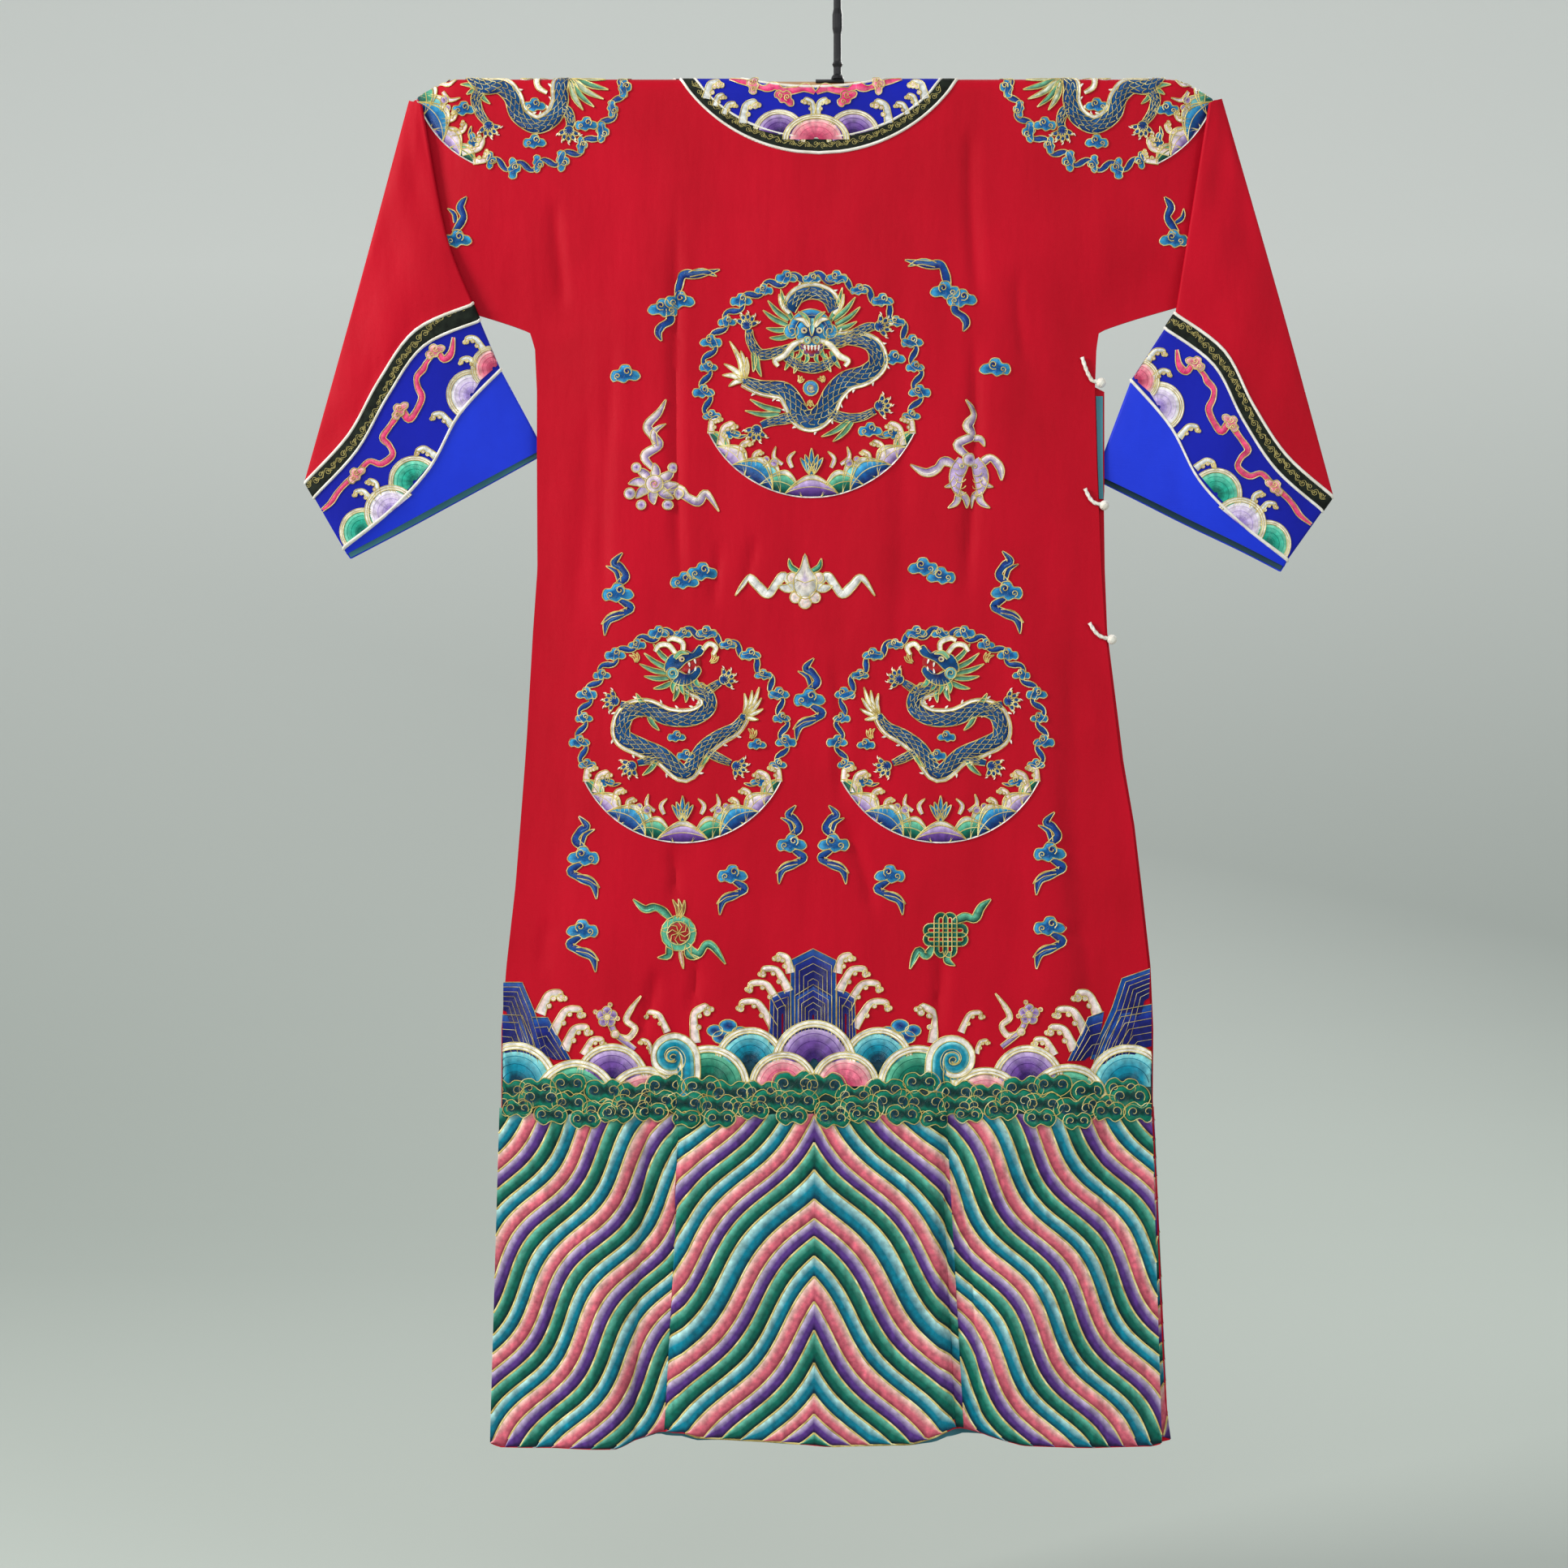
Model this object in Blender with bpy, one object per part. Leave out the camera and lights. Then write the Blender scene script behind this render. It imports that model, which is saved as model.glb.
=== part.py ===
"""A short-sleeved silk robe hung flat on a straight bar, seen from its back.

Units are metres, +Z is up and the robe's back faces -Y. The origin is the highest point inside the
hook's crook, where the hook hangs on a rod. Tables are in millimetres. In them x runs across the robe
from its centre line, depth runs down from the shoulder line, and run is the length along the cloth,
measured from the fold over the bar.
"""
import math

import bmesh
import bpy
from mathutils import Vector

MM = 0.001
BACK = -1
FRONT = 1

# Driving sizes
SHOULDER_Z = -150.0
CLOTH = 1.5
SEAM = 0.3
TRIM_LIFT = 0.7
FLAP_GAP = 0.8
BAR_RADIUS = 11.0
BAR_HALF_LENGTH = 364.0
BAR_CLEARANCE = 0.5
FOLD_RADIUS = BAR_RADIUS + BAR_CLEARANCE
SHOULDER_TIP = 413.0
TIP_RADIUS = 2.2
TIP_DROOP = 25.0
ROOT_END = 455.0
ARMPIT_DEPTH = 259.0
ROOT_END_DEPTH = 211.0
PUFF_RUN = 105.0
FOLD_FLOOR = 1.0
NECK_HALF = 73.0
NECK_BACK_RUN = 13.5
NECK_FRONT_RUN = 87.0
OVERLAP_START = 20.0
OVERLAP_SIDE_DEPTH = 318.0
FLAP_LEFT = -15.0
FLAP_HEM_DEPTH = 620.0
YOKE_WIDTH = 71.3
YOKE_CENTRE_X = 5.0
YOKE_CENTRE_RISE = 92.5
YOKE_RADIUS = 171.0

# Side outline, one row a depth: where the back ends left and right, and the overlap's right edge
SIDES = (
    # depth, left, right, overlap
    (0, -290, 291, 297),
    (259, -290, 291, 297),
    (275, -285, 288.5, 296),
    (318, -283, 287, 296),
    (395, -283, 289, 296),
    (500, -282.5, 293.5, 297.5),
    (564, -287, 297.5, 300),
    (667, -293, 309.5, 313),
    (696, -295, 313, 316.5),
    (762, -300, 325, 328),
    (825, -305, 332, 335.5),
    (905, -314, 341, 344.5),
    (970, -319, 344, 347.5),
    (1042, -319, 341, 347),
    (1146, -323, 342, 352),
    (1265, -325, 348.5, 357),
    (1350, -326, 352, 361),
    (1400, -330, 354, 366),
)

# Hem, one row a place across: how deep the back and the front hang there
HEM = (
    # x, back, front
    (-330, 1392, 1393),
    (-320, 1396, 1398),
    (-200, 1396, 1399),
    (-184, 1389, 1394),
    (-159, 1380, 1386),
    (-134, 1379, 1387),
    (-120, 1384, 1392),
    (-83, 1386, 1394),
    (-32, 1389, 1397),
    (14, 1393, 1399),
    (99, 1391, 1399),
    (123, 1384, 1394),
    (137, 1377, 1388),
    (152, 1376, 1386),
    (170, 1381, 1387),
    (212, 1392, 1393),
    (285, 1395, 1397),
    (345, 1395, 1396),
    (366, 1389, 1391),
)

# Half the space inside the robe at its middle, from the bar to the hem
PUFF = (
    # depth, half space
    (0, 11.3),
    (60, 10.5),
    (140, 8.5),
    (320, 8.0),
    (620, 8.5),
    (900, 10.5),
    (1150, 13.5),
    (1400, 16.0),
)

# Half the space at the side edges: sewn shut above the vents, open below them
SIDE_SPACE = (
    # depth, left half space, right half space
    (0, 0.15, 0.15),
    (700, 0.15, 0.15),
    (790, 0.15, 1.5),
    (1000, 2.0, 3.0),
    (1400, 4.5, 5.0),
)

# Hanging folds: the cloth is pressed in along a line, steep on one flank and soft on the other
FOLDS = (
    # side, top x, top depth, hem x, hem depth, fade-in, pressed in, left flank, right flank
    (BACK, -136, 930, -157, 1400, 300, 13.0, 62, 17),
    (BACK, 126, 950, 150, 1400, 300, 12.0, 17, 50),
    (BACK, -218, 780, -262, 1400, 380, 4.0, 38, 38),
    (BACK, 246, 560, 300, 1120, 250, 4.0, 22, 40),
    (FRONT, -118, 900, -146, 1400, 320, 12.0, 18, 58),
    (FRONT, 112, 960, 140, 1400, 300, 12.0, 55, 18),
    (FRONT, -30, 1000, -12, 1400, 260, 5.0, 45, 30),
    (FRONT, 230, 700, 268, 1400, 380, 5.0, 40, 40),
)

# Sleeves as flat tubes: lines across each tube, from its outer fold to its inner fold, as (x, depth)
SLEEVE_LINES = {
    "left": {
        "top": ((-413, 23), (-410, 24), (-406, 25), (-403, 26), (-399, 28)),
        "crease": ((-465, 218), (-443, 202), (-420, 188), (-398, 173), (-375, 157)),
        "band": ((-519, 411), (-475, 364), (-443, 308), (-405, 256), (-348, 229)),
        "piping": ((-480, 479), (-432, 441), (-391, 396), (-361, 341), (-320, 296)),
        "opening": ((-477, 485), (-426, 458), (-377, 431), (-326, 403), (-277, 376)),
    },
    "right": {
        "top": ((416, 21), (413, 22), (410, 23), (406, 24), (402, 26)),
        "crease": ((474, 225), (451, 210), (427, 194), (404, 178), (380, 163)),
        "band": ((529, 426), (482, 385), (447, 333), (417, 277), (368, 239)),
        "piping": ((483, 491), (434, 453), (392, 409), (363, 354), (324, 307)),
        "opening": ((480, 498), (433, 474), (386, 451), (339, 427), (289, 402)),
    },
}

# How far each line stands from the robe's middle plane, and half the tube's thickness there
SLEEVE_DEPTHS = {
    # line: (y at the outer fold, y at the inner fold, half thickness)
    "top": (-7.0, -10.0, 2.8),
    "crease": (-9.5, -12.5, 5.0),
    "band": (-9.0, -11.5, 7.0),
    "piping": (-6.0, -1.0, 7.5),
    "opening": (-3.0, 10.5, 8.0),
}
SLEEVE_FOLD = 2.6
SLEEVE_ACROSS = (-1.0, -0.6, -0.2, 0.2, 0.6, 1.0)
FAR_OPENING = 5.0

# What is sewn along the neck and the overlap's edge, as distances from that edge
YOKE_BANDS = (
    # name, lines across, thickness, material
    ("neck_piping", (0.4, 3.4), 1.2, "white cord"),
    ("yoke", (3.7, 8.0, 13.0, 20.0, 32.0, 52.2), 0.8, "royal blue silk"),
    ("yoke_piping_inner", (52.5, 55.5), 1.2, "white cord"),
    ("yoke_ribbon", (55.8, 67.8), 0.9, "black ribbon"),
    ("yoke_piping_outer", (68.1, 71.3), 1.2, "white cord"),
)

# What is sewn round each cuff, as distances below the seam between sleeve and cuff
CUFF_RINGS = (
    # name, from line, to line, from, to, thickness, material
    ("cuff_piping_upper", "band", "piping", 0.3, 3.3, 1.2, "white cord"),
    ("cuff_ribbon", "band", "piping", 3.6, 17.6, 0.9, "black ribbon"),
    ("cuff_piping_inner", "band", "piping", 17.9, 20.6, 1.2, "white cord"),
    ("cuff_piping_lower", "piping", "opening", 0.2, 3.2, 1.2, "white cord"),
)
LINING = 0.8

# Side closure, one row a loop: where its tail starts and the depth of its ball
LOOPS = (
    # tail x, tail depth, ball depth
    (273.5, 284, 310),
    (276.5, 418, 435),
    (281.0, 555, 572),
)
CORD_RADIUS = 2.0
BALL_RADIUS = 5.0

# Hanger
SADDLE_LEFT = 1.7
SADDLE_RIGHT = 30.6
SADDLE_WALL = 1.8
HOOK_BEND = 24.0
HOOK_ROD = 4.0
HOOK_RADII = (
    # height above the foot, radius
    (0, 6.5),
    (2.5, 6.0),
    (5, 4.0),
    (12, 4.0),
    (15, 5.4),
    (18, 4.0),
    (46, 4.0),
    (52, 5.2),
    (66, 5.2),
    (72, 4.0),
)

MATERIALS = {
    # name: (colour, roughness, metallic)
    "red silk": ((0.52, 0.008, 0.02), 0.55, 0.0),
    "royal blue silk": ((0.005, 0.03, 0.62), 0.45, 0.0),
    "white cord": ((0.85, 0.83, 0.78), 0.6, 0.0),
    "black ribbon": ((0.02, 0.022, 0.018), 0.5, 0.0),
    "teal lining": ((0.06, 0.3, 0.38), 0.6, 0.0),
    "varnished wood": ((0.45, 0.25, 0.1), 0.4, 0.0),
    "black metal": ((0.015, 0.015, 0.017), 0.35, 0.6),
}


def clear_scene():
    for obj in list(bpy.data.objects):
        bpy.data.objects.remove(obj, do_unlink=True)


def smooth(value):
    value = min(1.0, max(0.0, value))
    return value * value * (3.0 - 2.0 * value)


def mix(a, b, share):
    return a + (b - a) * share


def read(table, key, column):
    """A table's value at a key, in straight steps between its rows."""
    if key <= table[0][0]:
        return table[0][column]
    for low, high in zip(table, table[1:]):
        if key <= high[0]:
            share = (key - low[0]) / (high[0] - low[0])
            return mix(low[column], high[column], share)
    return table[-1][column]


def through(points, share):
    """A smooth curve through evenly spaced points, read at a share of its length."""
    last = len(points) - 1
    place = min(max(share, 0.0), 1.0) * last
    index = min(int(place), last - 1)
    t = place - index
    a = points[max(index - 1, 0)]
    b = points[index]
    c = points[index + 1]
    d = points[min(index + 2, last)]
    out = []
    for p, q, r, s in zip(a, b, c, d):
        curve = 2 * q + (r - p) * t + (2 * p - 5 * q + 4 * r - s) * t * t
        curve += (3 * q - p - 3 * r + s) * t ** 3
        out.append(0.5 * curve)
    return out


def make_material(name):
    material = bpy.data.materials.get(name)
    if material is None:
        colour, roughness, metallic = MATERIALS[name]
        material = bpy.data.materials.new(name)
        material.use_nodes = True
        shader = material.node_tree.nodes["Principled BSDF"]
        shader.inputs["Base Color"].default_value = (*colour, 1.0)
        shader.inputs["Roughness"].default_value = roughness
        shader.inputs["Metallic"].default_value = metallic
        material.diffuse_color = (*colour, 1.0)
    return material


def add_solid(name, points, faces, material_name):
    """A closed mesh object from points in millimetres, with its faces turned outwards."""
    mesh = bpy.data.meshes.new(name)
    mesh.from_pydata([Vector(p) * MM for p in points], [], faces)
    work = bmesh.new()
    work.from_mesh(mesh)
    bmesh.ops.recalc_face_normals(work, faces=work.faces[:])
    if work.calc_volume(signed=True) < 0:
        bmesh.ops.reverse_faces(work, faces=work.faces[:])
    work.to_mesh(mesh)
    work.free()
    mesh.shade_smooth()
    mesh.set_sharp_from_angle(angle=math.radians(40))
    material = make_material(material_name)
    material_copy = material.copy()
    material_copy.name = name
    mesh.materials.append(material_copy)
    obj = bpy.data.objects.new(name, mesh)
    bpy.context.scene.collection.objects.link(obj)
    return obj


# The hung cloth as a surface: x across and run along it give a point


def droop(x):
    past = max(0.0, (abs(x) - BAR_HALF_LENGTH - 2.0) / (SHOULDER_TIP - BAR_HALF_LENGTH - 2.0))
    return TIP_DROOP * min(past, 1.0) ** 1.3


def fold_radius(x):
    past = (abs(x) - BAR_HALF_LENGTH - 2.0) / (SHOULDER_TIP - BAR_HALF_LENGTH - 2.0)
    return mix(FOLD_RADIUS, TIP_RADIUS, min(1.0, max(0.0, past)))


def quarter(x):
    return fold_radius(x) * math.pi / 2


def depth_of_run(x, run):
    radius = fold_radius(x)
    if run < quarter(x):
        return CLOTH + droop(x) + radius * (1 - math.cos(run / radius))
    return CLOTH + droop(x) + radius + run - quarter(x)


def run_of_depth(x, depth):
    radius = fold_radius(x)
    drop = depth - CLOTH - droop(x)
    if drop < radius:
        return radius * math.acos(1 - max(0.0, drop) / radius)
    return drop - radius + quarter(x)


def underarm_depth(x):
    share = (abs(x) - 290.0) / (ROOT_END - 290.0)
    return mix(ARMPIT_DEPTH, ROOT_END_DEPTH, share ** 0.85 if share > 0 else 0.0)


def edge_distance(x, depth):
    """How far a place lies from the nearest side, underarm or root end."""
    sign = 1 if x > 0 else -1
    side = abs(read(SIDES, max(depth, ARMPIT_DEPTH), 2 if x > 0 else 1))
    reach = abs(x)
    if depth > ARMPIT_DEPTH:
        to_corner = math.hypot(290.0 - reach, depth - ARMPIT_DEPTH)
        return max(0.0, min(side - reach, to_corner) if reach < 290.0 else side - reach)
    to_end = (ROOT_END - reach) - (ROOT_END - SHOULDER_TIP) * (1 - (depth - TIP_DROOP) / 186.0)
    to_underarm = underarm_depth(reach * sign) - depth
    if reach < 290.0:
        to_underarm = math.hypot(290.0 - reach, ARMPIT_DEPTH - depth)
    return max(0.0, min(to_underarm, to_end))


def fold_depth(side, x, depth):
    total = 0.0
    for row in FOLDS:
        row_side, top_x, top_depth, hem_x, hem_depth, fade, pressed, left, right = row
        if row_side != side or depth < top_depth:
            continue
        line = mix(top_x, hem_x, (depth - top_depth) / (hem_depth - top_depth))
        offset = x - line
        flank = 1 - smooth(-offset / left if offset < 0 else offset / right)
        out = 1 - smooth((depth - hem_depth) / 150.0)
        total += pressed * smooth((depth - top_depth) / fade) * flank * out
    return total


def half_space(side, x, depth):
    """Half the space inside the robe at a place, less what its folds press in."""
    radius = fold_radius(x)
    below = depth - droop(x) - CLOTH - radius
    edge = read(SIDE_SPACE, depth, 2 if x > 0 else 1)
    middle = read(PUFF, depth, 1)
    puffed = mix(edge, middle, smooth(edge_distance(x, depth) / PUFF_RUN))
    puffed -= min(fold_depth(side, x, depth), max(0.0, puffed - edge - FOLD_FLOOR))
    return mix(radius, puffed, smooth(below / 60.0))


def over_flap(x, depth):
    """How far the overlap is lifted by the flap under it."""
    lift = CLOTH + FLAP_GAP
    return lift * smooth((x + 100.0) / 72.0) * smooth((depth - 16.0) / 50.0)


def cloth_point(side, x, run, upper=False):
    """A point on the cloth's inner face. upper is the overlap, which lies on the flap."""
    radius = fold_radius(x)
    depth = depth_of_run(x, run)
    if run < quarter(x):
        y = radius * math.sin(run / radius)
    else:
        y = half_space(side, x, depth)
    if upper:
        y += over_flap(x, depth)
    return Vector((x, side * y, SHOULDER_Z - depth))


def cloth_normal(side, x, run, upper=False):
    step = 0.4
    along = cloth_point(side, x, run + step, upper) - cloth_point(side, x, run - step, upper)
    across = cloth_point(side, x + step, run, upper) - cloth_point(side, x - step, run, upper)
    normal = across.cross(along).normalized()
    if run < 1.0:
        return normal if normal.z > 0 else -normal
    return normal if normal.y * side > 0 else -normal


def split_cell(cell, places, side, upper):
    """Two triangles, parted along the diagonal that lies closer to the cloth."""
    def off_cloth(one, other):
        (x_a, run_a), (x_b, run_b) = places[one], places[other]
        chord = (cloth_point(side, x_a, run_a, upper) + cloth_point(side, x_b, run_b, upper)) / 2
        return (chord - cloth_point(side, (x_a + x_b) / 2, (run_a + run_b) / 2, upper)).length

    a, b, c, d = cell
    if off_cloth(a, c) < off_cloth(b, d):
        return (a, b, c), (a, c, d)
    return (a, b, d), (b, c, d)


def add_sheet(name, places, cells, side, low, high, material, upper=False):
    """A closed wall over a net of cells, from low to high above the cloth's inner face."""
    keys = sorted(places, key=str)
    index = {key: number for number, key in enumerate(keys)}
    count = len(keys)
    points = []
    for lift in (low, high):
        for key in keys:
            x, run = places[key]
            base = cloth_point(side, x, run, upper)
            points.append(base + cloth_normal(side, x, run, upper) * lift)
    faces = []
    edges = set()
    for cell in cells:
        for corner in split_cell(cell, places, side, upper):
            ids = [index[key] for key in corner]
            faces.append(ids[::-1])
            faces.append([number + count for number in ids])
            edges.update(zip(ids, ids[1:] + ids[:1]))
    for a, b in sorted(edges):
        if (b, a) not in edges:
            faces.append([a, b, b + count, a + count])
    return add_solid(name, points, faces, material)


# Panels: a body block with the sleeve roots at its upper corners

# Runs of a panel's rows from the fold to the armpit, and the row where the columns under the neck start
UPPER_RUNS = (0.15, 4.5, 9.0, 13.5, 18.0, 45.0, 85.0, 135.0, 195.0, 264.0)
BACK_NECK_ROW = 2
FRONT_NECK_ROW = 5
BODY_SHARES = (0.015, 0.05, 0.12, 0.2, 0.28, 0.36, 0.44, 0.52, 0.59, 0.66, 0.72, 0.77, 0.82, 0.87,
               0.92, 0.965, 1.0)
FLAP_SHARES = (0.05, 0.15, 0.35, 0.55, 0.78, 1.0)
ROOT_CELLS = 5

# Columns, placed as they lie across the chest
BACK_COLUMNS = (-290, -276, -250, -222, -196, -175, -158, -147, -139, -132, -125, -117, -100, -78,
                -54.4, -37, -19, 0, 19, 37, 54.4, 78, 92, 100, 107, 114, 121, 131, 146, 165, 200, 235,
                262, 281, 291)
OVERLAP_COLUMNS = (-288.5, -272, -240, -205, -175, -155, -144, -136, -128, -120, -112, -98, -80,
                   -62.5, -54, -42, -25, 0, 20, 45, 66, 80, 90, 98, 106, 114, 125, 148, 172, 196, 220,
                   243, 263, 281, 297)
FLAP_COLUMNS = (-15, 0, 22, 42, 54, 62.5, 85, 120, 165, 215, 260, 282, 291)


def neck_run(x, full_run):
    inside = 1 - (x / NECK_HALF) ** 2
    return full_run * math.sqrt(inside) if inside > 0 else 0.0


def neck_x(run, full_run):
    return NECK_HALF * math.sqrt(max(0.0, 1 - (run / full_run) ** 2))


def overlap_run(x):
    """The overlap's edge, from the neck's lowest point down to the right side."""
    start = neck_run(OVERLAP_START, NECK_FRONT_RUN)
    end = run_of_depth(0.0, OVERLAP_SIDE_DEPTH)
    share = (x - OVERLAP_START) / (read(SIDES, OVERLAP_SIDE_DEPTH, 3) - OVERLAP_START)
    return mix(start, end, 0.55 * share + 0.45 * smooth(share))


def overlap_top(x):
    if x > OVERLAP_START:
        return overlap_run(x)
    return max(SEAM / 2, neck_run(x, NECK_FRONT_RUN))


def edge_columns(kind, depth):
    """Where a panel's left and right edges lie at a depth."""
    left = read(SIDES, depth, 1)
    right = read(SIDES, depth, 2)
    if kind == "overlap":
        return left + 1.5, read(SIDES, depth, 3)
    if kind == "flap":
        return FLAP_LEFT, right
    return left, right


def back_hem(x):
    return read(HEM, x, 1)


def front_hem(x):
    return read(HEM, x, 2)


def flap_hem(x):
    return FLAP_HEM_DEPTH


def armpit_line(x):
    return ARMPIT_DEPTH


def overlap_line(x):
    return mix(ARMPIT_DEPTH, 420.0, smooth((x + 120.0) / 410.0))


PANELS = {
    # name: (columns, row under the neck, neck's full run, middle line, hem, lower shares, roots)
    "back": (BACK_COLUMNS, BACK_NECK_ROW, NECK_BACK_RUN, armpit_line, back_hem, BODY_SHARES, (-1, 1)),
    "overlap": (OVERLAP_COLUMNS, FRONT_NECK_ROW, NECK_FRONT_RUN, overlap_line, front_hem, BODY_SHARES,
                (-1,)),
    "flap": (FLAP_COLUMNS, FRONT_NECK_ROW, NECK_FRONT_RUN, armpit_line, flap_hem, FLAP_SHARES, (1,)),
}


def body_column(kind, chest_x):
    """The places down one column of a panel, as (row, x, run)."""
    columns, neck_row, full_run, middle, hem, shares, roots = PANELS[kind]
    share = (chest_x - columns[0]) / (columns[-1] - columns[0])

    def x_at(depth):
        left, right = edge_columns(kind, depth)
        return mix(left, right, share)

    neck_half = neck_x(UPPER_RUNS[neck_row], full_run)
    under_neck = abs(chest_x) < neck_half - 0.5 or (kind == "overlap" and chest_x > 0)
    last = len(UPPER_RUNS) - 1
    middle_run = run_of_depth(0.0, middle(chest_x))
    neck_level = UPPER_RUNS[neck_row]
    start = overlap_top(chest_x) if kind == "overlap" else max(neck_run(chest_x, full_run), neck_level)
    if not under_neck:
        start = neck_level
    places = []
    for row, level in enumerate(UPPER_RUNS):
        if row < neck_row and under_neck:
            continue
        if row < neck_row:
            edge = columns[0] if chest_x < 0 else columns[-1]
            part = (chest_x - edge) / (math.copysign(neck_half, edge) - edge)
            x = mix(edge, math.copysign(neck_x(level, full_run), edge), part)
            places.append((row, x, level))
            continue
        down = (level - neck_level) / (UPPER_RUNS[last] - neck_level)
        places.append((row, x_at(0), mix(start, middle_run, down)))
    hem_run = run_of_depth(0.0, hem(x_at(1390)))
    for step, part in enumerate(shares, start=1):
        run = mix(middle_run, hem_run, part)
        places.append((last + step, x_at(depth_of_run(0.0, run)), run))
    return places


def root_places(sign):
    """A sleeve root's places beyond the body, keyed by (sign, step, row)."""
    places = {}
    for step in range(1, ROOT_CELLS + 1):
        part = step / ROOT_CELLS
        top_x = sign * mix(290.0, SHOULDER_TIP, part)
        end_x = sign * mix(290.0, ROOT_END, part)
        turn = quarter(top_x)
        for row, level in enumerate(UPPER_RUNS):
            if level <= 18.0:
                places[(sign, step, row)] = (top_x, max(SEAM / 2, turn * level / 18.0))
                continue
            down = (level - 18.0) / (UPPER_RUNS[-1] - 18.0)
            x = mix(top_x, end_x, down)
            depth = mix(depth_of_run(top_x, turn), underarm_depth(end_x), down)
            places[(sign, step, row)] = (x, run_of_depth(x, depth))
    return places


def panel_net(kind):
    """Places and cells of a panel."""
    columns, roots = PANELS[kind][0], PANELS[kind][-1]
    places = {}
    for column, chest_x in enumerate(columns):
        for row, x, run in body_column(kind, chest_x):
            places[(column, row)] = (x, run)
    for sign in roots:
        places.update(root_places(sign))
    cells = []
    rows = len(UPPER_RUNS) + len(PANELS[kind][5])
    for column in range(len(columns) - 1):
        for row in range(rows - 1):
            cell = [(column, row), (column + 1, row), (column + 1, row + 1), (column, row + 1)]
            if all(key in places for key in cell):
                cells.append(cell)
    for sign in roots:
        beside = 0 if sign < 0 else len(columns) - 1
        for step in range(ROOT_CELLS):
            for row in range(len(UPPER_RUNS) - 1):
                near = [(sign, step, row), (sign, step, row + 1)]
                if step == 0:
                    near = [(beside, row), (beside, row + 1)]
                cell = [near[0], (sign, step + 1, row), (sign, step + 1, row + 1), near[1]]
                cells.append(cell if sign > 0 else cell[::-1])
    return places, cells


def make_panels():
    add_sheet("back_panel", *panel_net("back"), BACK, 0.0, CLOTH, "red silk")
    add_sheet("front_overlap", *panel_net("overlap"), FRONT, 0.0, CLOTH, "red silk", upper=True)
    add_sheet("front_under_flap", *panel_net("flap"), FRONT, 0.0, CLOTH, "red silk")


# Yoke: bands between the neck's edge and an outer line


def grid_cells(columns, rows):
    cells = []
    for column in range(columns):
        for row in range(rows):
            cells.append([(column, row), (column + 1, row), (column + 1, row + 1), (column, row + 1)])
    return cells


# Outer runs of the lines across the back yoke, from its lowest point to the shoulder fold
BACK_YOKE_RUNS = (86.0, 82.0, 72.0, 59.0, 45.0, 32.0, 24.0, 18.0, 15.0, 12.0, 9.0, 6.0, 3.0, 0.15)


def back_yoke_lines():
    """The neck's edge and the yoke's outer arc on the back, as pairs of places."""
    pairs = []
    lowest = run_of_depth(0.0, YOKE_RADIUS - YOKE_CENTRE_RISE)
    stations = [(-1, run) for run in BACK_YOKE_RUNS[::-1]] + [(1, run) for run in BACK_YOKE_RUNS[1:]]
    for sign, run in stations:
        level = run / BACK_YOKE_RUNS[0]
        inner_run = max(SEAM / 2, NECK_BACK_RUN * level)
        inner_x = sign * NECK_HALF * math.sqrt(1 - level * level)
        outer_run = max(SEAM / 2, lowest * level)
        rise = (YOKE_CENTRE_RISE + depth_of_run(0.0, outer_run)) / YOKE_RADIUS
        outer_x = YOKE_CENTRE_X + sign * YOKE_RADIUS * math.sqrt(max(0.0, 1 - rise * rise))
        pairs.append(((inner_x, inner_run), (outer_x, outer_run)))
    return pairs


FRONT_NECK_RUNS = (0.15, 3.0, 6.0, 9.0, 12.0, 15.0, 18.0, 24.0, 34.0, 47.0, 60.0, 72.0, 81.0, 86.0)
OVERLAP_STATIONS = (0.0, 20.0, 45.0, 75.0, 110.0, 145.0, 180.0, 215.0, 250.0, 280.0, 295.4)
OVERLAP_TILT = 35.0


def front_yoke_lines():
    """Round the neck's left half and along the overlap's edge to the right side."""
    pairs = []
    for run in FRONT_NECK_RUNS:
        x = -NECK_HALF * math.sqrt(max(0.0, 1 - (run / NECK_FRONT_RUN) ** 2))
        direction = Vector((x / NECK_HALF ** 2, run / NECK_FRONT_RUN ** 2)).normalized()
        if run < 1.0:
            direction = Vector((-1.0, 0.0))
        outer = Vector((x, run)) + direction * YOKE_WIDTH
        pairs.append(((x, run), tuple(outer)))
    for x in OVERLAP_STATIONS:
        run = overlap_top(x)
        share = max(0.0, (x - 5.0) / (OVERLAP_STATIONS[-1] - 5.0))
        tilt = math.radians(OVERLAP_TILT) * math.sin(math.pi * share)
        outer = (x - YOKE_WIDTH * math.sin(tilt), run + YOKE_WIDTH * math.cos(tilt))
        pairs.append(((x, run), outer))
    return pairs


FLAP_NECK_RUNS = (0.15, 3.0, 6.0, 9.0, 12.0, 15.0, 18.0, 30.0, 45.0, 60.0, 72.0, 80.0)


def flap_yoke_lines():
    """Round the neck's right half, down to the overlap's edge."""
    pairs = []
    last = FLAP_NECK_RUNS[-1]
    for run in FLAP_NECK_RUNS:
        x = NECK_HALF * math.sqrt(1 - (run / NECK_FRONT_RUN) ** 2)
        share = run / last
        outer_x = mix(NECK_HALF + YOKE_WIDTH, 92.0, share ** 1.6)
        outer_run = mix(0.15, overlap_run(92.0) - 3.0, share)
        pairs.append(((x, run), (outer_x, outer_run)))
    return pairs


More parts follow.
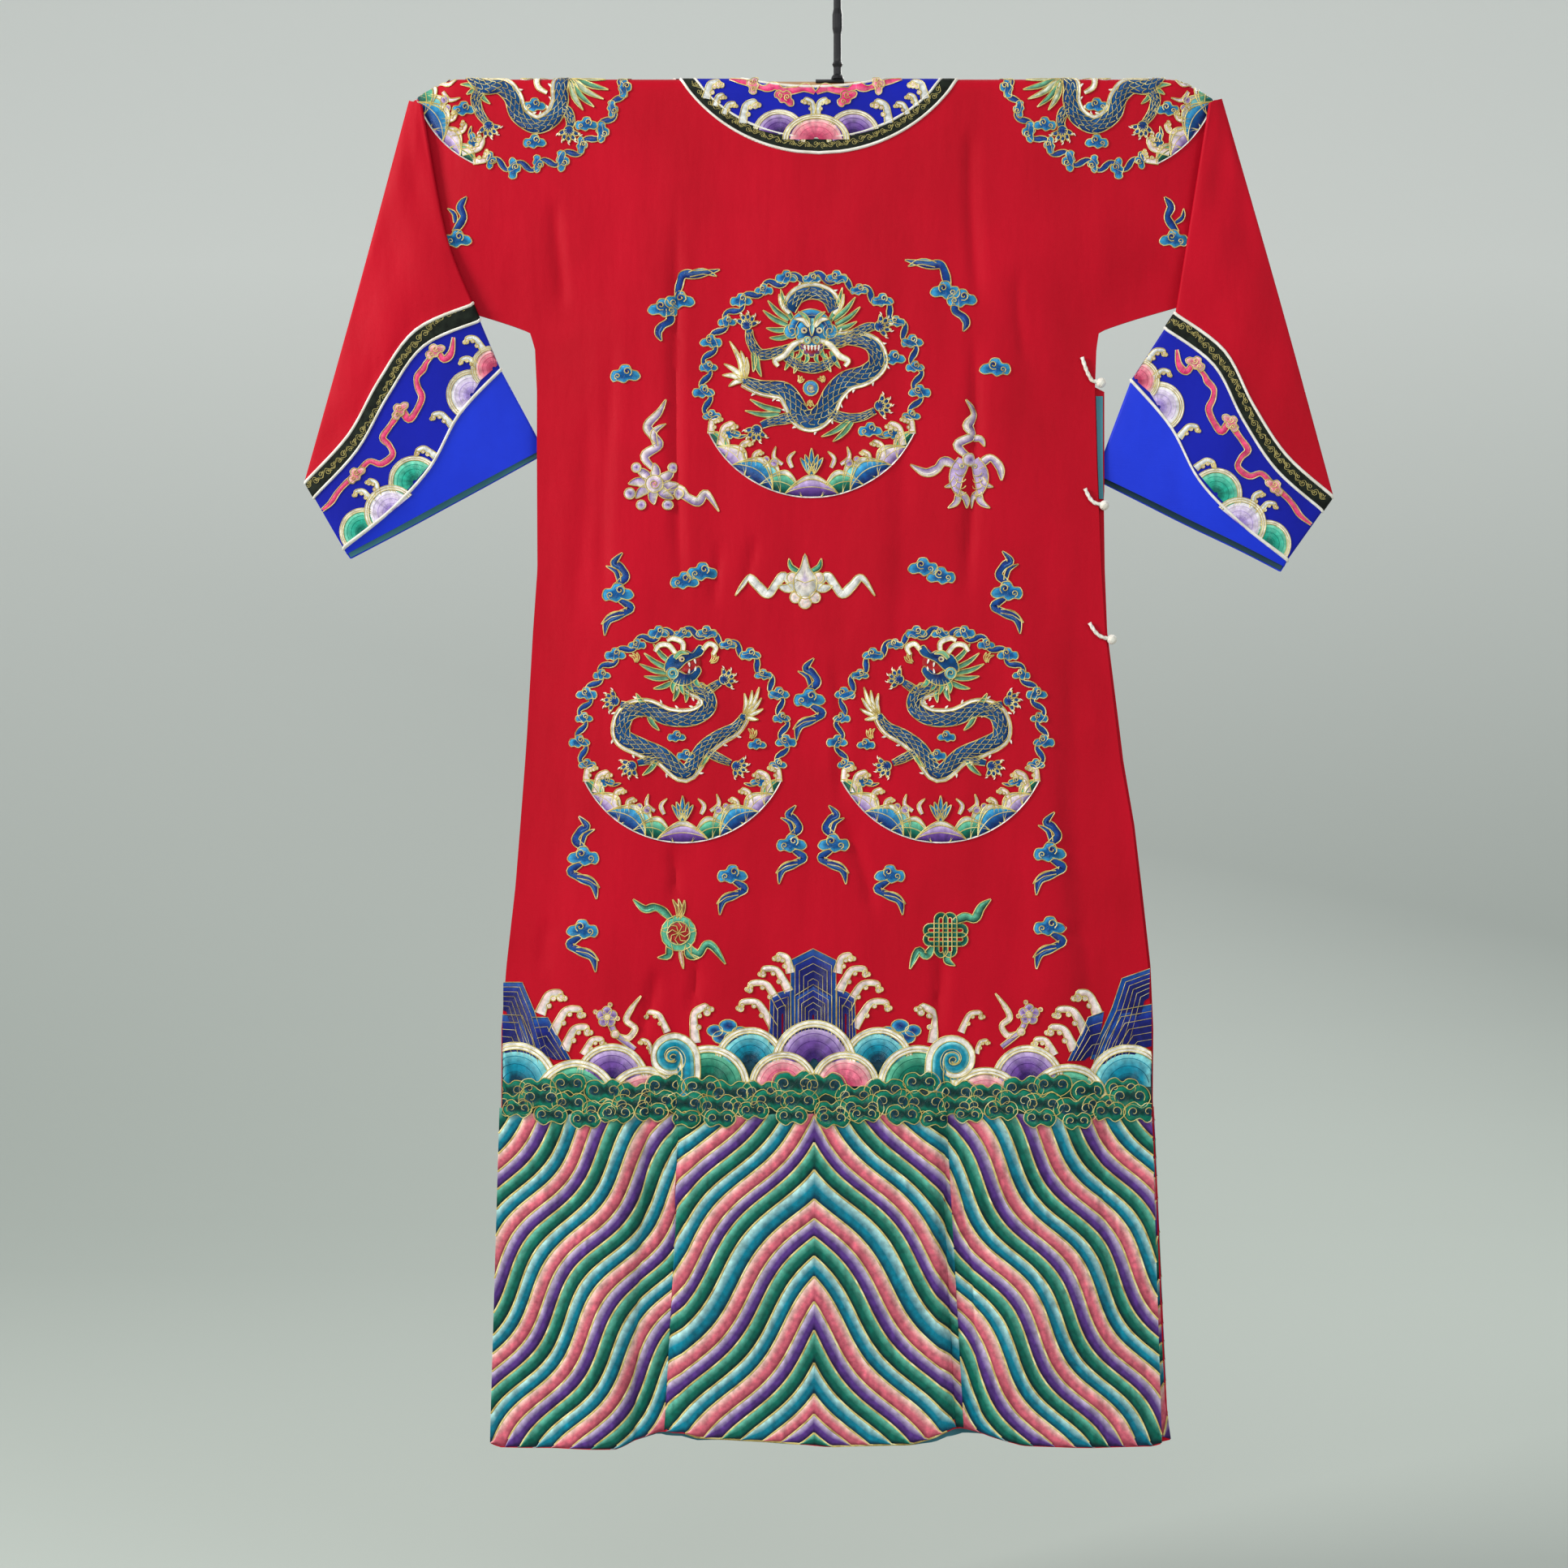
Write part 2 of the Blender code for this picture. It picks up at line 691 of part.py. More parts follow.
def make_yoke(label, pairs, side, upper):
    for name, lines, thick, material in YOKE_BANDS:
        places = {}
        for column, (inner, outer) in enumerate(pairs):
            for row, distance in enumerate(lines):
                share = distance / YOKE_WIDTH
                places[(column, row)] = (mix(inner[0], outer[0], share), mix(inner[1], outer[1], share))
        low = CLOTH + TRIM_LIFT
        net = grid_cells(len(pairs) - 1, len(lines) - 1)
        add_sheet(f"{name}_{label}", places, net, side, low, low + thick, material, upper)


def make_yokes():
    make_yoke("back", back_yoke_lines(), BACK, False)
    make_yoke("front", front_yoke_lines(), FRONT, True)
    make_yoke("flap", flap_yoke_lines(), FRONT, False)


# Linings, where they show inside the hem and the side closure


def make_linings():
    panel, cells = panel_net("overlap")
    last = max(row for column, row in (key for key in panel if len(key) == 2))
    places = {}
    for column in range(len(OVERLAP_COLUMNS)):
        above = panel[(column, last - 1)]
        below = panel[(column, last)]
        for row, share in enumerate((0.15, 0.98)):
            places[(column, row)] = (mix(above[0], below[0], share), mix(above[1], below[1], share))
    net = grid_cells(len(OVERLAP_COLUMNS) - 1, 1)
    add_sheet("hem_lining", places, net, FRONT, -TRIM_LIFT - LINING, -TRIM_LIFT, "teal lining",
              upper=True)

    places = {}
    for row in range(5):
        depth = mix(323.0, 428.0, row / 4)
        places[(0, row)] = (read(SIDES, depth, 2) + 1.2, run_of_depth(0.0, depth))
        places[(1, row)] = (read(SIDES, depth, 3) - 0.6, run_of_depth(0.0, depth))
    add_sheet("side_lining", places, grid_cells(1, 4), FRONT, -SEAM - LINING, -SEAM, "teal lining",
              upper=True)


# Sleeves and cuffs: flat tubes through lines across them


def ring_shape():
    """Round a flat tube: place across, cap direction across, cap direction in depth."""
    shape = [(a, 0.0, -1.0) for a in SLEEVE_ACROSS]
    shape += [(1.0, 0.94, -0.34), (1.0, 0.94, 0.34)]
    shape += [(a, 0.0, 1.0) for a in reversed(SLEEVE_ACROSS)]
    shape += [(-1.0, -0.94, 0.34), (-1.0, -0.94, -0.34)]
    return shape


def tube_point(hand, line_a, line_b, along, place, inset, width_shift=0.0):
    """A point round a tube between two of its lines. along is a share, plus a length in millimetres."""
    across, cap_x, cap_y = place
    lines = SLEEVE_LINES[hand]
    share = (across + 1) / 2
    if (line_a, line_b) == ("top", "band"):
        curve = [through(lines[key], share) for key in ("top", "crease", "band")]
        ends = [[through(lines[key], end) for key in ("top", "crease", "band")] for end in (0, 1)]
        flat = Vector(through(curve, along))
        reach = Vector(through(ends[1], along)) - Vector(through(ends[0], along))
        rows = [SLEEVE_DEPTHS[key] for key in ("top", "crease", "band")]
        outer_y, inner_y, half = through(rows, along)
    else:
        start = Vector(through(lines[line_a], share))
        end = Vector(through(lines[line_b], share))
        part = along + width_shift / max((end - start).length, 6.0)
        flat = start.lerp(end, part)
        reach = Vector(lines[line_a][-1]).lerp(Vector(lines[line_b][-1]), part)
        reach -= Vector(lines[line_a][0]).lerp(Vector(lines[line_b][0]), part)
        a = SLEEVE_DEPTHS[line_a]
        b = SLEEVE_DEPTHS[line_b]
        outer_y, inner_y, half = (mix(p, q, part) for p, q in zip(a, b))
    direction = reach.normalized()
    flat = flat - direction * (across * SLEEVE_FOLD) + direction * (cap_x * (SLEEVE_FOLD - inset))
    bulge = (half - SLEEVE_FOLD) * (1 - across * across)
    y = mix(outer_y, inner_y, share)
    if cap_x == 0.0:
        y += cap_y * (SLEEVE_FOLD - inset + bulge)
    else:
        y += cap_y * (SLEEVE_FOLD - inset)
    return Vector((flat.x, y, SHOULDER_Z - flat.y))


def add_tube(name, rings_out, rings_in, material, closed_top=False):
    """A tube wall between outer and inner rings, open at its ends or closed at its first ring."""
    count = len(rings_out[0])
    rows = len(rings_out)
    points = [p for ring in rings_out for p in ring] + [p for ring in rings_in for p in ring]
    faces = []
    for shift in (0, rows * count):
        for row in range(rows - 1):
            for step in range(count):
                a = shift + row * count + step
                b = shift + row * count + (step + 1) % count
                for corner in ([a, b, b + count], [a, b + count, a + count]):
                    faces.append(corner if shift == 0 else corner[::-1])
    end_rows = [rows - 1] if closed_top else [0, rows - 1]
    for row in end_rows:
        for step in range(count):
            a = row * count + step
            b = row * count + (step + 1) % count
            faces.append([a, b, b + rows * count, a + rows * count])
    if closed_top:
        faces.append(list(range(count)))
        faces.append([rows * count + step for step in reversed(range(count))])
    return add_solid(name, points, faces, material)


def tube_rings(hand, line_a, line_b, stations, inset, far_shift=0.0):
    rings = []
    shape = ring_shape()
    for number, (along, shift) in enumerate(stations):
        ring = []
        for place in shape:
            extra = far_shift if number == len(stations) - 1 and place[2] > 0.5 else 0.0
            ring.append(tube_point(hand, line_a, line_b, along, place, inset, shift + extra))
        rings.append(ring)
    return rings


def make_sleeve(hand):
    stations = [(along, 0.0) for along in (0.0, 0.12, 0.25, 0.4, 0.55, 0.7, 0.85, 1.0)]
    inner = [(0.015, 0.0)] + stations[1:]
    outside = tube_rings(hand, "top", "band", stations, 0.0)
    inside = tube_rings(hand, "top", "band", inner, CLOTH)
    add_tube(f"sleeve_{hand}", outside, inside, "red silk", closed_top=True)

    stations = [(0.0, SEAM), (0.35, 0.0), (0.7, 0.0), (1.0, -SEAM / 2)]
    add_tube(f"cuff_{hand}", tube_rings(hand, "band", "piping", stations, 0.0),
             tube_rings(hand, "band", "piping", stations, CLOTH), "royal blue silk")

    stations = [(0.0, SEAM / 2), (0.5, 0.0), (1.0, 0.0)]
    add_tube(f"cuff_edge_{hand}", tube_rings(hand, "piping", "opening", stations, 0.0, FAR_OPENING),
             tube_rings(hand, "piping", "opening", stations, CLOTH, FAR_OPENING), "royal blue silk")

    for name, line_a, line_b, start, end, thick, material in CUFF_RINGS:
        stations = [(0.0, start), (0.0, end)]
        add_tube(f"{name}_{hand}", tube_rings(hand, line_a, line_b, stations, -TRIM_LIFT - thick),
                 tube_rings(hand, line_a, line_b, stations, -TRIM_LIFT), material)

    stations = [(0.5, 0.0), (1.0, -1.0)]
    low = CLOTH + SEAM
    add_tube(f"cuff_lining_{hand}", tube_rings(hand, "piping", "opening", stations, low, FAR_OPENING),
             tube_rings(hand, "piping", "opening", stations, low + LINING * 0.5, FAR_OPENING),
             "teal lining")


# Loops and balls of the side closure


def add_rod(name, path, radii, sides, material):
    """A round rod along a path, with flat caps."""
    points = []
    faces = []
    for number, centre in enumerate(path):
        before = path[max(number - 1, 0)]
        after = path[min(number + 1, len(path) - 1)]
        along = (after - before).normalized()
        level = Vector((0, 1, 0))
        sideways = level.cross(along).normalized()
        level = along.cross(sideways)
        for step in range(sides):
            angle = 2 * math.pi * step / sides
            spoke = sideways * math.cos(angle) + level * math.sin(angle)
            points.append(centre + spoke * radii[number])
    for number in range(len(path) - 1):
        for step in range(sides):
            a = number * sides + step
            b = number * sides + (step + 1) % sides
            faces.append([a, b, b + sides, a + sides])
    faces.append(list(range(sides)))
    faces.append([(len(path) - 1) * sides + step for step in reversed(range(sides))])
    return add_solid(name, points, faces, material)


def add_ball(name, centre, radius, material):
    mesh_work = bmesh.new()
    bmesh.ops.create_icosphere(mesh_work, subdivisions=2, radius=radius)
    points = [centre + vertex.co for vertex in mesh_work.verts]
    faces = [[vertex.index for vertex in face.verts] for face in mesh_work.faces]
    mesh_work.free()
    return add_solid(name, points, faces, material)


def make_closure():
    for number, (tail_x, tail_depth, ball_depth) in enumerate(LOOPS, start=1):
        ball_x = read(SIDES, ball_depth, 2) + BALL_RADIUS + 0.8
        run = run_of_depth(0.0, ball_depth)
        seat = cloth_point(FRONT, min(ball_x, read(SIDES, ball_depth, 3)), run, upper=True)
        lift = LINING + 2 * SEAM if number == 1 else SEAM
        ball = Vector((ball_x, seat.y - lift - BALL_RADIUS, SHOULDER_Z - ball_depth))
        add_ball(f"knot_{number}", ball, BALL_RADIUS, "white cord")

        path = []
        for step in range(6):
            share = step / 5
            x = mix(tail_x, ball_x - BALL_RADIUS - 2 * CORD_RADIUS, share)
            depth = mix(tail_depth, ball_depth - CORD_RADIUS, share) + 3.0 * math.sin(math.pi * share)
            cloth_x = min(x, read(SIDES, depth, 2) - 1.5)
            place_run = run_of_depth(0.0, depth)
            base = cloth_point(BACK, cloth_x, place_run)
            base += cloth_normal(BACK, cloth_x, place_run) * (CLOTH + TRIM_LIFT + CORD_RADIUS)
            path.append(Vector((x, base.y, SHOULDER_Z - depth)))
        path.append(ball + (path[-1] - ball).normalized() * (BALL_RADIUS + SEAM))
        radii = [CORD_RADIUS * 0.75] + [CORD_RADIUS] * 5 + [CORD_RADIUS * 0.9]
        add_rod(f"loop_{number}", path, radii, 8, "white cord")


# Hanger


def make_bar():
    axis_z = SHOULDER_Z - CLOTH - FOLD_RADIUS
    chamfer = 2.0
    path = [Vector((x, 0, axis_z)) for x in (-BAR_HALF_LENGTH, chamfer - BAR_HALF_LENGTH,
                                             BAR_HALF_LENGTH - chamfer, BAR_HALF_LENGTH)]
    radii = [BAR_RADIUS - chamfer, BAR_RADIUS, BAR_RADIUS, BAR_RADIUS - chamfer]
    add_rod("hanger_bar", path, radii, 28, "varnished wood")


def make_saddle():
    """A metal strip bent over the bar, under the hook's foot."""
    axis_z = SHOULDER_Z - CLOTH - FOLD_RADIUS
    points = []
    faces = []
    steps = 12
    for step in range(steps + 1):
        angle = math.radians(mix(-48.0, 78.0, step / steps))
        for radius in (FOLD_RADIUS, FOLD_RADIUS + SADDLE_WALL):
            for x in (SADDLE_LEFT, SADDLE_RIGHT):
                points.append(Vector((x, radius * math.sin(angle), axis_z + radius * math.cos(angle))))
    for step in range(steps):
        a = step * 4
        faces.append([a, a + 1, a + 5, a + 4])
        faces.append([a + 3, a + 2, a + 6, a + 7])
        faces.append([a + 2, a, a + 4, a + 6])
        faces.append([a + 1, a + 3, a + 7, a + 5])
    faces.append([0, 2, 3, 1])
    last = steps * 4
    faces.append([last, last + 1, last + 3, last + 2])
    add_solid("hanger_saddle", points, faces, "black metal")


def make_hook():
    foot_z = SHOULDER_Z - CLOTH + SADDLE_WALL + SEAM
    bend_z = -(HOOK_BEND - HOOK_ROD)
    path = [Vector((HOOK_BEND, 0, foot_z + height)) for height, radius in HOOK_RADII]
    radii = [radius for height, radius in HOOK_RADII]
    path.append(Vector((HOOK_BEND, 0, bend_z - 12)))
    radii.append(HOOK_ROD)
    steps = 14
    for step in range(steps + 1):
        angle = math.pi * step / steps
        path.append(Vector((HOOK_BEND * math.cos(angle), 0, bend_z + HOOK_BEND * math.sin(angle))))
        radii.append(HOOK_ROD)
    for drop, radius in ((8, HOOK_ROD), (12, 5.0), (15, 5.0), (18, 3.0)):
        path.append(Vector((-HOOK_BEND, 0, bend_z - drop)))
        radii.append(radius)
    add_rod("hanger_hook", path, radii, 12, "black metal")


def main():
    clear_scene()
    make_panels()
    make_yokes()
    make_linings()
    make_sleeve("left")
    make_sleeve("right")
    make_closure()
    make_bar()
    make_saddle()
    make_hook()


main()
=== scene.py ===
"""The looks of a red silk stage robe that hangs from a bar hanger, seen from its back.

Lengths are in millimetres up to the last step, which makes meshes in metres. A place on the hung cloth
is (x, s): x runs across the robe from its centre line, and s along the cloth from the fold over the bar,
positive down the back and negative down the front.
"""
import math
from collections import namedtuple

import bmesh
import bpy
import numpy as np
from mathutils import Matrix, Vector
from mathutils.bvhtree import BVHTree


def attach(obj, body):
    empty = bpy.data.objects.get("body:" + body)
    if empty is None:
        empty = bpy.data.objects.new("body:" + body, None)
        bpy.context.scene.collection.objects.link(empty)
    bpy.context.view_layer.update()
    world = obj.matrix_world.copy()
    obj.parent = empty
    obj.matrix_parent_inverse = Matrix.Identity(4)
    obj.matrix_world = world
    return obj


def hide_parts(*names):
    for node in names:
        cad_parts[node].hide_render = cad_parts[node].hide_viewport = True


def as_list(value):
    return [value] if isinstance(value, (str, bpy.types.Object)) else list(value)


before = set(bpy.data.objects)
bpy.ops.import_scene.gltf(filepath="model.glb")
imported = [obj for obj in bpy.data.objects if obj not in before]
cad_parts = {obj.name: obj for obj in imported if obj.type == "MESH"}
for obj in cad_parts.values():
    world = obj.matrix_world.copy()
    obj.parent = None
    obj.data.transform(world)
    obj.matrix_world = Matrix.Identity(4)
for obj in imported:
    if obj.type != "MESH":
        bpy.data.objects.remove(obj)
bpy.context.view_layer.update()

MM = 0.001
BACK = 1
FRONT = -1

# Driving sizes of the cloth, the same as the solids have
SHOULDER_Z = -150.0
CLOTH = 1.5
BAR_HALF_LENGTH = 364.0
FOLD_RADIUS = 11.5
SHOULDER_TIP = 413.0
TIP_RADIUS = 2.2
TIP_DROOP = 25.0
ROOT_END = 455.0
BODY_HALF = 290.0
ARMPIT_DEPTH = 259.0
ROOT_END_DEPTH = 211.0
PUFF_RUN = 105.0
FOLD_FLOOR = 1.0
NECK_HALF = 73.0
NECK_BACK_RUN = 13.5
NECK_FRONT_RUN = 87.0
OVERLAP_START = 20.0
OVERLAP_SIDE_DEPTH = 318.0
FLAP_LEFT = -15.0
FLAP_HEM_DEPTH = 620.0
FLAP_LIFT = 2.3
YOKE_WIDTH = 71.3
YOKE_CENTRE_X = 5.0
YOKE_CENTRE_RISE = 92.5
YOKE_RADIUS = 171.0

# Columns of the two tables below
LEFT = 1
RIGHT = 2
OVERLAP_RIGHT = 3
BACK_HEM = 1
FRONT_HEM = 2

# Side outline, one row a depth: where the back ends left and right, and the overlap's right edge
SIDES = (
    # depth, left, right, overlap
    (0, -290, 291, 297),
    (259, -290, 291, 297),
    (275, -285, 288.5, 296),
    (318, -283, 287, 296),
    (395, -283, 289, 296),
    (500, -282.5, 293.5, 297.5),
    (564, -287, 297.5, 300),
    (667, -293, 309.5, 313),
    (696, -295, 313, 316.5),
    (762, -300, 325, 328),
    (825, -305, 332, 335.5),
    (905, -314, 341, 344.5),
    (970, -319, 344, 347.5),
    (1042, -319, 341, 347),
    (1146, -323, 342, 352),
    (1265, -325, 348.5, 357),
    (1350, -326, 352, 361),
    (1400, -330, 354, 366),
)

# Hem, one row a place across: how deep the back and the front hang there
HEM = (
    # x, back, front
    (-330, 1392, 1393),
    (-320, 1396, 1398),
    (-200, 1396, 1399),
    (-184, 1389, 1394),
    (-159, 1380, 1386),
    (-134, 1379, 1387),
    (-120, 1384, 1392),
    (-83, 1386, 1394),
    (-32, 1389, 1397),
    (14, 1393, 1399),
    (99, 1391, 1399),
    (123, 1384, 1394),
    (137, 1377, 1388),
    (152, 1376, 1386),
    (170, 1381, 1387),
    (212, 1392, 1393),
    (285, 1395, 1397),
    (345, 1395, 1396),
    (366, 1389, 1391),
)

# Half the space inside the robe at its middle, from the bar to the hem
PUFF = (
    # depth, half space
    (0, 11.3),
    (60, 10.5),
    (140, 8.5),
    (320, 8.0),
    (620, 8.5),
    (900, 10.5),
    (1150, 13.5),
    (1400, 16.0),
)

# Half the space at the side edges: sewn shut above the vents, open below them
SIDE_SPACE = (
    # depth, left half space, right half space
    (0, 0.15, 0.15),
    (700, 0.15, 0.15),
    (790, 0.15, 1.5),
    (1000, 2.0, 3.0),
    (1400, 4.5, 5.0),
)

# Hanging folds: the cloth is pressed in along a line, steep on one flank and soft on the other
FOLDS = (
    # side, top x, top depth, hem x, hem depth, fade-in, pressed in, left flank, right flank
    (BACK, -136, 930, -157, 1400, 300, 13.0, 62, 17),
    (BACK, 126, 950, 150, 1400, 300, 12.0, 17, 50),
    (BACK, -218, 780, -262, 1400, 380, 4.0, 38, 38),
    (BACK, 246, 560, 300, 1120, 250, 4.0, 22, 40),
    (FRONT, -118, 900, -146, 1400, 320, 12.0, 18, 58),
    (FRONT, 112, 960, 140, 1400, 300, 12.0, 55, 18),
    (FRONT, -30, 1000, -12, 1400, 260, 5.0, 45, 30),
    (FRONT, 230, 700, 268, 1400, 380, 5.0, 40, 40),
)

# Creases: soft troughs along a line, left over from storage and from the cloth's weight
CREASES = (
    # side, top x, top depth, foot x, foot depth, trough, left width, right width
    (BACK, -143, 112, -133, 556, 1.9, 9, 5),
    (BACK, -260, 118, -259, 246, 1.5, 10, 6),
    (BACK, 160, 30, 163, 250, 1.6, 6, 11),
    (BACK, 163, 240, 157, 545, 1.8, 6, 9),
    (BACK, -206, 244, -213, 556, 1.1, 12, 7),
    (BACK, -62, 462, -66, 532, 1.3, 6, 5),
    (BACK, -100, 472, -98, 540, 1.3, 6, 5),
    (BACK, 210, 186, 213, 300, 1.0, 8, 6),
    (BACK, 252, 572, 300, 852, 2.2, 9, 14),
    (BACK, 19, 588, 31, 752, 1.4, 6, 8),
    (BACK, 30, 750, 61, 858, 1.8, 6, 10),
    (BACK, -140, 780, -146, 842, 1.6, 6, 6),
    (BACK, -163, 905, -174, 986, 1.9, 7, 7),
    (BACK, -120, 893, -126, 958, 1.6, 6, 6),
    (BACK, 126, 886, 126, 980, 2.0, 6, 9),
    (BACK, -267, 858, -282, 912, 1.5, 8, 8),
    (BACK, 250, 858, 318, 905, 1.6, 8, 8),
    (BACK, -232, 320, -238, 560, 0.9, 14, 10),
    (BACK, 88, 330, 84, 640, 0.9, 12, 16),
    (BACK, -138, 925, -162, 1520, 1.9, 7, 6),
    (BACK, -160, 945, -194, 1520, 1.3, 8, 7),
    (BACK, 127, 945, 156, 1520, 2.0, 6, 7),
    (BACK, 142, 965, 176, 1520, 1.0, 7, 8),
    (FRONT, -150, 120, -141, 540, 1.7, 8, 6),
    (FRONT, -248, 100, -250, 300, 1.3, 10, 7),
    (FRONT, -205, 260, -212, 590, 1.1, 12, 7),
    (FRONT, -70, 440, -76, 600, 1.2, 7, 6),
    (FRONT, -255, 600, -292, 880, 2.0, 12, 9),
    (FRONT, -24, 640, -38, 830, 1.5, 8, 6),
    (FRONT, 150, 660, 158, 840, 1.5, 6, 8),
    (FRONT, 168, 900, 176, 1000, 1.8, 7, 7),
    (FRONT, -122, 880, -121, 985, 1.8, 8, 6),
    (FRONT, 60, 700, 52, 900, 1.3, 9, 7),
    (FRONT, 262, 780, 284, 930, 1.5, 8, 8),
)

CREASE_GAIN = 2.1
CREASE_WIDTH = 0.7

# Faint waves that run down the cloth between the creases
WAVES = (
    # waves across a metre, lean, phase, height
    (9.0, 0.5, 0.3, 0.45),
    (15.0, -0.8, 1.9, 0.3),
    (23.0, 0.9, 4.1, 0.18),
)

# Sleeves as flat tubes: lines across each tube, from its outer fold to its inner fold, as (x, depth)
SLEEVE_LINES = {
    "left": {
        "top": ((-413, 23), (-410, 24), (-406, 25), (-403, 26), (-399, 28)),
        "crease": ((-465, 218), (-443, 202), (-420, 188), (-398, 173), (-375, 157)),
        "band": ((-519, 411), (-475, 364), (-443, 308), (-405, 256), (-348, 229)),
        "piping": ((-480, 479), (-432, 441), (-391, 396), (-361, 341), (-320, 296)),
        "opening": ((-477, 485), (-426, 458), (-377, 431), (-326, 403), (-277, 376)),
    },
    "right": {
        "top": ((416, 21), (413, 22), (410, 23), (406, 24), (402, 26)),
        "crease": ((474, 225), (451, 210), (427, 194), (404, 178), (380, 163)),
        "band": ((529, 426), (482, 385), (447, 333), (417, 277), (368, 239)),
        "piping": ((483, 491), (434, 453), (392, 409), (363, 354), (324, 307)),
        "opening": ((480, 498), (433, 474), (386, 451), (339, 427), (289, 402)),
    },
}

# How far each line stands from the robe's middle plane, and half the tube's thickness there
SLEEVE_DEPTHS = {
    # line: (y at the outer fold, y at the inner fold, half thickness)
    "top": (-7.0, -10.0, 2.8),
    "crease": (-9.5, -12.5, 5.0),
    "band": (-9.0, -11.5, 7.0),
    "piping": (-6.0, -1.0, 7.5),
    "opening": (-3.0, 10.5, 8.0),
}
SLEEVE_FOLD = 2.6
FAR_OPENING = 5.0
LINING = 0.8
FACING = 28.0

# What is sewn along the neck and the overlap's edge, as distances from that edge
YOKE_BANDS = (
    # name, from, to, height, material
    ("neck_piping", 0.4, 3.4, 1.9, "cord"),
    ("yoke", 3.4, 52.4, 0.9, "blue"),
    ("yoke_piping_inner", 52.4, 55.6, 1.9, "cord"),
    ("yoke_ribbon", 55.6, 68.0, 1.2, "ribbon"),
    ("yoke_piping_outer", 68.0, 71.3, 1.9, "cord"),
)

# What is sewn round each cuff, as distances below the seam between sleeve and cuff
CUFF_RINGS = (
    # name, from line, to line, from, to, height, material
    ("cuff_piping_upper", "band", "piping", 0.0, 3.4, 1.9, "cord"),
    ("cuff_ribbon", "band", "piping", 3.4, 17.8, 1.2, "ribbon"),
    ("cuff_piping_inner", "band", "piping", 17.8, 20.8, 1.9, "cord"),
    ("cuff_piping_lower", "piping", "opening", -1.2, 2.4, 1.9, "cord"),
)


# The hung cloth as a surface

BAR_ROUNDING = 2.0
FOLD_END_FADE = 150.0
CREASE_SWAY = 3.0
CREASE_ENDS = 0.25
WAVES_FROM = 60.0
WAVES_FADE = 200.0
EDGE_FADE = 70.0
TOP_FROM = 24.0
TOP_FADE = 50.0
BELOW_BAR_FADE = 60.0
FLAP_FROM_X = -100.0
FLAP_FADE = 72.0
FLAP_FROM_DEPTH = 16.0
OVER_FLAP = (-0.4, 0.5)


def smooth(value):
    value = np.clip(value, 0.0, 1.0)
    return value * value * (3.0 - 2.0 * value)


def fade(value, start, length):
    """Rises softly from 0 at a start to 1 a length further on."""
    return smooth((value - start) / length)


def mix(a, b, share):
    return a + (b - a) * share


def curved(a, b, c, d, share):
    """A smooth curve from b to c, read at a share, with a before it and d after it."""
    return 0.5 * (2 * b + (c - a) * share + (2 * a - 5 * b + 4 * c - d) * share * share
                  + (3 * b - a - 3 * c + d) * share ** 3)


def lengths_along(path):
    """How far along a path each of its points is."""
    return np.concatenate([[0], np.cumsum(np.linalg.norm(np.diff(path, axis=0), axis=1))])


def read(table, key, column):
    """A table's value at a key, in straight steps between its rows."""
    return np.interp(key, [row[0] for row in table], [row[column] for row in table])


def past_bar(x):
    start = BAR_HALF_LENGTH + BAR_ROUNDING
    reach = (np.abs(x) - start) / (SHOULDER_TIP - start)
    return np.clip(reach, 0.0, 1.0)


def droop(x):
    return TIP_DROOP * past_bar(x) ** 1.3


def fold_radius(x):
    return mix(FOLD_RADIUS, TIP_RADIUS, past_bar(x))


def depth_of_run(x, run):
    radius = fold_radius(x)
    quarter = radius * math.pi / 2
    arc = radius * (1 - np.cos(np.minimum(run / radius, math.pi / 2)))
    return CLOTH + droop(x) + arc + np.maximum(run - quarter, 0.0)


def run_of_depth(x, depth):
    radius = fold_radius(x)
    drop = depth - CLOTH - droop(x)
    arc = radius * np.arccos(1 - np.clip(drop, 0.0, radius) / radius)
    return arc + np.maximum(drop - radius, 0.0)


def underarm_depth(x):
    share = np.clip((np.abs(x) - BODY_HALF) / (ROOT_END - BODY_HALF), 0.0, 1.0)
    return mix(ARMPIT_DEPTH, ROOT_END_DEPTH, share ** 0.85)


def edge_distance(x, depth):
    """How far a place lies from the nearest side, underarm or root end."""
    low = np.maximum(depth, ARMPIT_DEPTH)
    side = np.where(x > 0, read(SIDES, low, RIGHT), -read(SIDES, low, LEFT))
    reach = np.abs(x)
    to_corner = np.hypot(BODY_HALF - reach, depth - ARMPIT_DEPTH)
    below = np.where(reach < BODY_HALF, np.minimum(side - reach, to_corner), side - reach)
    slant = (ROOT_END - SHOULDER_TIP) * (1 - (depth - TIP_DROOP) / (ROOT_END_DEPTH - TIP_DROOP))
    to_underarm = np.where(reach < BODY_HALF, to_corner, underarm_depth(x) - depth)
    above = np.minimum(to_underarm, ROOT_END - reach - slant)
    return np.maximum(0.0, np.where(depth > ARMPIT_DEPTH, below, above))


def fold_depth(side, x, depth):
    total = np.zeros(np.broadcast(x, depth).shape)
    for row in FOLDS:
        row_side, top_x, top_depth, hem_x, hem_depth, length, pressed, left, right = row
        line = mix(top_x, hem_x, (depth - top_depth) / (hem_depth - top_depth))
        offset = x - line
        flank = 1 - smooth(np.where(offset < 0, -offset / left, offset / right))
        out = 1 - fade(depth, hem_depth, FOLD_END_FADE)
        shape = pressed * fade(depth, top_depth, length) * flank * out
        total = total + np.where((side == row_side) & (depth >= top_depth), shape, 0.0)
    return total


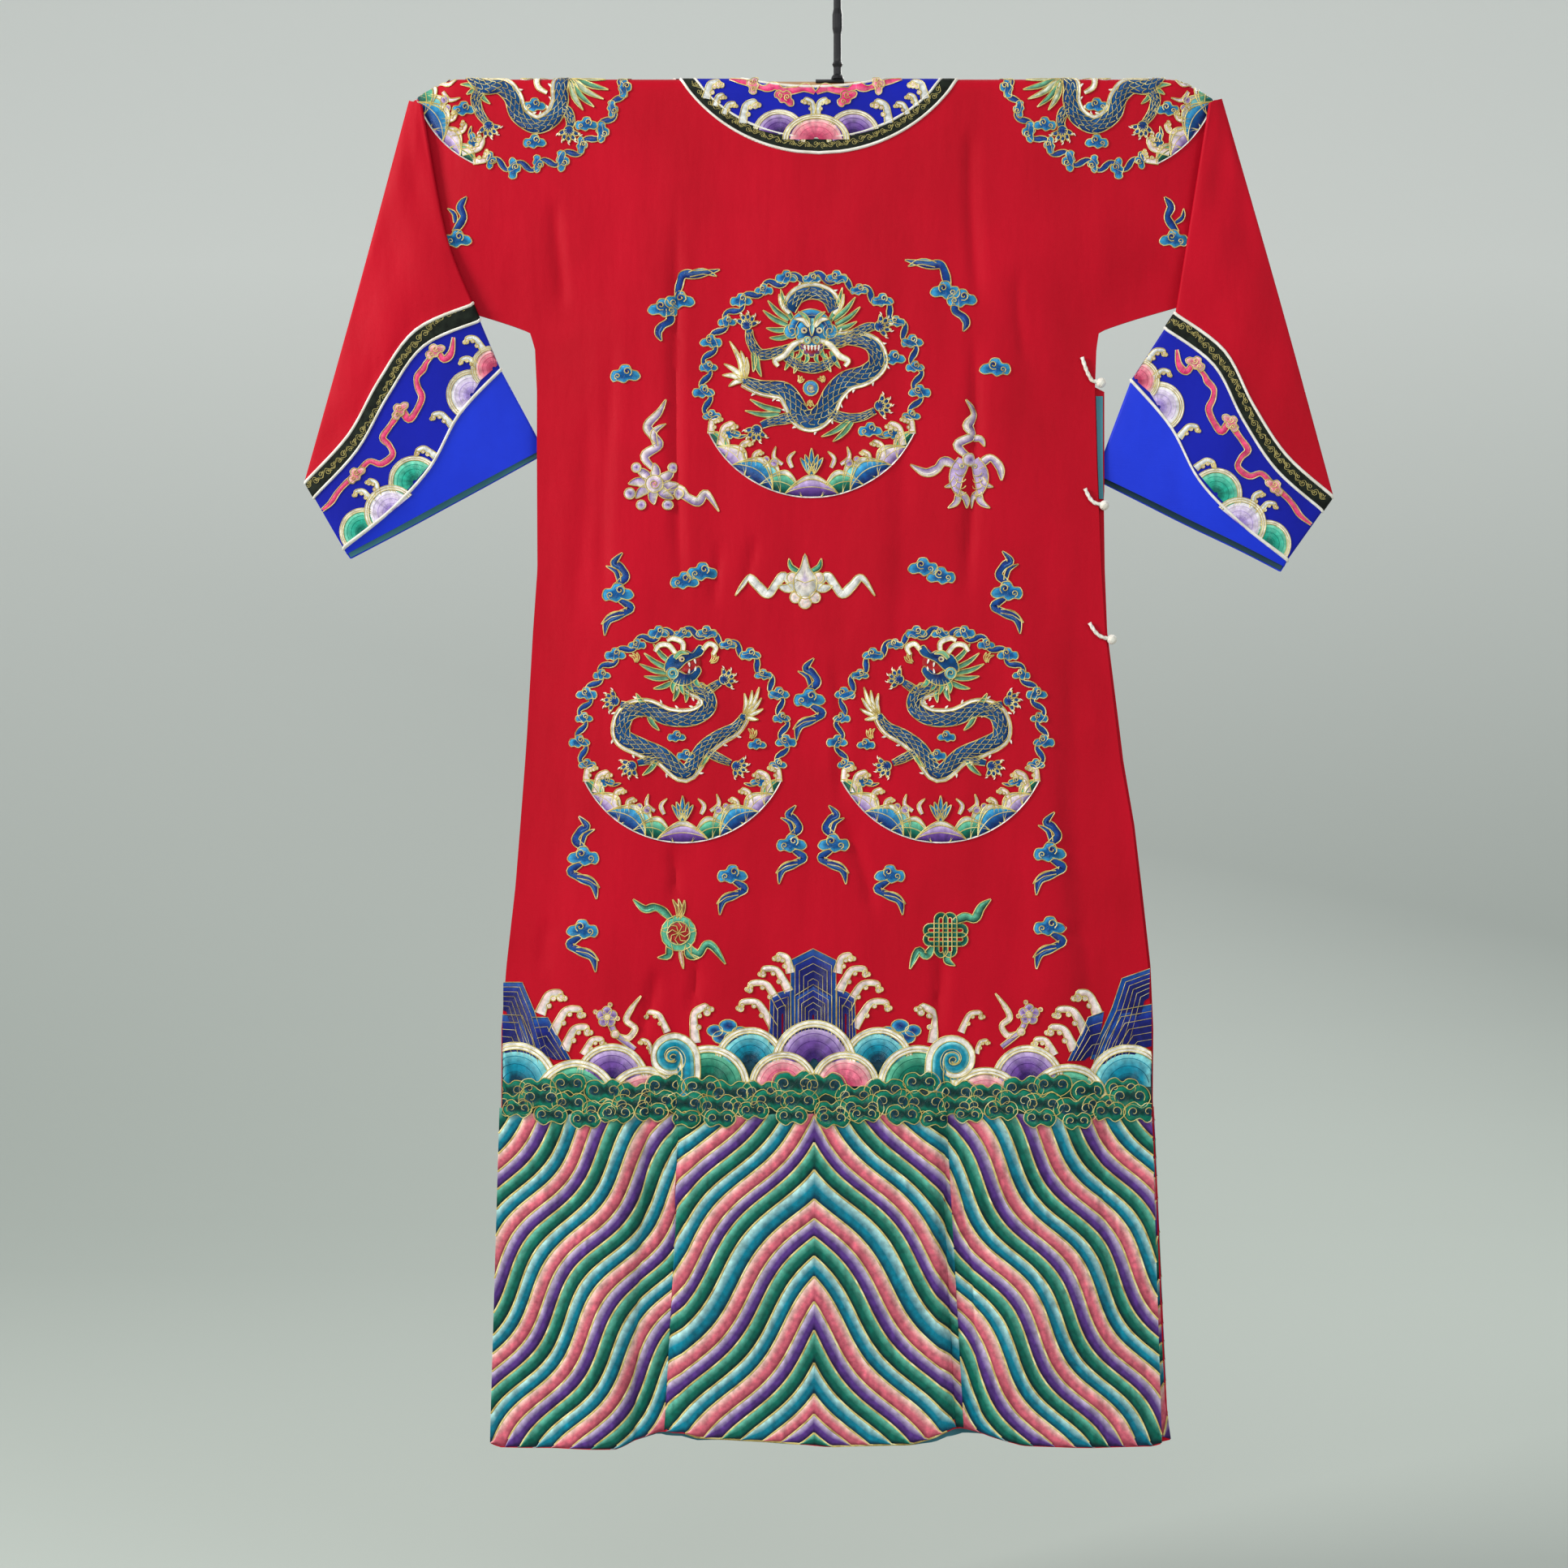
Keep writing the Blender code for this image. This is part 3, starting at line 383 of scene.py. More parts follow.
def relief(side, x, depth):
    """Creases and faint waves: how far the cloth lies inwards there."""
    total = np.zeros(np.broadcast(x, depth).shape)
    for row_side, top_x, top_depth, foot_x, foot_depth, trough, left, right in CREASES:
        share = (depth - top_depth) / (foot_depth - top_depth)
        offset = x - mix(top_x, foot_x, share) - CREASE_SWAY * np.sin(share * 5.0 + top_x)
        shape = np.exp(-np.where(offset < 0, offset / left, offset / right) ** 2 / CREASE_WIDTH)
        length = smooth(share / CREASE_ENDS) * smooth((1 - share) / CREASE_ENDS)
        total = total + np.where(side == row_side, CREASE_GAIN * trough * shape * length, 0.0)
    for count, lean, phase, height in WAVES:
        angle = 2 * math.pi * count * MM * (x + lean * 0.1 * depth) + phase * side
        total = total + height * np.sin(angle) * fade(depth, WAVES_FROM, WAVES_FADE)
    total = total * smooth(edge_distance(x, depth) / EDGE_FADE) * fade(depth, TOP_FROM, TOP_FADE)
    over = (side == FRONT) & (depth < FLAP_HEM_DEPTH + 40) & (x > FLAP_LEFT - 90)
    return np.where(over, np.clip(total, *OVER_FLAP), total)


def half_space(side, x, depth):
    """Half the space inside the robe at a place, less what its folds press in."""
    radius = fold_radius(x)
    below = depth - droop(x) - CLOTH - radius
    edge = np.where(x > 0, read(SIDE_SPACE, depth, 2), read(SIDE_SPACE, depth, 1))
    puffed = mix(edge, read(PUFF, depth, 1), smooth(edge_distance(x, depth) / PUFF_RUN))
    room = np.maximum(0.0, puffed - edge - FOLD_FLOOR)
    puffed = puffed - np.minimum(fold_depth(side, x, depth) + relief(side, x, depth), room)
    return mix(radius, puffed, smooth(below / BELOW_BAR_FADE))


def over_flap(x, depth):
    """How far the overlap is lifted by the flap under it."""
    return FLAP_LIFT * fade(x, FLAP_FROM_X, FLAP_FADE) * fade(depth, FLAP_FROM_DEPTH, TOP_FADE)


def cloth_point(x, s, upper):
    """Points on the cloth's inner face. upper says where the overlap lies on the flap."""
    x = np.asarray(x, float)
    s = np.asarray(s, float)
    side = np.where(s >= 0, BACK, FRONT)
    run = np.abs(s)
    radius = fold_radius(x)
    depth = depth_of_run(x, run)
    turn = np.minimum(run / radius, math.pi / 2)
    y = np.where(run < radius * math.pi / 2, radius * np.sin(turn), half_space(side, x, depth))
    y = y + np.where(upper & (s < 0), over_flap(x, depth), 0.0)
    return np.stack([x, -side * y, SHOULDER_Z - depth], axis=-1)


def lifted(x, s, lift, upper):
    """Points at a height above the cloth's inner face."""
    step = 0.5
    along = cloth_point(x, s + step, upper) - cloth_point(x, s - step, upper)
    across = cloth_point(x + step, s, upper) - cloth_point(x - step, s, upper)
    normal = np.cross(along, across)
    normal /= np.linalg.norm(normal, axis=-1, keepdims=True)
    return cloth_point(x, s, upper) + normal * np.asarray(lift, float)[..., None]


# Meshes


def refine(values, step):
    """The same values with more between them, no further apart than a step."""
    out = [values[0]]
    for low, high in zip(values, values[1:]):
        parts = max(1, math.ceil(abs(high - low) / step))
        out += [mix(low, high, part / parts) for part in range(1, parts + 1)]
    return out


def make_object(name, points, faces, materials, slots=None, sharp=40.0):
    """A smooth-shaded mesh object from points in millimetres. slots gives each face's material."""
    mesh = bpy.data.meshes.new(name)
    mesh.from_pydata((np.asarray(points, float) * MM).tolist(), [], faces)
    for material in materials:
        mesh.materials.append(material)
    if slots is not None:
        mesh.polygons.foreach_set("material_index", slots)
    mesh.shade_smooth()
    mesh.set_sharp_from_angle(angle=math.radians(sharp))
    obj = bpy.data.objects.new(name, mesh)
    bpy.context.scene.collection.objects.link(obj)
    return obj


def wall(name, outer, inner, cells, materials, faced=()):
    """A closed wall between an outer and an inner face, which may have materials of their own. The cells in
    faced have the outer one on both faces."""
    count = len(outer)
    faces = []
    slots = []
    borders = {}
    for number_of_cell, cell in enumerate(cells):
        faces.append(cell)
        slots.append(0)
        faces.append([number + count for number in cell[::-1]])
        slots.append(0 if number_of_cell in faced else len(materials) - 1)
        for a, b in zip(cell, cell[1:] + cell[:1]):
            if (b, a) in borders:
                del borders[(b, a)]
            else:
                borders[(a, b)] = True
    for a, b in borders:
        faces.append([b, a, a + count, b + count])
        slots.append(0)
    return make_object(name, np.concatenate([outer, inner]), faces, materials, slots)


def grid_cells(columns, rows, flip=False):
    cells = []
    for column in range(columns - 1):
        for row in range(rows - 1):
            a = column * rows + row
            cell = [a, a + 1, a + rows + 1, a + rows]
            cells.append(cell[::-1] if flip else cell)
    return cells


# Panels: a body block with the sleeve roots at its upper corners, in finer steps than the solids

FLAT_RUN = 18.0
UPPER_RUNS = refine((0.0, 4.5, 9.0, 13.5, FLAT_RUN), 1.6) + refine((FLAT_RUN, 45.0, 264.0), 8.0)[1:]
BODY_SHARES = refine((0.0, 1.0), 0.0075)[1:]
FLAP_SHARES = refine((0.0, 1.0), 0.03)[1:]
ROOT_CELLS = 22
COLUMN_STEP = 4.6
HEM_DEPTH = 1390.0

BACK_COLUMNS = refine((-290, -54.4, 0, 54.4, 291), COLUMN_STEP)
OVERLAP_COLUMNS = refine((-288.5, -62.5, 0, 20, 62.5, 297), COLUMN_STEP)
FLAP_COLUMNS = refine((-15, 0, 62.5, 291), COLUMN_STEP)


def neck_run(x, full_run):
    inside = 1 - (x / NECK_HALF) ** 2
    return full_run * math.sqrt(inside) if inside > 0 else 0.0


def neck_x(run, full_run):
    return NECK_HALF * math.sqrt(max(0.0, 1 - (run / full_run) ** 2))


def overlap_run(x):
    """The overlap's edge, from the neck's lowest point down to the right side."""
    start = neck_run(OVERLAP_START, NECK_FRONT_RUN)
    end = run_of_depth(0.0, OVERLAP_SIDE_DEPTH)
    share = (x - OVERLAP_START) / (read(SIDES, OVERLAP_SIDE_DEPTH, OVERLAP_RIGHT) - OVERLAP_START)
    return mix(start, end, 0.55 * share + 0.45 * smooth(share))


def overlap_top(x):
    if x > OVERLAP_START:
        return overlap_run(x)
    return max(0.0, neck_run(x, NECK_FRONT_RUN))


def edge_columns(kind, depth):
    left = read(SIDES, depth, LEFT)
    right = read(SIDES, depth, RIGHT)
    if kind == "overlap":
        return left + 1.5, read(SIDES, depth, OVERLAP_RIGHT)
    if kind == "flap":
        return FLAP_LEFT, right
    return left, right


def overlap_line(x):
    return mix(ARMPIT_DEPTH, 420.0, smooth((x + 120.0) / 410.0))


# Each panel's lines as functions of x, also those that are level


def armpit_line(x):
    return ARMPIT_DEPTH


def back_hem(x):
    return read(HEM, x, BACK_HEM)


def front_hem(x):
    return read(HEM, x, FRONT_HEM)


def flap_hem(x):
    return FLAP_HEM_DEPTH


Panel = namedtuple("Panel", "columns neck_level full_run middle hem shares roots")
PANELS = {
    "back": Panel(BACK_COLUMNS, 9.0, NECK_BACK_RUN, armpit_line, back_hem, BODY_SHARES, (-1, 1)),
    "overlap": Panel(OVERLAP_COLUMNS, 45.0, NECK_FRONT_RUN, overlap_line, front_hem, BODY_SHARES, (-1,)),
    "flap": Panel(FLAP_COLUMNS, 45.0, NECK_FRONT_RUN, armpit_line, flap_hem, FLAP_SHARES, (1,)),
}


def body_column(kind, chest_x):
    """The places down one column of a panel, as (row, x, run)."""
    columns, neck_level, full_run, middle, hem, shares, _ = PANELS[kind]
    share = (chest_x - columns[0]) / (columns[-1] - columns[0])
    neck_half = neck_x(neck_level, full_run)
    under_neck = abs(chest_x) < neck_half - 0.5 or (kind == "overlap" and chest_x > 0)
    middle_run = float(run_of_depth(0.0, middle(chest_x)))
    start = neck_level
    if under_neck:
        start = max(neck_run(chest_x, full_run), neck_level)
        if kind == "overlap":
            start = overlap_top(chest_x)
    left, right = edge_columns(kind, 0.0)
    places = []
    for row, level in enumerate(UPPER_RUNS):
        if level < neck_level - 1e-6:
            if not under_neck:
                edge = columns[0] if chest_x < 0 else columns[-1]
                part = (chest_x - edge) / (math.copysign(neck_half, edge) - edge)
                x = mix(edge, math.copysign(neck_x(level, full_run), edge), part)
                places.append((row, x, level))
            continue
        down = (level - neck_level) / (UPPER_RUNS[-1] - neck_level)
        places.append((row, mix(left, right, share), mix(start, middle_run, down)))
    hem_run = float(run_of_depth(0.0, hem(mix(*edge_columns(kind, HEM_DEPTH), share))))
    for step, part in enumerate(shares, start=len(UPPER_RUNS)):
        run = mix(middle_run, hem_run, part)
        left, right = edge_columns(kind, depth_of_run(0.0, run))
        places.append((step, mix(left, right, share), run))
    return places


def root_places(sign):
    """A sleeve root's places beyond the body, keyed by (sign, step, row)."""
    places = {}
    for step in range(1, ROOT_CELLS + 1):
        part = step / ROOT_CELLS
        top_x = sign * mix(BODY_HALF, SHOULDER_TIP, part)
        end_x = sign * mix(BODY_HALF, ROOT_END, part)
        turn = fold_radius(top_x) * math.pi / 2
        top_depth = depth_of_run(top_x, turn)
        for row, level in enumerate(UPPER_RUNS):
            if level <= FLAT_RUN:
                places[(sign, step, row)] = (top_x, turn * level / FLAT_RUN)
                continue
            down = (level - FLAT_RUN) / (UPPER_RUNS[-1] - FLAT_RUN)
            x = mix(top_x, end_x, down)
            depth = mix(top_depth, underarm_depth(end_x), down)
            places[(sign, step, row)] = (x, float(run_of_depth(x, depth)))
    return places


def panel_net(kind):
    """A panel's places, as arrays of x and run, and its cells."""
    columns, roots = PANELS[kind].columns, PANELS[kind].roots
    places = {}
    for column, chest_x in enumerate(columns):
        for row, x, run in body_column(kind, chest_x):
            places[(0, column, row)] = (x, run)
    for sign in roots:
        places.update(root_places(sign))
    rows = len(UPPER_RUNS) + len(PANELS[kind].shares)
    cells = []
    for column in range(len(columns) - 1):
        for row in range(rows - 1):
            cell = [(0, column, row), (0, column, row + 1), (0, column + 1, row + 1), (0, column + 1, row)]
            if all(key in places for key in cell):
                cells.append(cell)
    for sign in roots:
        beside = 0 if sign < 0 else len(columns) - 1
        for step in range(ROOT_CELLS):
            for row in range(len(UPPER_RUNS) - 1):
                near = [(sign, step, row), (sign, step, row + 1)]
                if step == 0:
                    near = [(0, beside, row), (0, beside, row + 1)]
                cell = [near[0], near[1], (sign, step + 1, row + 1), (sign, step + 1, row)]
                cells.append(cell if sign > 0 else cell[::-1])
    index = {key: number for number, key in enumerate(places)}
    net = np.array(list(places.values()), float)
    return net[:, 0], net[:, 1], [[index[key] for key in cell] for cell in cells]


def make_panel(kind, name, side, materials):
    x, run, cells = panel_net(kind)
    upper = kind == "overlap"
    inner = lifted(x, side * run, np.zeros(len(x)), upper)
    outer = lifted(x, side * run, np.full(len(x), CLOTH), upper)
    if side == FRONT:
        cells = [cell[::-1] for cell in cells]
    faced = set()
    for number, cell in enumerate(cells):
        left, right = edge_columns(kind, float(depth_of_run(0.0, run[cell[0]])))
        if run[cell[0]] > ARMPIT_DEPTH and min(x[cell[0]] - left, right - x[cell[0]]) < FACING:
            faced.add(number)
    return wall(name, outer, inner, cells, materials, faced)


# Trims: bands with a rounded or flat top, sewn on the cloth along pairs of places

CORD_HEIGHT = 1.5
TRIM_LIFT = 0.05


def band_profile(thick):
    """Across a band, as (share across, height): a round cord, or a flat ribbon with soft edges if thin."""
    if thick > CORD_HEIGHT:
        angles = [math.pi * (1 - step / 8) for step in range(9)]
        return [(0.5 + 0.5 * math.cos(angle), thick * math.sin(angle)) for angle in angles]
    middle = [(share / 8, thick) for share in range(1, 8)]
    near_side = [(0.0, 0.0), (0.0, thick * 0.7), (0.03, thick)]
    far_side = [(0.97, thick), (1.0, thick * 0.7), (1.0, 0.0)]
    return near_side + middle + far_side


def both_lines(pairs):
    """Pairs of places as two arrays, a line each."""
    pairs = np.array(pairs)
    return pairs[:, 0], pairs[:, 1]


def make_band(name, pairs, side, low, high, thick, material, upper):
    """A band between two distances from the first line of the pairs."""
    profile = band_profile(thick)
    inner, outer = both_lines(pairs)
    points = []
    for share, height in profile:
        part = mix(low, high, share) / YOKE_WIDTH
        place = mix(inner, outer, part)
        lift = np.full(len(place), CLOTH + TRIM_LIFT + height)
        points.append(lifted(place[:, 0], side * place[:, 1], lift, upper))
    points = np.stack(points, axis=1).reshape(-1, 3)
    count = len(profile)
    faces = grid_cells(len(pairs), count, flip=side == FRONT)
    faces = [face[::-1] for face in faces]
    for column in range(len(pairs) - 1):
        a = column * count
        ends = [a, a + count - 1, a + 2 * count - 1, a + count]
        faces.append(ends if side == FRONT else ends[::-1])
    last = (len(pairs) - 1) * count
    caps = [list(range(count)), [last + step for step in range(count)][::-1]]
    faces += caps if side == FRONT else [cap[::-1] for cap in caps]
    obj = make_object(name, points, faces, [material])
    turn_outwards(obj)
    return obj


def turn_outwards(obj):
    work = bmesh.new()
    work.from_mesh(obj.data)
    bmesh.ops.recalc_face_normals(work, faces=work.faces[:])
    work.to_mesh(obj.data)
    work.free()


BACK_YOKE_FULL = 86.0


def back_yoke_lines():
    """The neck's edge and the yoke's outer arc on the back, as pairs of places."""
    lowest = float(run_of_depth(0.0, YOKE_RADIUS - YOKE_CENTRE_RISE))
    runs = refine((0.0, FLAT_RUN), 2.0) + refine((FLAT_RUN, 60.0), 3.0)[1:]
    runs += refine((60.0, BACK_YOKE_FULL), 1.5)[1:]
    pairs = []
    for sign, run in [(-1, run) for run in runs] + [(1, run) for run in runs[-2::-1]]:
        level = run / BACK_YOKE_FULL
        inner = (sign * NECK_HALF * math.sqrt(1 - level * level), NECK_BACK_RUN * level)
        outer_run = lowest * level
        rise = (YOKE_CENTRE_RISE + float(depth_of_run(0.0, outer_run))) / YOKE_RADIUS
        outer_x = YOKE_CENTRE_X + sign * YOKE_RADIUS * math.sqrt(max(0.0, 1 - rise * rise))
        pairs.append((inner, (outer_x, outer_run)))
    return pairs


OVERLAP_TILT = 35.0
OVERLAP_LAST = 295.4
YOKE_STEP = 2.5
TILT_START = 5.0
FLAP_YOKE_RUN = 80.0
FLAP_YOKE_X = 92.0


def front_yoke_lines():
    """Round the neck's left half and along the overlap's edge to the right side."""
    pairs = []
    for run in refine((0.0, FLAT_RUN, BACK_YOKE_FULL), YOKE_STEP):
        x = -NECK_HALF * math.sqrt(max(0.0, 1 - (run / NECK_FRONT_RUN) ** 2))
        direction = Vector((x / NECK_HALF ** 2, run / NECK_FRONT_RUN ** 2)).normalized()
        outer = Vector((x, run)) + direction * YOKE_WIDTH
        pairs.append(((x, run), tuple(outer)))
    for x in refine((0.0, OVERLAP_LAST), 4.0):
        run = overlap_top(x)
        share = max(0.0, (x - TILT_START) / (OVERLAP_LAST - TILT_START))
        tilt = math.radians(OVERLAP_TILT) * math.sin(math.pi * share)
        outer = (x - YOKE_WIDTH * math.sin(tilt), run + YOKE_WIDTH * math.cos(tilt))
        pairs.append(((x, run), outer))
    return pairs


def flap_yoke_lines():
    """Round the neck's right half, down to the overlap's edge."""
    pairs = []
    for run in refine((0.0, FLAT_RUN, FLAP_YOKE_RUN), YOKE_STEP):
        x = NECK_HALF * math.sqrt(1 - (run / NECK_FRONT_RUN) ** 2)
        share = run / FLAP_YOKE_RUN
        outer_x = mix(NECK_HALF + YOKE_WIDTH, FLAP_YOKE_X, share ** 1.6)
        outer_run = mix(0.0, overlap_run(FLAP_YOKE_X) - 3.0, share)
        pairs.append(((x, run), (outer_x, outer_run)))
    return pairs


YOKES = (
    # label, lines, side, on the flap
    ("back", back_yoke_lines, BACK, False),
    ("front", front_yoke_lines, FRONT, True),
    ("flap", flap_yoke_lines, FRONT, False),
)


# Sleeves and cuffs: flat tubes through lines across them

SLEEVE_PARTS = 24
CUFF_PARTS = 32


def through(points, share):
    """A smooth curve through evenly spaced points, read at a share of its length."""
    points = np.asarray(points, float)
    last = len(points) - 1
    place = min(max(share, 0.0), 1.0) * last
    index = min(int(place), last - 1)
    beside = (points[min(max(index + shift, 0), last)] for shift in (-1, 0, 1, 2))
    return curved(*beside, place - index)


def ring_shape(parts):
    """Round a flat tube: place across, cap direction across, cap direction in depth."""
    level = [-1 + 2 * step / parts for step in range(parts + 1)]
    bends = [math.radians(angle) for angle in (-67, -45, -22, 0, 22, 45, 67)]
    shape = [(a, 0.0, -1.0) for a in level]
    shape += [(1.0, math.cos(bend), math.sin(bend)) for bend in bends]
    shape += [(a, 0.0, 1.0) for a in reversed(level)]
    shape += [(-1.0, -math.cos(bend), -math.sin(bend)) for bend in bends]
    return shape


def sleeve_relief(hand, flat, share):
    """Soft creases of a sleeve, which run down from its fold at the shoulder."""
    sway = 0.9 * math.sin(flat[1] * 0.031 + share * 5.0 + (0.8 if hand == "left" else 2.1))
    sway += 0.6 * math.sin(flat[1] * 0.055 - share * 9.0 + 1.3)
    return sway * (1 - (2 * share - 1) ** 4)


def tube_point(hand, line_a, line_b, along, place, inset, width_shift=0.0):
    """A point round a tube between two of its lines. along is a share, plus a length in millimetres."""
    across, cap_x, cap_y = place
    lines = SLEEVE_LINES[hand]
    share = (across + 1) / 2
    if (line_a, line_b) == ("top", "band"):
        keys = ("top", "crease", "band")
        flat = through([through(lines[key], share) for key in keys], along)
        reach = through([lines[key][-1] for key in keys], along)
        reach = reach - through([lines[key][0] for key in keys], along)
        outer_y, inner_y, half = through([SLEEVE_DEPTHS[key] for key in keys], along)
    else:
        start = through(lines[line_a], share)
        end = through(lines[line_b], share)
        part = along + width_shift / max(np.linalg.norm(end - start), 6.0)
        flat = mix(start, end, part)
        reach = mix(np.array(lines[line_a][-1], float), np.array(lines[line_b][-1], float), part)
        reach = reach - mix(np.array(lines[line_a][0], float), np.array(lines[line_b][0], float), part)
        depths = zip(SLEEVE_DEPTHS[line_a], SLEEVE_DEPTHS[line_b])
        outer_y, inner_y, half = (mix(p, q, part) for p, q in depths)
    direction = reach / np.linalg.norm(reach)
    y = mix(outer_y, inner_y, share)
    if line_a == "top":
        y += sleeve_relief(hand, flat, share) * smooth(along / 0.3) * smooth((1 - along) / 0.15)
    flat = flat + direction * (cap_x * (SLEEVE_FOLD - inset) - across * SLEEVE_FOLD)
    y += cap_y * (SLEEVE_FOLD - inset)
    if cap_x == 0.0:
        y += cap_y * (half - SLEEVE_FOLD) * (1 - across * across)
    return (flat[0], y, SHOULDER_Z - flat[1])


def tube_rings(hand, line_a, line_b, stations, inset, parts, far_shift=0.0):
    rings = []
    for along, shift in stations:
        ring = []
        for place in ring_shape(parts):
            extra = far_shift * along if place[2] > 0.5 else 0.0
            ring.append(tube_point(hand, line_a, line_b, along, place, inset, shift + extra))
        rings.append(ring)
    return rings


def make_tube(name, rings_out, rings_in, materials, closed_top=False):
    """A tube wall between outer and inner rings, which runs from its first ring down."""
    count = len(rings_out[0])
    rows = len(rings_out)
    cells = []
    for row in range(rows - 1):
        for step in range(count):
            a = row * count + step
            b = row * count + (step + 1) % count
            cells.append([a, a + count, b + count, b])
    outer, inner = (np.array(rings).reshape(-1, 3) for rings in (rings_out, rings_in))
    obj = wall(name, outer, inner, cells, materials)
    if closed_top:
        work = bmesh.new()
        work.from_mesh(obj.data)
        bmesh.ops.holes_fill(work, edges=[edge for edge in work.edges if edge.is_boundary])
        work.to_mesh(obj.data)
        work.free()
    turn_outwards(obj)
    return obj


def ring_band(name, hand, row):
    """A trim round a cuff, with a rounded or flat top."""
    line_a, line_b, low, high, thick, material = row
    rings = []
    for share, height in band_profile(thick):
        shift = mix(low, high, share)
        rings += tube_rings(hand, line_a, line_b, [(0.0, shift)], -TRIM_LIFT - height, SLEEVE_PARTS)
    count = len(rings[0])
    faces = []
    for row_number in range(len(rings)):
        for step in range(count):
            a = row_number * count + step
            b = row_number * count + (step + 1) % count
            below = (row_number + 1) % len(rings) * count - row_number * count
            faces.append([a, a + below, b + below, b])
    obj = make_object(name, np.array(rings).reshape(-1, 3), faces, [material])
    turn_outwards(obj)
    return obj


# Materials

WAVE_SCALE = 0.314
THREAD = 0.0005
RIBBON_THREAD = 0.0007
CORD_THREAD = 0.0011


def nodes_of(name):
    material = bpy.data.materials.new(name)
    material.use_nodes = True
    tree = material.node_tree
    return material, tree, tree.nodes["Principled BSDF"]


def add_node(tree, kind, **values):
    node = tree.nodes.new(kind)
    for key, value in values.items():
        if hasattr(node, key):
            setattr(node, key, value)
        else:
            node.inputs[key.replace("_", " ")].default_value = value
    return node


def set_sockets(shader, **values):
    for key, value in values.items():
        shader.inputs[key.replace("_", " ")].default_value = value


def scaled_place(tree, scale=(1.0, 1.0, 1.0)):
    """Object coordinates, stretched."""
    place = add_node(tree, "ShaderNodeTexCoord")
    mapping = add_node(tree, "ShaderNodeMapping", Scale=scale)
    tree.links.new(place.outputs["Object"], mapping.inputs["Vector"])
    return mapping.outputs["Vector"]


def noise(tree, vector, scale, detail=3.0, roughness=0.55):
    node = add_node(tree, "ShaderNodeTexNoise", Scale=scale, Detail=detail, Roughness=roughness)
    tree.links.new(vector, node.inputs["Vector"])
    return node.outputs["Fac"]


def thread_wave(tree, place, period, direction="X", distortion=0.0):
    """Even ribs of a thread's width."""
    node = add_node(tree, "ShaderNodeTexWave", wave_type="BANDS", bands_direction=direction,
                    Scale=WAVE_SCALE / period, Distortion=distortion)
    tree.links.new(place, node.inputs["Vector"])
    return node.outputs["Fac"]


def ramp(tree, factor, stops):
    node = add_node(tree, "ShaderNodeValToRGB")
    elements = node.color_ramp.elements
    while len(elements) < len(stops):
        elements.new(0.5)
    for element, (place, colour) in zip(elements, stops):
        element.position = place
        element.color = (*colour, 1.0)
    tree.links.new(factor, node.inputs["Fac"])
    return node.outputs["Color"]


def bump(tree, height, strength, distance, below=None):
    node = add_node(tree, "ShaderNodeBump", Strength=strength, Distance=distance)
    tree.links.new(height, node.inputs["Height"])
    if below is not None:
        tree.links.new(below, node.inputs["Normal"])
    return node.outputs["Normal"]


def weave(tree, period):
    """Height of a plain weave of fine threads, as two crossed waves."""
    place = scaled_place(tree)
    join = add_node(tree, "ShaderNodeMath", operation="MULTIPLY")
    for number, axis in enumerate(("X", "Z")):
        tree.links.new(thread_wave(tree, place, period, axis, 0.6), join.inputs[number])
    return join.outputs["Value"]


def finish_shader(tree, shader, colour, normal, **values):
    """Links a shader's colour and bump, and sets its other sockets."""
    tree.links.new(colour, shader.inputs["Base Color"])
    tree.links.new(normal, shader.inputs["Normal"])
    set_sockets(shader, **values)


def cloth_material(name, light, dark, roughness, sheen, gleam=0.3, rumple=0.5):
    """Woven silk: fine threads, slubs along the weft, soft rumples and an uneven dye."""
    material, tree, shader = nodes_of(name)
    dye = noise(tree, scaled_place(tree, (1.0, 1.0, 0.6)), 9.0, 5.0, 0.6)
    colour = ramp(tree, dye, ((0.3, dark), (0.7, light)))
    slub = noise(tree, scaled_place(tree, (14.0, 14.0, 260.0)), 7.0, 2.0)
    rumpled = noise(tree, scaled_place(tree, (3.6, 3.6, 1.0)), 4.0, 4.0, 0.5)
    normal = bump(tree, rumpled, rumple, 0.006)
    normal = bump(tree, slub, 0.25, 0.0004, normal)
    normal = bump(tree, weave(tree, THREAD), 0.3, 0.0002, normal)
    gloss = noise(tree, scaled_place(tree), 60.0, 3.0)
    rough = add_node(tree, "ShaderNodeMapRange", To_Min=roughness - 0.06, To_Max=roughness + 0.06)
    tree.links.new(gloss, rough.inputs["Value"])
    tree.links.new(rough.outputs["Result"], shader.inputs["Roughness"])
    finish_shader(tree, shader, colour, normal, Sheen_Weight=sheen, Sheen_Roughness=0.4,
           Sheen_Tint=(*light, 1.0), Specular_IOR_Level=gleam)
    return material


CORD_WHITE = (0.84, 0.82, 0.76)
CORD_SHADE = (0.66, 0.62, 0.53)
RIBBON_BLACK = (0.004, 0.006, 0.004)
RIBBON_LIGHT = (0.014, 0.02, 0.013)
WOOD_DARK = (0.2, 0.09, 0.03)
WOOD = (0.46, 0.26, 0.11)
WOOD_LIGHT = (0.56, 0.34, 0.16)
METAL_BLACK = (0.012, 0.012, 0.014)
METAL_WORN = (0.05, 0.048, 0.045)


def cord_material():
    """White cotton piping, wrapped with fine slanting threads."""
    material, tree, shader = nodes_of("white cord")
    place = scaled_place(tree)
    colour = ramp(tree, noise(tree, place, 70.0), ((0.35, CORD_SHADE), (0.65, CORD_WHITE)))
    normal = bump(tree, thread_wave(tree, place, CORD_THREAD, "DIAGONAL", 1.5), 0.6, 0.0004)
    finish_shader(tree, shader, colour, normal, Roughness=0.62, Sheen_Weight=0.2)
    return material


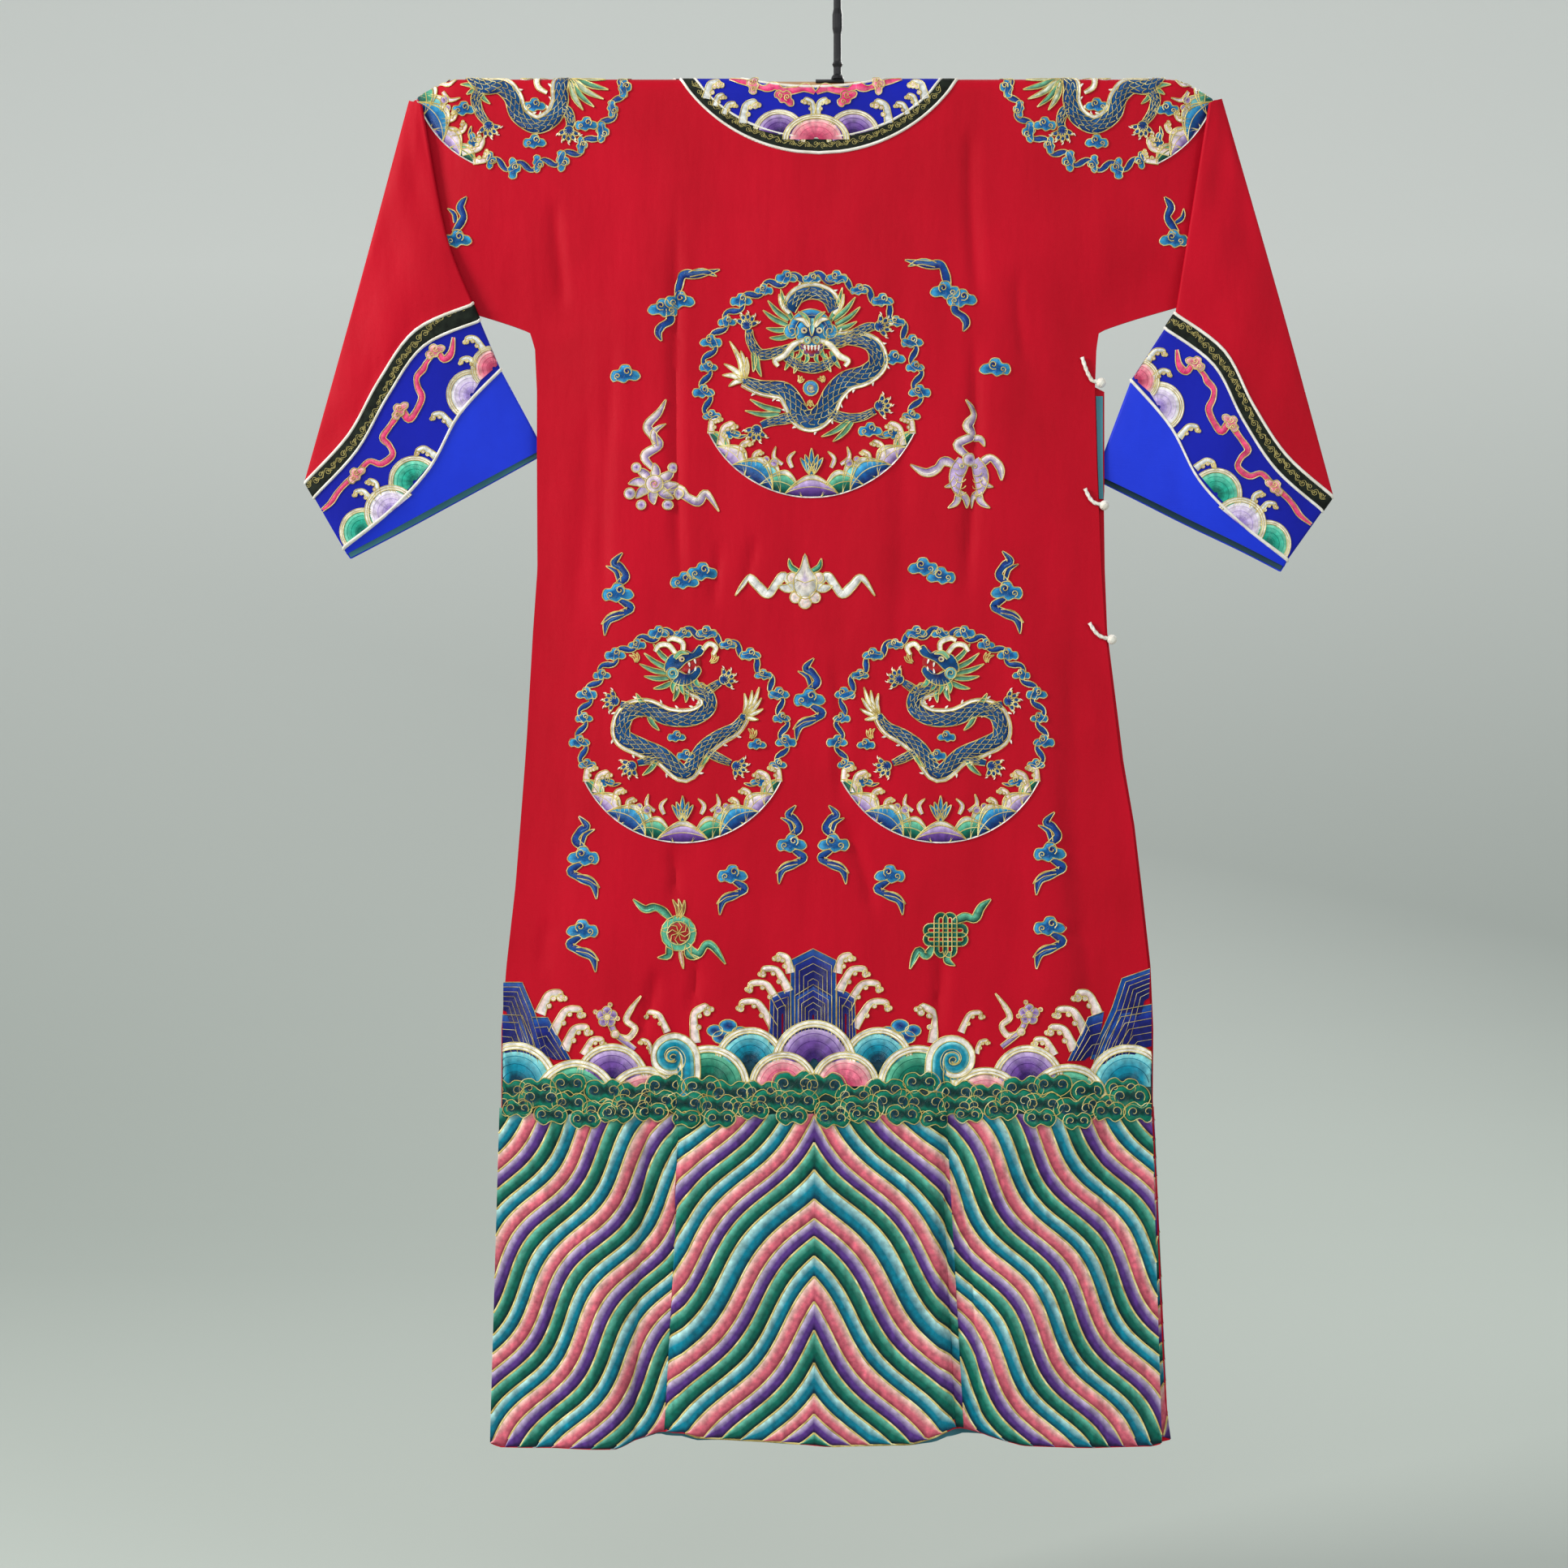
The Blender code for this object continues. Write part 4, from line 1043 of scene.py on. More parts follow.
def ribbon_material():
    """Black woven ribbon with fine ribs. Its gold scrolls are stitched on."""
    material, tree, shader = nodes_of("black ribbon")
    colour = ramp(tree, noise(tree, scaled_place(tree), 120.0), ((0.35, RIBBON_BLACK), (0.7, RIBBON_LIGHT)))
    normal = bump(tree, weave(tree, RIBBON_THREAD), 0.5, 0.0003)
    finish_shader(tree, shader, colour, normal, Roughness=0.5, Specular_IOR_Level=0.12)
    return material


def wood_material():
    material, tree, shader = nodes_of("varnished wood")
    grain = noise(tree, scaled_place(tree, (2.0, 34.0, 34.0)), 9.0, 6.0)
    colour = ramp(tree, grain, ((0.3, WOOD_DARK), (0.55, WOOD), (0.75, WOOD_LIGHT)))
    finish_shader(tree, shader, colour, bump(tree, grain, 0.25, 0.0005), Roughness=0.38, Coat_Weight=0.3)
    return material


def metal_material():
    material, tree, shader = nodes_of("black metal")
    place = scaled_place(tree)
    worn = noise(tree, place, 45.0, 6.0, 0.7)
    colour = ramp(tree, worn, ((0.5, METAL_BLACK), (0.72, METAL_WORN)))
    normal = bump(tree, noise(tree, place, 380.0), 0.2, 0.0003)
    finish_shader(tree, shader, colour, normal, Roughness=0.36, Metallic=0.5)
    return material


RED_LIGHT = (0.48, 0.0, 0.014)
RED_DARK = (0.4, 0.0, 0.01)
BLUE_LIGHT = (0.006, 0.035, 0.66)
BLUE_DARK = (0.004, 0.022, 0.5)
FIELD_LIGHT = (0.003, 0.01, 0.38)
FIELD_DARK = (0.002, 0.006, 0.27)
TEAL_LIGHT = (0.075, 0.27, 0.34)
TEAL_DARK = (0.04, 0.18, 0.23)
# Teal darkened as painted shade, for the lining inside the right cuff
SHADED_LINING_LIGHT = (0.014, 0.06, 0.1)
SHADED_LINING_DARK = (0.008, 0.04, 0.07)

MATERIALS = {
    "red": cloth_material("red silk", RED_LIGHT, RED_DARK, 0.56, 0.0, gleam=0.12, rumple=0.6),
    "blue": cloth_material("dark blue silk", FIELD_LIGHT, FIELD_DARK, 0.5, 0.0, gleam=0.15, rumple=0.3),
    "edge": cloth_material("royal blue silk", BLUE_LIGHT, BLUE_DARK, 0.46, 0.02, gleam=0.2, rumple=0.3),
    "lining": cloth_material("teal lining silk", TEAL_LIGHT, TEAL_DARK, 0.6, 0.1),
    # The right cuff's lining, darker as painted shade so its lip reads as a shadowed edge
    "inside": cloth_material("teal lining silk in painted shade", SHADED_LINING_LIGHT, SHADED_LINING_DARK, 0.6, 0.05),
    "cord": cord_material(),
    "ribbon": ribbon_material(),
    "wood": wood_material(),
    "metal": metal_material(),
}


def dress(obj, material, *nodes):
    """Makes a piece ride with the robe, in place of its solids."""
    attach(obj, "root")
    if nodes:
        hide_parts(*nodes)
    return obj


# Camera, lights and floor

CAMERA_PLACE = (-0.0306, -3.0, -0.8695)
SENSOR_WIDTH = 36.0
LENS = 67.4


def make_camera():
    camera = bpy.data.objects.new("camera", bpy.data.cameras.new("camera"))
    bpy.context.scene.collection.objects.link(camera)
    camera.location = CAMERA_PLACE
    camera.rotation_euler = (math.radians(90), 0, 0)
    camera.data.sensor_width = SENSOR_WIDTH
    camera.data.lens = LENS
    bpy.context.scene.camera = camera


LIT_PLACE = (0.0, 0.0, -0.85)
LIGHTS = (
    # name, place, size, power, colour
    ("key light", (-3.2, -1.7, 1.0), 1.2, 148.0, (1.0, 0.98, 0.95)),
    ("front light", (-0.6, -4.2, 0.8), 2.2, 32.0, (1.0, 0.99, 0.97)),
    ("fill light", (2.8, -3.0, 0.2), 2.0, 28.0, (0.95, 0.97, 1.0)),
    ("back light", (1.6, 3.2, 1.2), 2.0, 70.0, (1.0, 0.99, 0.97)),
)
WORLD_TONE = (0.72, 0.75, 0.74, 1.0)
WORLD_STRENGTH = 0.75


def add_light(name, place, size, power, colour):
    data = bpy.data.lights.new(name, "AREA")
    data.size = size
    data.energy = power
    data.color = colour
    light = bpy.data.objects.new(name, data)
    bpy.context.scene.collection.objects.link(light)
    light.location = place
    light.rotation_euler = (Vector(LIT_PLACE) - Vector(place)).to_track_quat("-Z", "Y").to_euler()


FLOOR_Z = -1.78
FLOOR_HALF = 7.0
WALL_HEIGHT = 7.0
COVE_RADIUS = 4.5
COVE_STEPS = 16
# The floor's dark tone and the wall's light tone: painted shade low down, painted light higher up
SHADED_FLOOR_TONE = (0.40, 0.44, 0.41)
LIT_WALL_TONE = (0.86, 0.88, 0.86)
PAINTED_LIGHT_RISE = 2.6


def floor_material():
    """Pale floor and wall, painted darker on the floor and lighter with the height up the wall: painted light
    and shade.
    """
    material, tree, shader = nodes_of("floor with painted light falloff")
    parts = add_node(tree, "ShaderNodeSeparateXYZ")
    tree.links.new(scaled_place(tree), parts.inputs["Vector"])
    height = add_node(tree, "ShaderNodeMapRange", From_Min=FLOOR_Z, From_Max=FLOOR_Z + PAINTED_LIGHT_RISE)
    tree.links.new(parts.outputs["Z"], height.inputs["Value"])
    # Painted light: darker on the floor, lighter up the wall
    colour = ramp(tree, height.outputs["Result"], ((0.0, SHADED_FLOOR_TONE), (1.0, LIT_WALL_TONE)))
    tree.links.new(colour, shader.inputs["Base Color"])
    set_sockets(shader, Roughness=0.9)
    return material


def make_floor():
    """A floor that curves up into a far wall."""
    profile = [(-FLOOR_HALF, FLOOR_Z)]
    for step in range(COVE_STEPS + 1):
        angle = math.pi / 2 * step / COVE_STEPS
        profile.append((FLOOR_HALF - COVE_RADIUS + COVE_RADIUS * math.sin(angle),
                        FLOOR_Z + COVE_RADIUS * (1 - math.cos(angle))))
    profile.append((FLOOR_HALF, FLOOR_Z + WALL_HEIGHT))
    points = [(x, y, z) for y, z in profile for x in (-FLOOR_HALF, FLOOR_HALF)]
    faces = [[2 * row, 2 * row + 1, 2 * row + 3, 2 * row + 2] for row in range(len(profile) - 1)]
    floor = make_object("floor", np.array(points) / MM, faces, [floor_material()])


def make_stage():
    """The floor and soft light from all round."""
    make_floor()
    world = bpy.data.worlds.new("soft light")
    world.use_nodes = True
    set_sockets(world.node_tree.nodes["Background"], Color=WORLD_TONE, Strength=WORLD_STRENGTH)
    bpy.context.scene.world = world
    bpy.context.scene.view_settings.view_transform = "Standard"
    for row in LIGHTS:
        add_light(*row)


# The robe

ROBE_PANELS = (
    # kind, solid, side
    ("back", "back_panel", BACK),
    ("overlap", "front_overlap", FRONT),
    ("flap", "front_under_flap", FRONT),
)
SLEEVE_TUBES = (
    # name, line above, line below, rows, cells across, far opening, outer and inner finish
    ("sleeve", "top", "band", 40, SLEEVE_PARTS, 0.0, ("red", "lining")),
    ("cuff", "band", "piping", 16, CUFF_PARTS, 0.0, ("blue", "lining")),
    ("cuff_edge", "piping", "opening", 16, CUFF_PARTS, FAR_OPENING, ("edge", "edge")),
)
SLEEVE_TOP = 0.015
LINING_START = 0.5
LINING_GAP = 0.3


def make_robe_panels():
    layers = [MATERIALS["red"], MATERIALS["lining"]]
    panels = {}
    for kind, name, side in ROBE_PANELS:
        panels[name] = make_panel(kind, f"cloth_{name}", side, layers)
        dress(panels[name], "red", name)
    return panels


def make_robe_yokes():
    bands = {}
    for label, lines, side, upper in YOKES:
        pairs = lines()
        for name, low, high, thick, material in YOKE_BANDS:
            node = f"{name}_{label}"
            band = make_band(f"sewn_{node}", pairs, side, low, high, thick, MATERIALS[material], upper)
            bands[node] = dress(band, material, node)
    return bands


def dressed_tube(node, outside, inside, layers, closed_top=False):
    tube = make_tube(f"cloth_{node}", outside, inside, [MATERIALS[layer] for layer in layers], closed_top)
    return dress(tube, layers[0], node)


def make_robe_sleeves():
    pieces = {}
    for hand in ("left", "right"):
        for name, above, below, rows, parts, far, layers in SLEEVE_TUBES:
            steps = [(step / rows, 0.0) for step in range(rows + 1)]
            outside = tube_rings(hand, above, below, steps, 0.0, parts, far)
            closed = name == "sleeve"
            if closed:
                steps[0] = (SLEEVE_TOP, 0.0)
            inside = tube_rings(hand, above, below, steps, CLOTH, parts, far)
            node = f"{name}_{hand}"
            pieces[node] = dressed_tube(node, outside, inside, layers, closed)
        node = f"cuff_lining_{hand}"
        steps = [(step, mix(0.0, -1.0, (step - LINING_START) / LINING_START))
                 for step in refine((LINING_START, 1.0), 0.07)]
        walls = [tube_rings(hand, "piping", "opening", steps, inset, CUFF_PARTS, FAR_OPENING)
                 for inset in (CLOTH + LINING_GAP, CLOTH + LINING_GAP + LINING * 0.5)]
        # The right cuff's lining takes the darker teal: painted shade inside the cuff
        pieces[node] = dressed_tube(node, *walls, ["lining" if hand == "left" else "inside"] * 2)
        for name, *row, material in CUFF_RINGS:
            node = f"{name}_{hand}"
            pieces[node] = ring_band(f"sewn_{node}", hand, (*row, MATERIALS[material]))
            dress(pieces[node], material, node)
    return pieces


# Linings, and the closure at the side

SIDE_LINING_TOP = 323.0
SIDE_LINING_END = 428.0
CORD_RADIUS = 2.0
CORD_SIDES = 14
CORD_TWIST = 6.0
LOOP_RISE = 3.0
BALL_RADIUS = 5.0
BALL_TURNS = 28
BALL_RINGS = 18
SEAM = 0.3
LINING_LIFT = 0.7
BALL_GAP = 0.8
LOOP_EDGE = 1.5
LOOP_SEAT = 0.5
# How far the hem's lining stays from the left edge, the right facing and the hem
HEM_LINING_GAPS = (3.0, 4.0, 3.5)
# How far the side's lining reaches past the back's edge, and stays inside the overlap's
SIDE_LINING_GAPS = (1.2, 0.6)
LOOPS = (
    # tail x, tail depth, ball depth
    (273.5, 284, 310),
    (276.5, 418, 435),
    (281.0, 555, 572),
)


def depths_of(node):
    """The first and last depth of a solid below the shoulder line."""
    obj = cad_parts[node]
    heights = [(obj.matrix_world @ vertex.co).z / MM for vertex in obj.data.vertices]
    return SHOULDER_Z - max(heights), SHOULDER_Z - min(heights)


def lining_shell(name, node, rows, columns, place, lift):
    """A thin shell inside the front. place gives a row's and a column's place on the cloth."""
    x, run = np.array([place(column / (columns - 1), row / (rows - 1))
                       for column in range(columns) for row in range(rows)]).T
    inner, outer = (lifted(x, -run, np.full(len(x), -depth), True) for depth in (lift, lift + LINING))
    shell = wall(name, outer, inner, grid_cells(columns, rows), [MATERIALS["lining"]])
    turn_outwards(shell)
    return dress(shell, "lining", node)


def hem_place(across, down):
    first, last = depths_of("hem_lining")
    left, right = edge_columns("overlap", last)
    left_gap, right_gap, hem_gap = HEM_LINING_GAPS
    x = mix(left + left_gap, right - FACING - right_gap, across)
    depth = mix(first, read(HEM, x, FRONT_HEM) - hem_gap, down)
    return x, float(run_of_depth(0.0, depth))


def side_place(across, down):
    depth = mix(SIDE_LINING_TOP, SIDE_LINING_END, down)
    past_back, inside = SIDE_LINING_GAPS
    x = mix(read(SIDES, depth, RIGHT) + past_back, read(SIDES, depth, OVERLAP_RIGHT) - inside, across)
    return x, float(run_of_depth(0.0, depth))


def tube_along(name, centres):
    """A cord of two twisted strands along a path."""
    along = np.gradient(centres, axis=0)
    along /= np.linalg.norm(along, axis=1, keepdims=True)
    across = np.cross(along, (0.0, 1.0, 0.0))
    across /= np.linalg.norm(across, axis=1, keepdims=True)
    level = np.cross(across, along)
    length = lengths_along(centres)
    sides = CORD_SIDES
    points = []
    for number, centre in enumerate(centres):
        for step in range(sides):
            angle = 2 * math.pi * step / sides
            ridge = math.cos(2 * angle + 2 * math.pi * length[number] / CORD_TWIST)
            out = math.cos(angle) * across[number] + math.sin(angle) * level[number]
            points.append(centre + CORD_RADIUS * (0.93 + 0.12 * ridge) * out)
    faces = []
    for number in range(len(centres) - 1):
        for step in range(sides):
            a, b = number * sides + step, number * sides + (step + 1) % sides
            faces.append([a, b, b + sides, a + sides])
    last = (len(centres) - 1) * sides
    faces += [list(range(sides)), [last + step for step in range(sides)]]
    obj = make_object(name, points, faces, [MATERIALS["cord"]])
    turn_outwards(obj)
    return obj


def knot_ball(name, centre):
    """A ball knot: rounds of cord wound over each other."""
    turns, rings = BALL_TURNS, BALL_RINGS
    points = [centre + np.array([0, 0, BALL_RADIUS]), centre - np.array([0, 0, BALL_RADIUS])]
    for ring in range(1, rings):
        down = math.pi * ring / rings
        for turn in range(turns):
            angle = 2 * math.pi * turn / turns
            reach = BALL_RADIUS * (0.94 + 0.08 * abs(math.sin(3 * angle + 2.5 * down)))
            points.append(centre + reach * np.array([math.sin(down) * math.cos(angle),
                                                     math.sin(down) * math.sin(angle), math.cos(down)]))
    faces = []
    for turn in range(turns):
        after = (turn + 1) % turns
        faces.append([0, 2 + turn, 2 + after])
        end = 2 + (rings - 2) * turns
        faces.append([1, end + after, end + turn])
        for ring in range(rings - 2):
            a = 2 + ring * turns
            faces.append([a + turn, a + turns + turn, a + turns + after, a + after])
    obj = make_object(name, points, faces, [MATERIALS["cord"]])
    turn_outwards(obj)
    return obj


def make_closure():
    """The teal linings that show, and three cord loops with their ball knots."""
    made = {"hem_lining": lining_shell("cloth_hem_lining", "hem_lining", 6, 150, hem_place, LINING_LIFT),
            "side_lining": lining_shell("cloth_side_lining", "side_lining", 24, 5, side_place, SEAM)}
    for number, (tail_x, tail_depth, ball_depth) in enumerate(LOOPS, start=1):
        ball_x = read(SIDES, ball_depth, RIGHT) + BALL_RADIUS + BALL_GAP
        run = float(run_of_depth(0.0, ball_depth))
        seat_x = min(ball_x, read(SIDES, ball_depth, OVERLAP_RIGHT))
        seat = lifted(np.array([seat_x]), np.array([-run]), np.zeros(1), True)[0]
        lift = LINING + 2 * SEAM if number == 1 else SEAM
        ball = np.array([ball_x, seat[1] - lift - BALL_RADIUS, SHOULDER_Z - ball_depth])
        centres = []
        for step in range(6):
            share = step / 5
            x = mix(tail_x, ball_x - BALL_RADIUS - 2 * CORD_RADIUS, share)
            depth = mix(tail_depth, ball_depth - CORD_RADIUS, share) + LOOP_RISE * math.sin(math.pi * share)
            cloth_x = min(x, read(SIDES, depth, RIGHT) - LOOP_EDGE)
            spot = np.array([cloth_x]), np.array([float(run_of_depth(0.0, depth))])
            rise = np.full(1, CLOTH + LINING_LIFT + CORD_RADIUS)
            base = lifted(*spot, rise, False)[0]
            centres.append((x, base[1], SHOULDER_Z - depth))
        centres = np.array(centres)
        way = centres[-1] - ball
        centres = np.vstack([centres, ball + way / np.linalg.norm(way) * (BALL_RADIUS - LOOP_SEAT)])
        cord = tube_along(f"cord_loop_{number}", spline(centres, 8))
        made[f"loop_{number}"] = dress(cord, "cord", f"loop_{number}")
        made[f"knot_{number}"] = dress(knot_ball(f"cord_knot_{number}", ball), "cord", f"knot_{number}")
    return made


def finish_hanger():
    for node, material in (("hanger_bar", "wood"), ("hanger_saddle", "metal"), ("hanger_hook", "metal")):
        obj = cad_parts[node]
        obj.data.materials.clear()
        obj.data.materials.append(MATERIALS[material])


# Embroidery: satin areas and couched gold threads, drawn in the photo's pixels and laid on the cloth

PIXEL = 0.826
FRAME_X = 1003.0
FRAME_Y = 95.0
SHOULDER_ARC = 0.5708
RAY_START = 0.2
RAY_NEAR = 0.008


def unrolled(px, py):
    """A design's place as (x, s) on the unrolled cloth."""
    x = (px - FRAME_X) * PIXEL
    depth = (py - FRAME_Y) * PIXEL
    return x, depth - droop(x) - CLOTH + SHOULDER_ARC * fold_radius(x)


def on_overlap(x, s):
    share = (x - OVERLAP_START) / (read(SIDES, OVERLAP_SIDE_DEPTH, OVERLAP_RIGHT) - OVERLAP_START)
    edge = mix(neck_run(OVERLAP_START, NECK_FRONT_RUN), OVERLAP_SIDE_DEPTH + 5.0,
               0.55 * share + 0.45 * smooth(share))
    return (x < OVERLAP_START) | (np.abs(s) > edge)


def cloth_surface(side):
    """Lays a design on the back or the front, at a height above the cloth's outer face."""
    def surface(px, py, lift):
        x, s = unrolled(px, py)
        return lifted(x, side * s, CLOTH + lift, on_overlap(x, s * side))
    return surface


def cast_surface(objects, side):
    """Lays a design on meshes, straight along the line of sight from the back or the front."""
    points = []
    faces = []
    for obj in objects:
        start = len(points)
        points += [vertex.co.copy() for vertex in obj.data.vertices]
        faces += [[start + number for number in face.vertices] for face in obj.data.polygons]
    tree = BVHTree.FromPolygons(points, faces)

    def surface(px, py, lift):
        out = np.zeros((len(px), 3))
        across = (px - FRAME_X) * PIXEL
        heights = SHOULDER_Z - (py - FRAME_Y) * PIXEL
        for number, (x, z) in enumerate(zip(across, heights)):
            start = Vector((x * MM, -RAY_START * side, z * MM))
            hit = tree.ray_cast(start, Vector((0, side, 0)))[0]
            if hit is None:
                hit = tree.find_nearest(Vector((x * MM, -RAY_NEAR * side, z * MM)))[0]
            out[number] = (hit.x / MM, hit.y / MM, hit.z / MM)
        out[:, 1] -= side * lift
        return out
    return surface


def srgb(*channels):
    return tuple((value / 255 / 12.92) if value < 10 else ((value / 255 + 0.055) / 1.055) ** 2.4
                 for value in channels)


NAVY = srgb(14, 20, 96)
ROYAL = srgb(16, 40, 140)
MID_BLUE = srgb(6, 84, 150)
LIGHT_BLUE = srgb(64, 168, 218)
SCALE_BLUE = srgb(0, 64, 116)
EMERALD = srgb(0, 118, 94)
TURQUOISE_LIGHT = srgb(150, 226, 226)
TURQUOISE = srgb(0, 134, 162)
TURQUOISE_DARK = srgb(0, 60, 84)
GREEN_LIGHT = srgb(110, 200, 164)
GREEN = srgb(0, 108, 86)
GREEN_DARK = srgb(0, 46, 46)
PINK_LIGHT = srgb(240, 208, 200)
PINK = srgb(226, 112, 138)
PINK_DARK = srgb(188, 62, 98)
MAGENTA = srgb(222, 30, 112)
PURPLE_LIGHT = srgb(200, 178, 220)
PURPLE = srgb(108, 70, 152)
PURPLE_DARK = srgb(52, 24, 98)
CREAM = srgb(232, 222, 206)
FOAM = srgb(222, 180, 176)
WHITE = srgb(238, 238, 234)
SILVER = srgb(186, 190, 192)
GOLD = srgb(232, 206, 140)
RED_THREAD = srgb(170, 30, 34)
BLACK = srgb(12, 14, 40)
OLIVE = srgb(120, 134, 84)

GREENS = (GREEN_LIGHT, GREEN, GREEN_DARK)
TURQUOISES = (TURQUOISE_LIGHT, TURQUOISE, TURQUOISE_DARK)
PINKS = (PINK_LIGHT, PINK, PINK_DARK)
PURPLES = (PURPLE_LIGHT, PURPLE, PURPLE_DARK)
BLUES = (LIGHT_BLUE, MID_BLUE, NAVY)
LILACS = (CREAM, PURPLE_LIGHT, PURPLE)

SATIN = 0
METAL_THREAD = 1


def spline(points, steps, closed=False):
    """A smooth curve through points, with so many steps between each two."""
    points = np.asarray(points, float)
    count = len(points)
    out = []
    for index in range(count if closed else count - 1):
        near = np.arange(index - 1, index + 3)
        near = near % count if closed else np.clip(near, 0, count - 1)
        out += [curved(*points[near], step / steps) for step in range(steps)]
    out.append(points[0] if closed else points[-1])
    return np.array(out)


def arc(x, y, radius, start, end, steps, squash=1.0):
    """A round arc. Angles are in degrees, clockwise from the right as seen."""
    angles = np.radians(np.linspace(start, end, steps + 1))
    return np.stack([x + radius * np.cos(angles), y + radius * squash * np.sin(angles)], axis=1)


def spiral(x, y, radius, start, turns, steps=18, inner=0.12):
    """From the outside in. Positive turns go clockwise as seen."""
    share = np.linspace(0, 1, steps + 1)
    angles = np.radians(start) + 2 * math.pi * turns * share
    reach = radius * (1 - (1 - inner) * share)
    return np.stack([x + reach * np.cos(angles), y + reach * np.sin(angles)], axis=1)


def bent(points, steps):
    """Straight runs between corners, with so many steps in each."""
    points = np.asarray(points, float)
    out = [mix(a, b, step / steps) for a, b in zip(points, points[1:]) for step in range(steps)]
    return np.array(out + [points[-1]])


def toward(angle, reach=1.0):
    """A step in a direction, in degrees clockwise from the right as seen."""
    turn = math.radians(angle)
    return reach * np.array([math.cos(turn), math.sin(turn)])


def spread(values, count):
    """Values that are given evenly along a path, for each of its points."""
    return np.interp(np.linspace(0, 1, count), np.linspace(0, 1, len(values)), values)


def sideways(path):
    along = np.gradient(path, axis=0)
    along /= np.maximum(np.linalg.norm(along, axis=1, keepdims=True), 1e-9)
    return np.stack([-along[:, 1], along[:, 0]], axis=1)


def offset(path, distance):
    return path + sideways(path) * np.reshape(np.broadcast_to(distance, len(path)), (-1, 1))


def stations(path, lengths, first, gap, step):
    """Even stations along a path, as (number, place along it, centre, sideways, backwards)."""
    normals = sideways(path)
    for number, place in enumerate(np.arange(first, lengths[-1] - gap, step)):
        centre, normal = (np.array([np.interp(place, lengths, values[:, axis]) for axis in (0, 1)])
                          for values in (path, normals))
        yield number, place, centre, normal, np.array([normal[1], -normal[0]])


SATIN_UNEVEN = 0.09
SATIN_RISE = 0.22
THREAD_RISE = 0.25
SUNK = -0.1


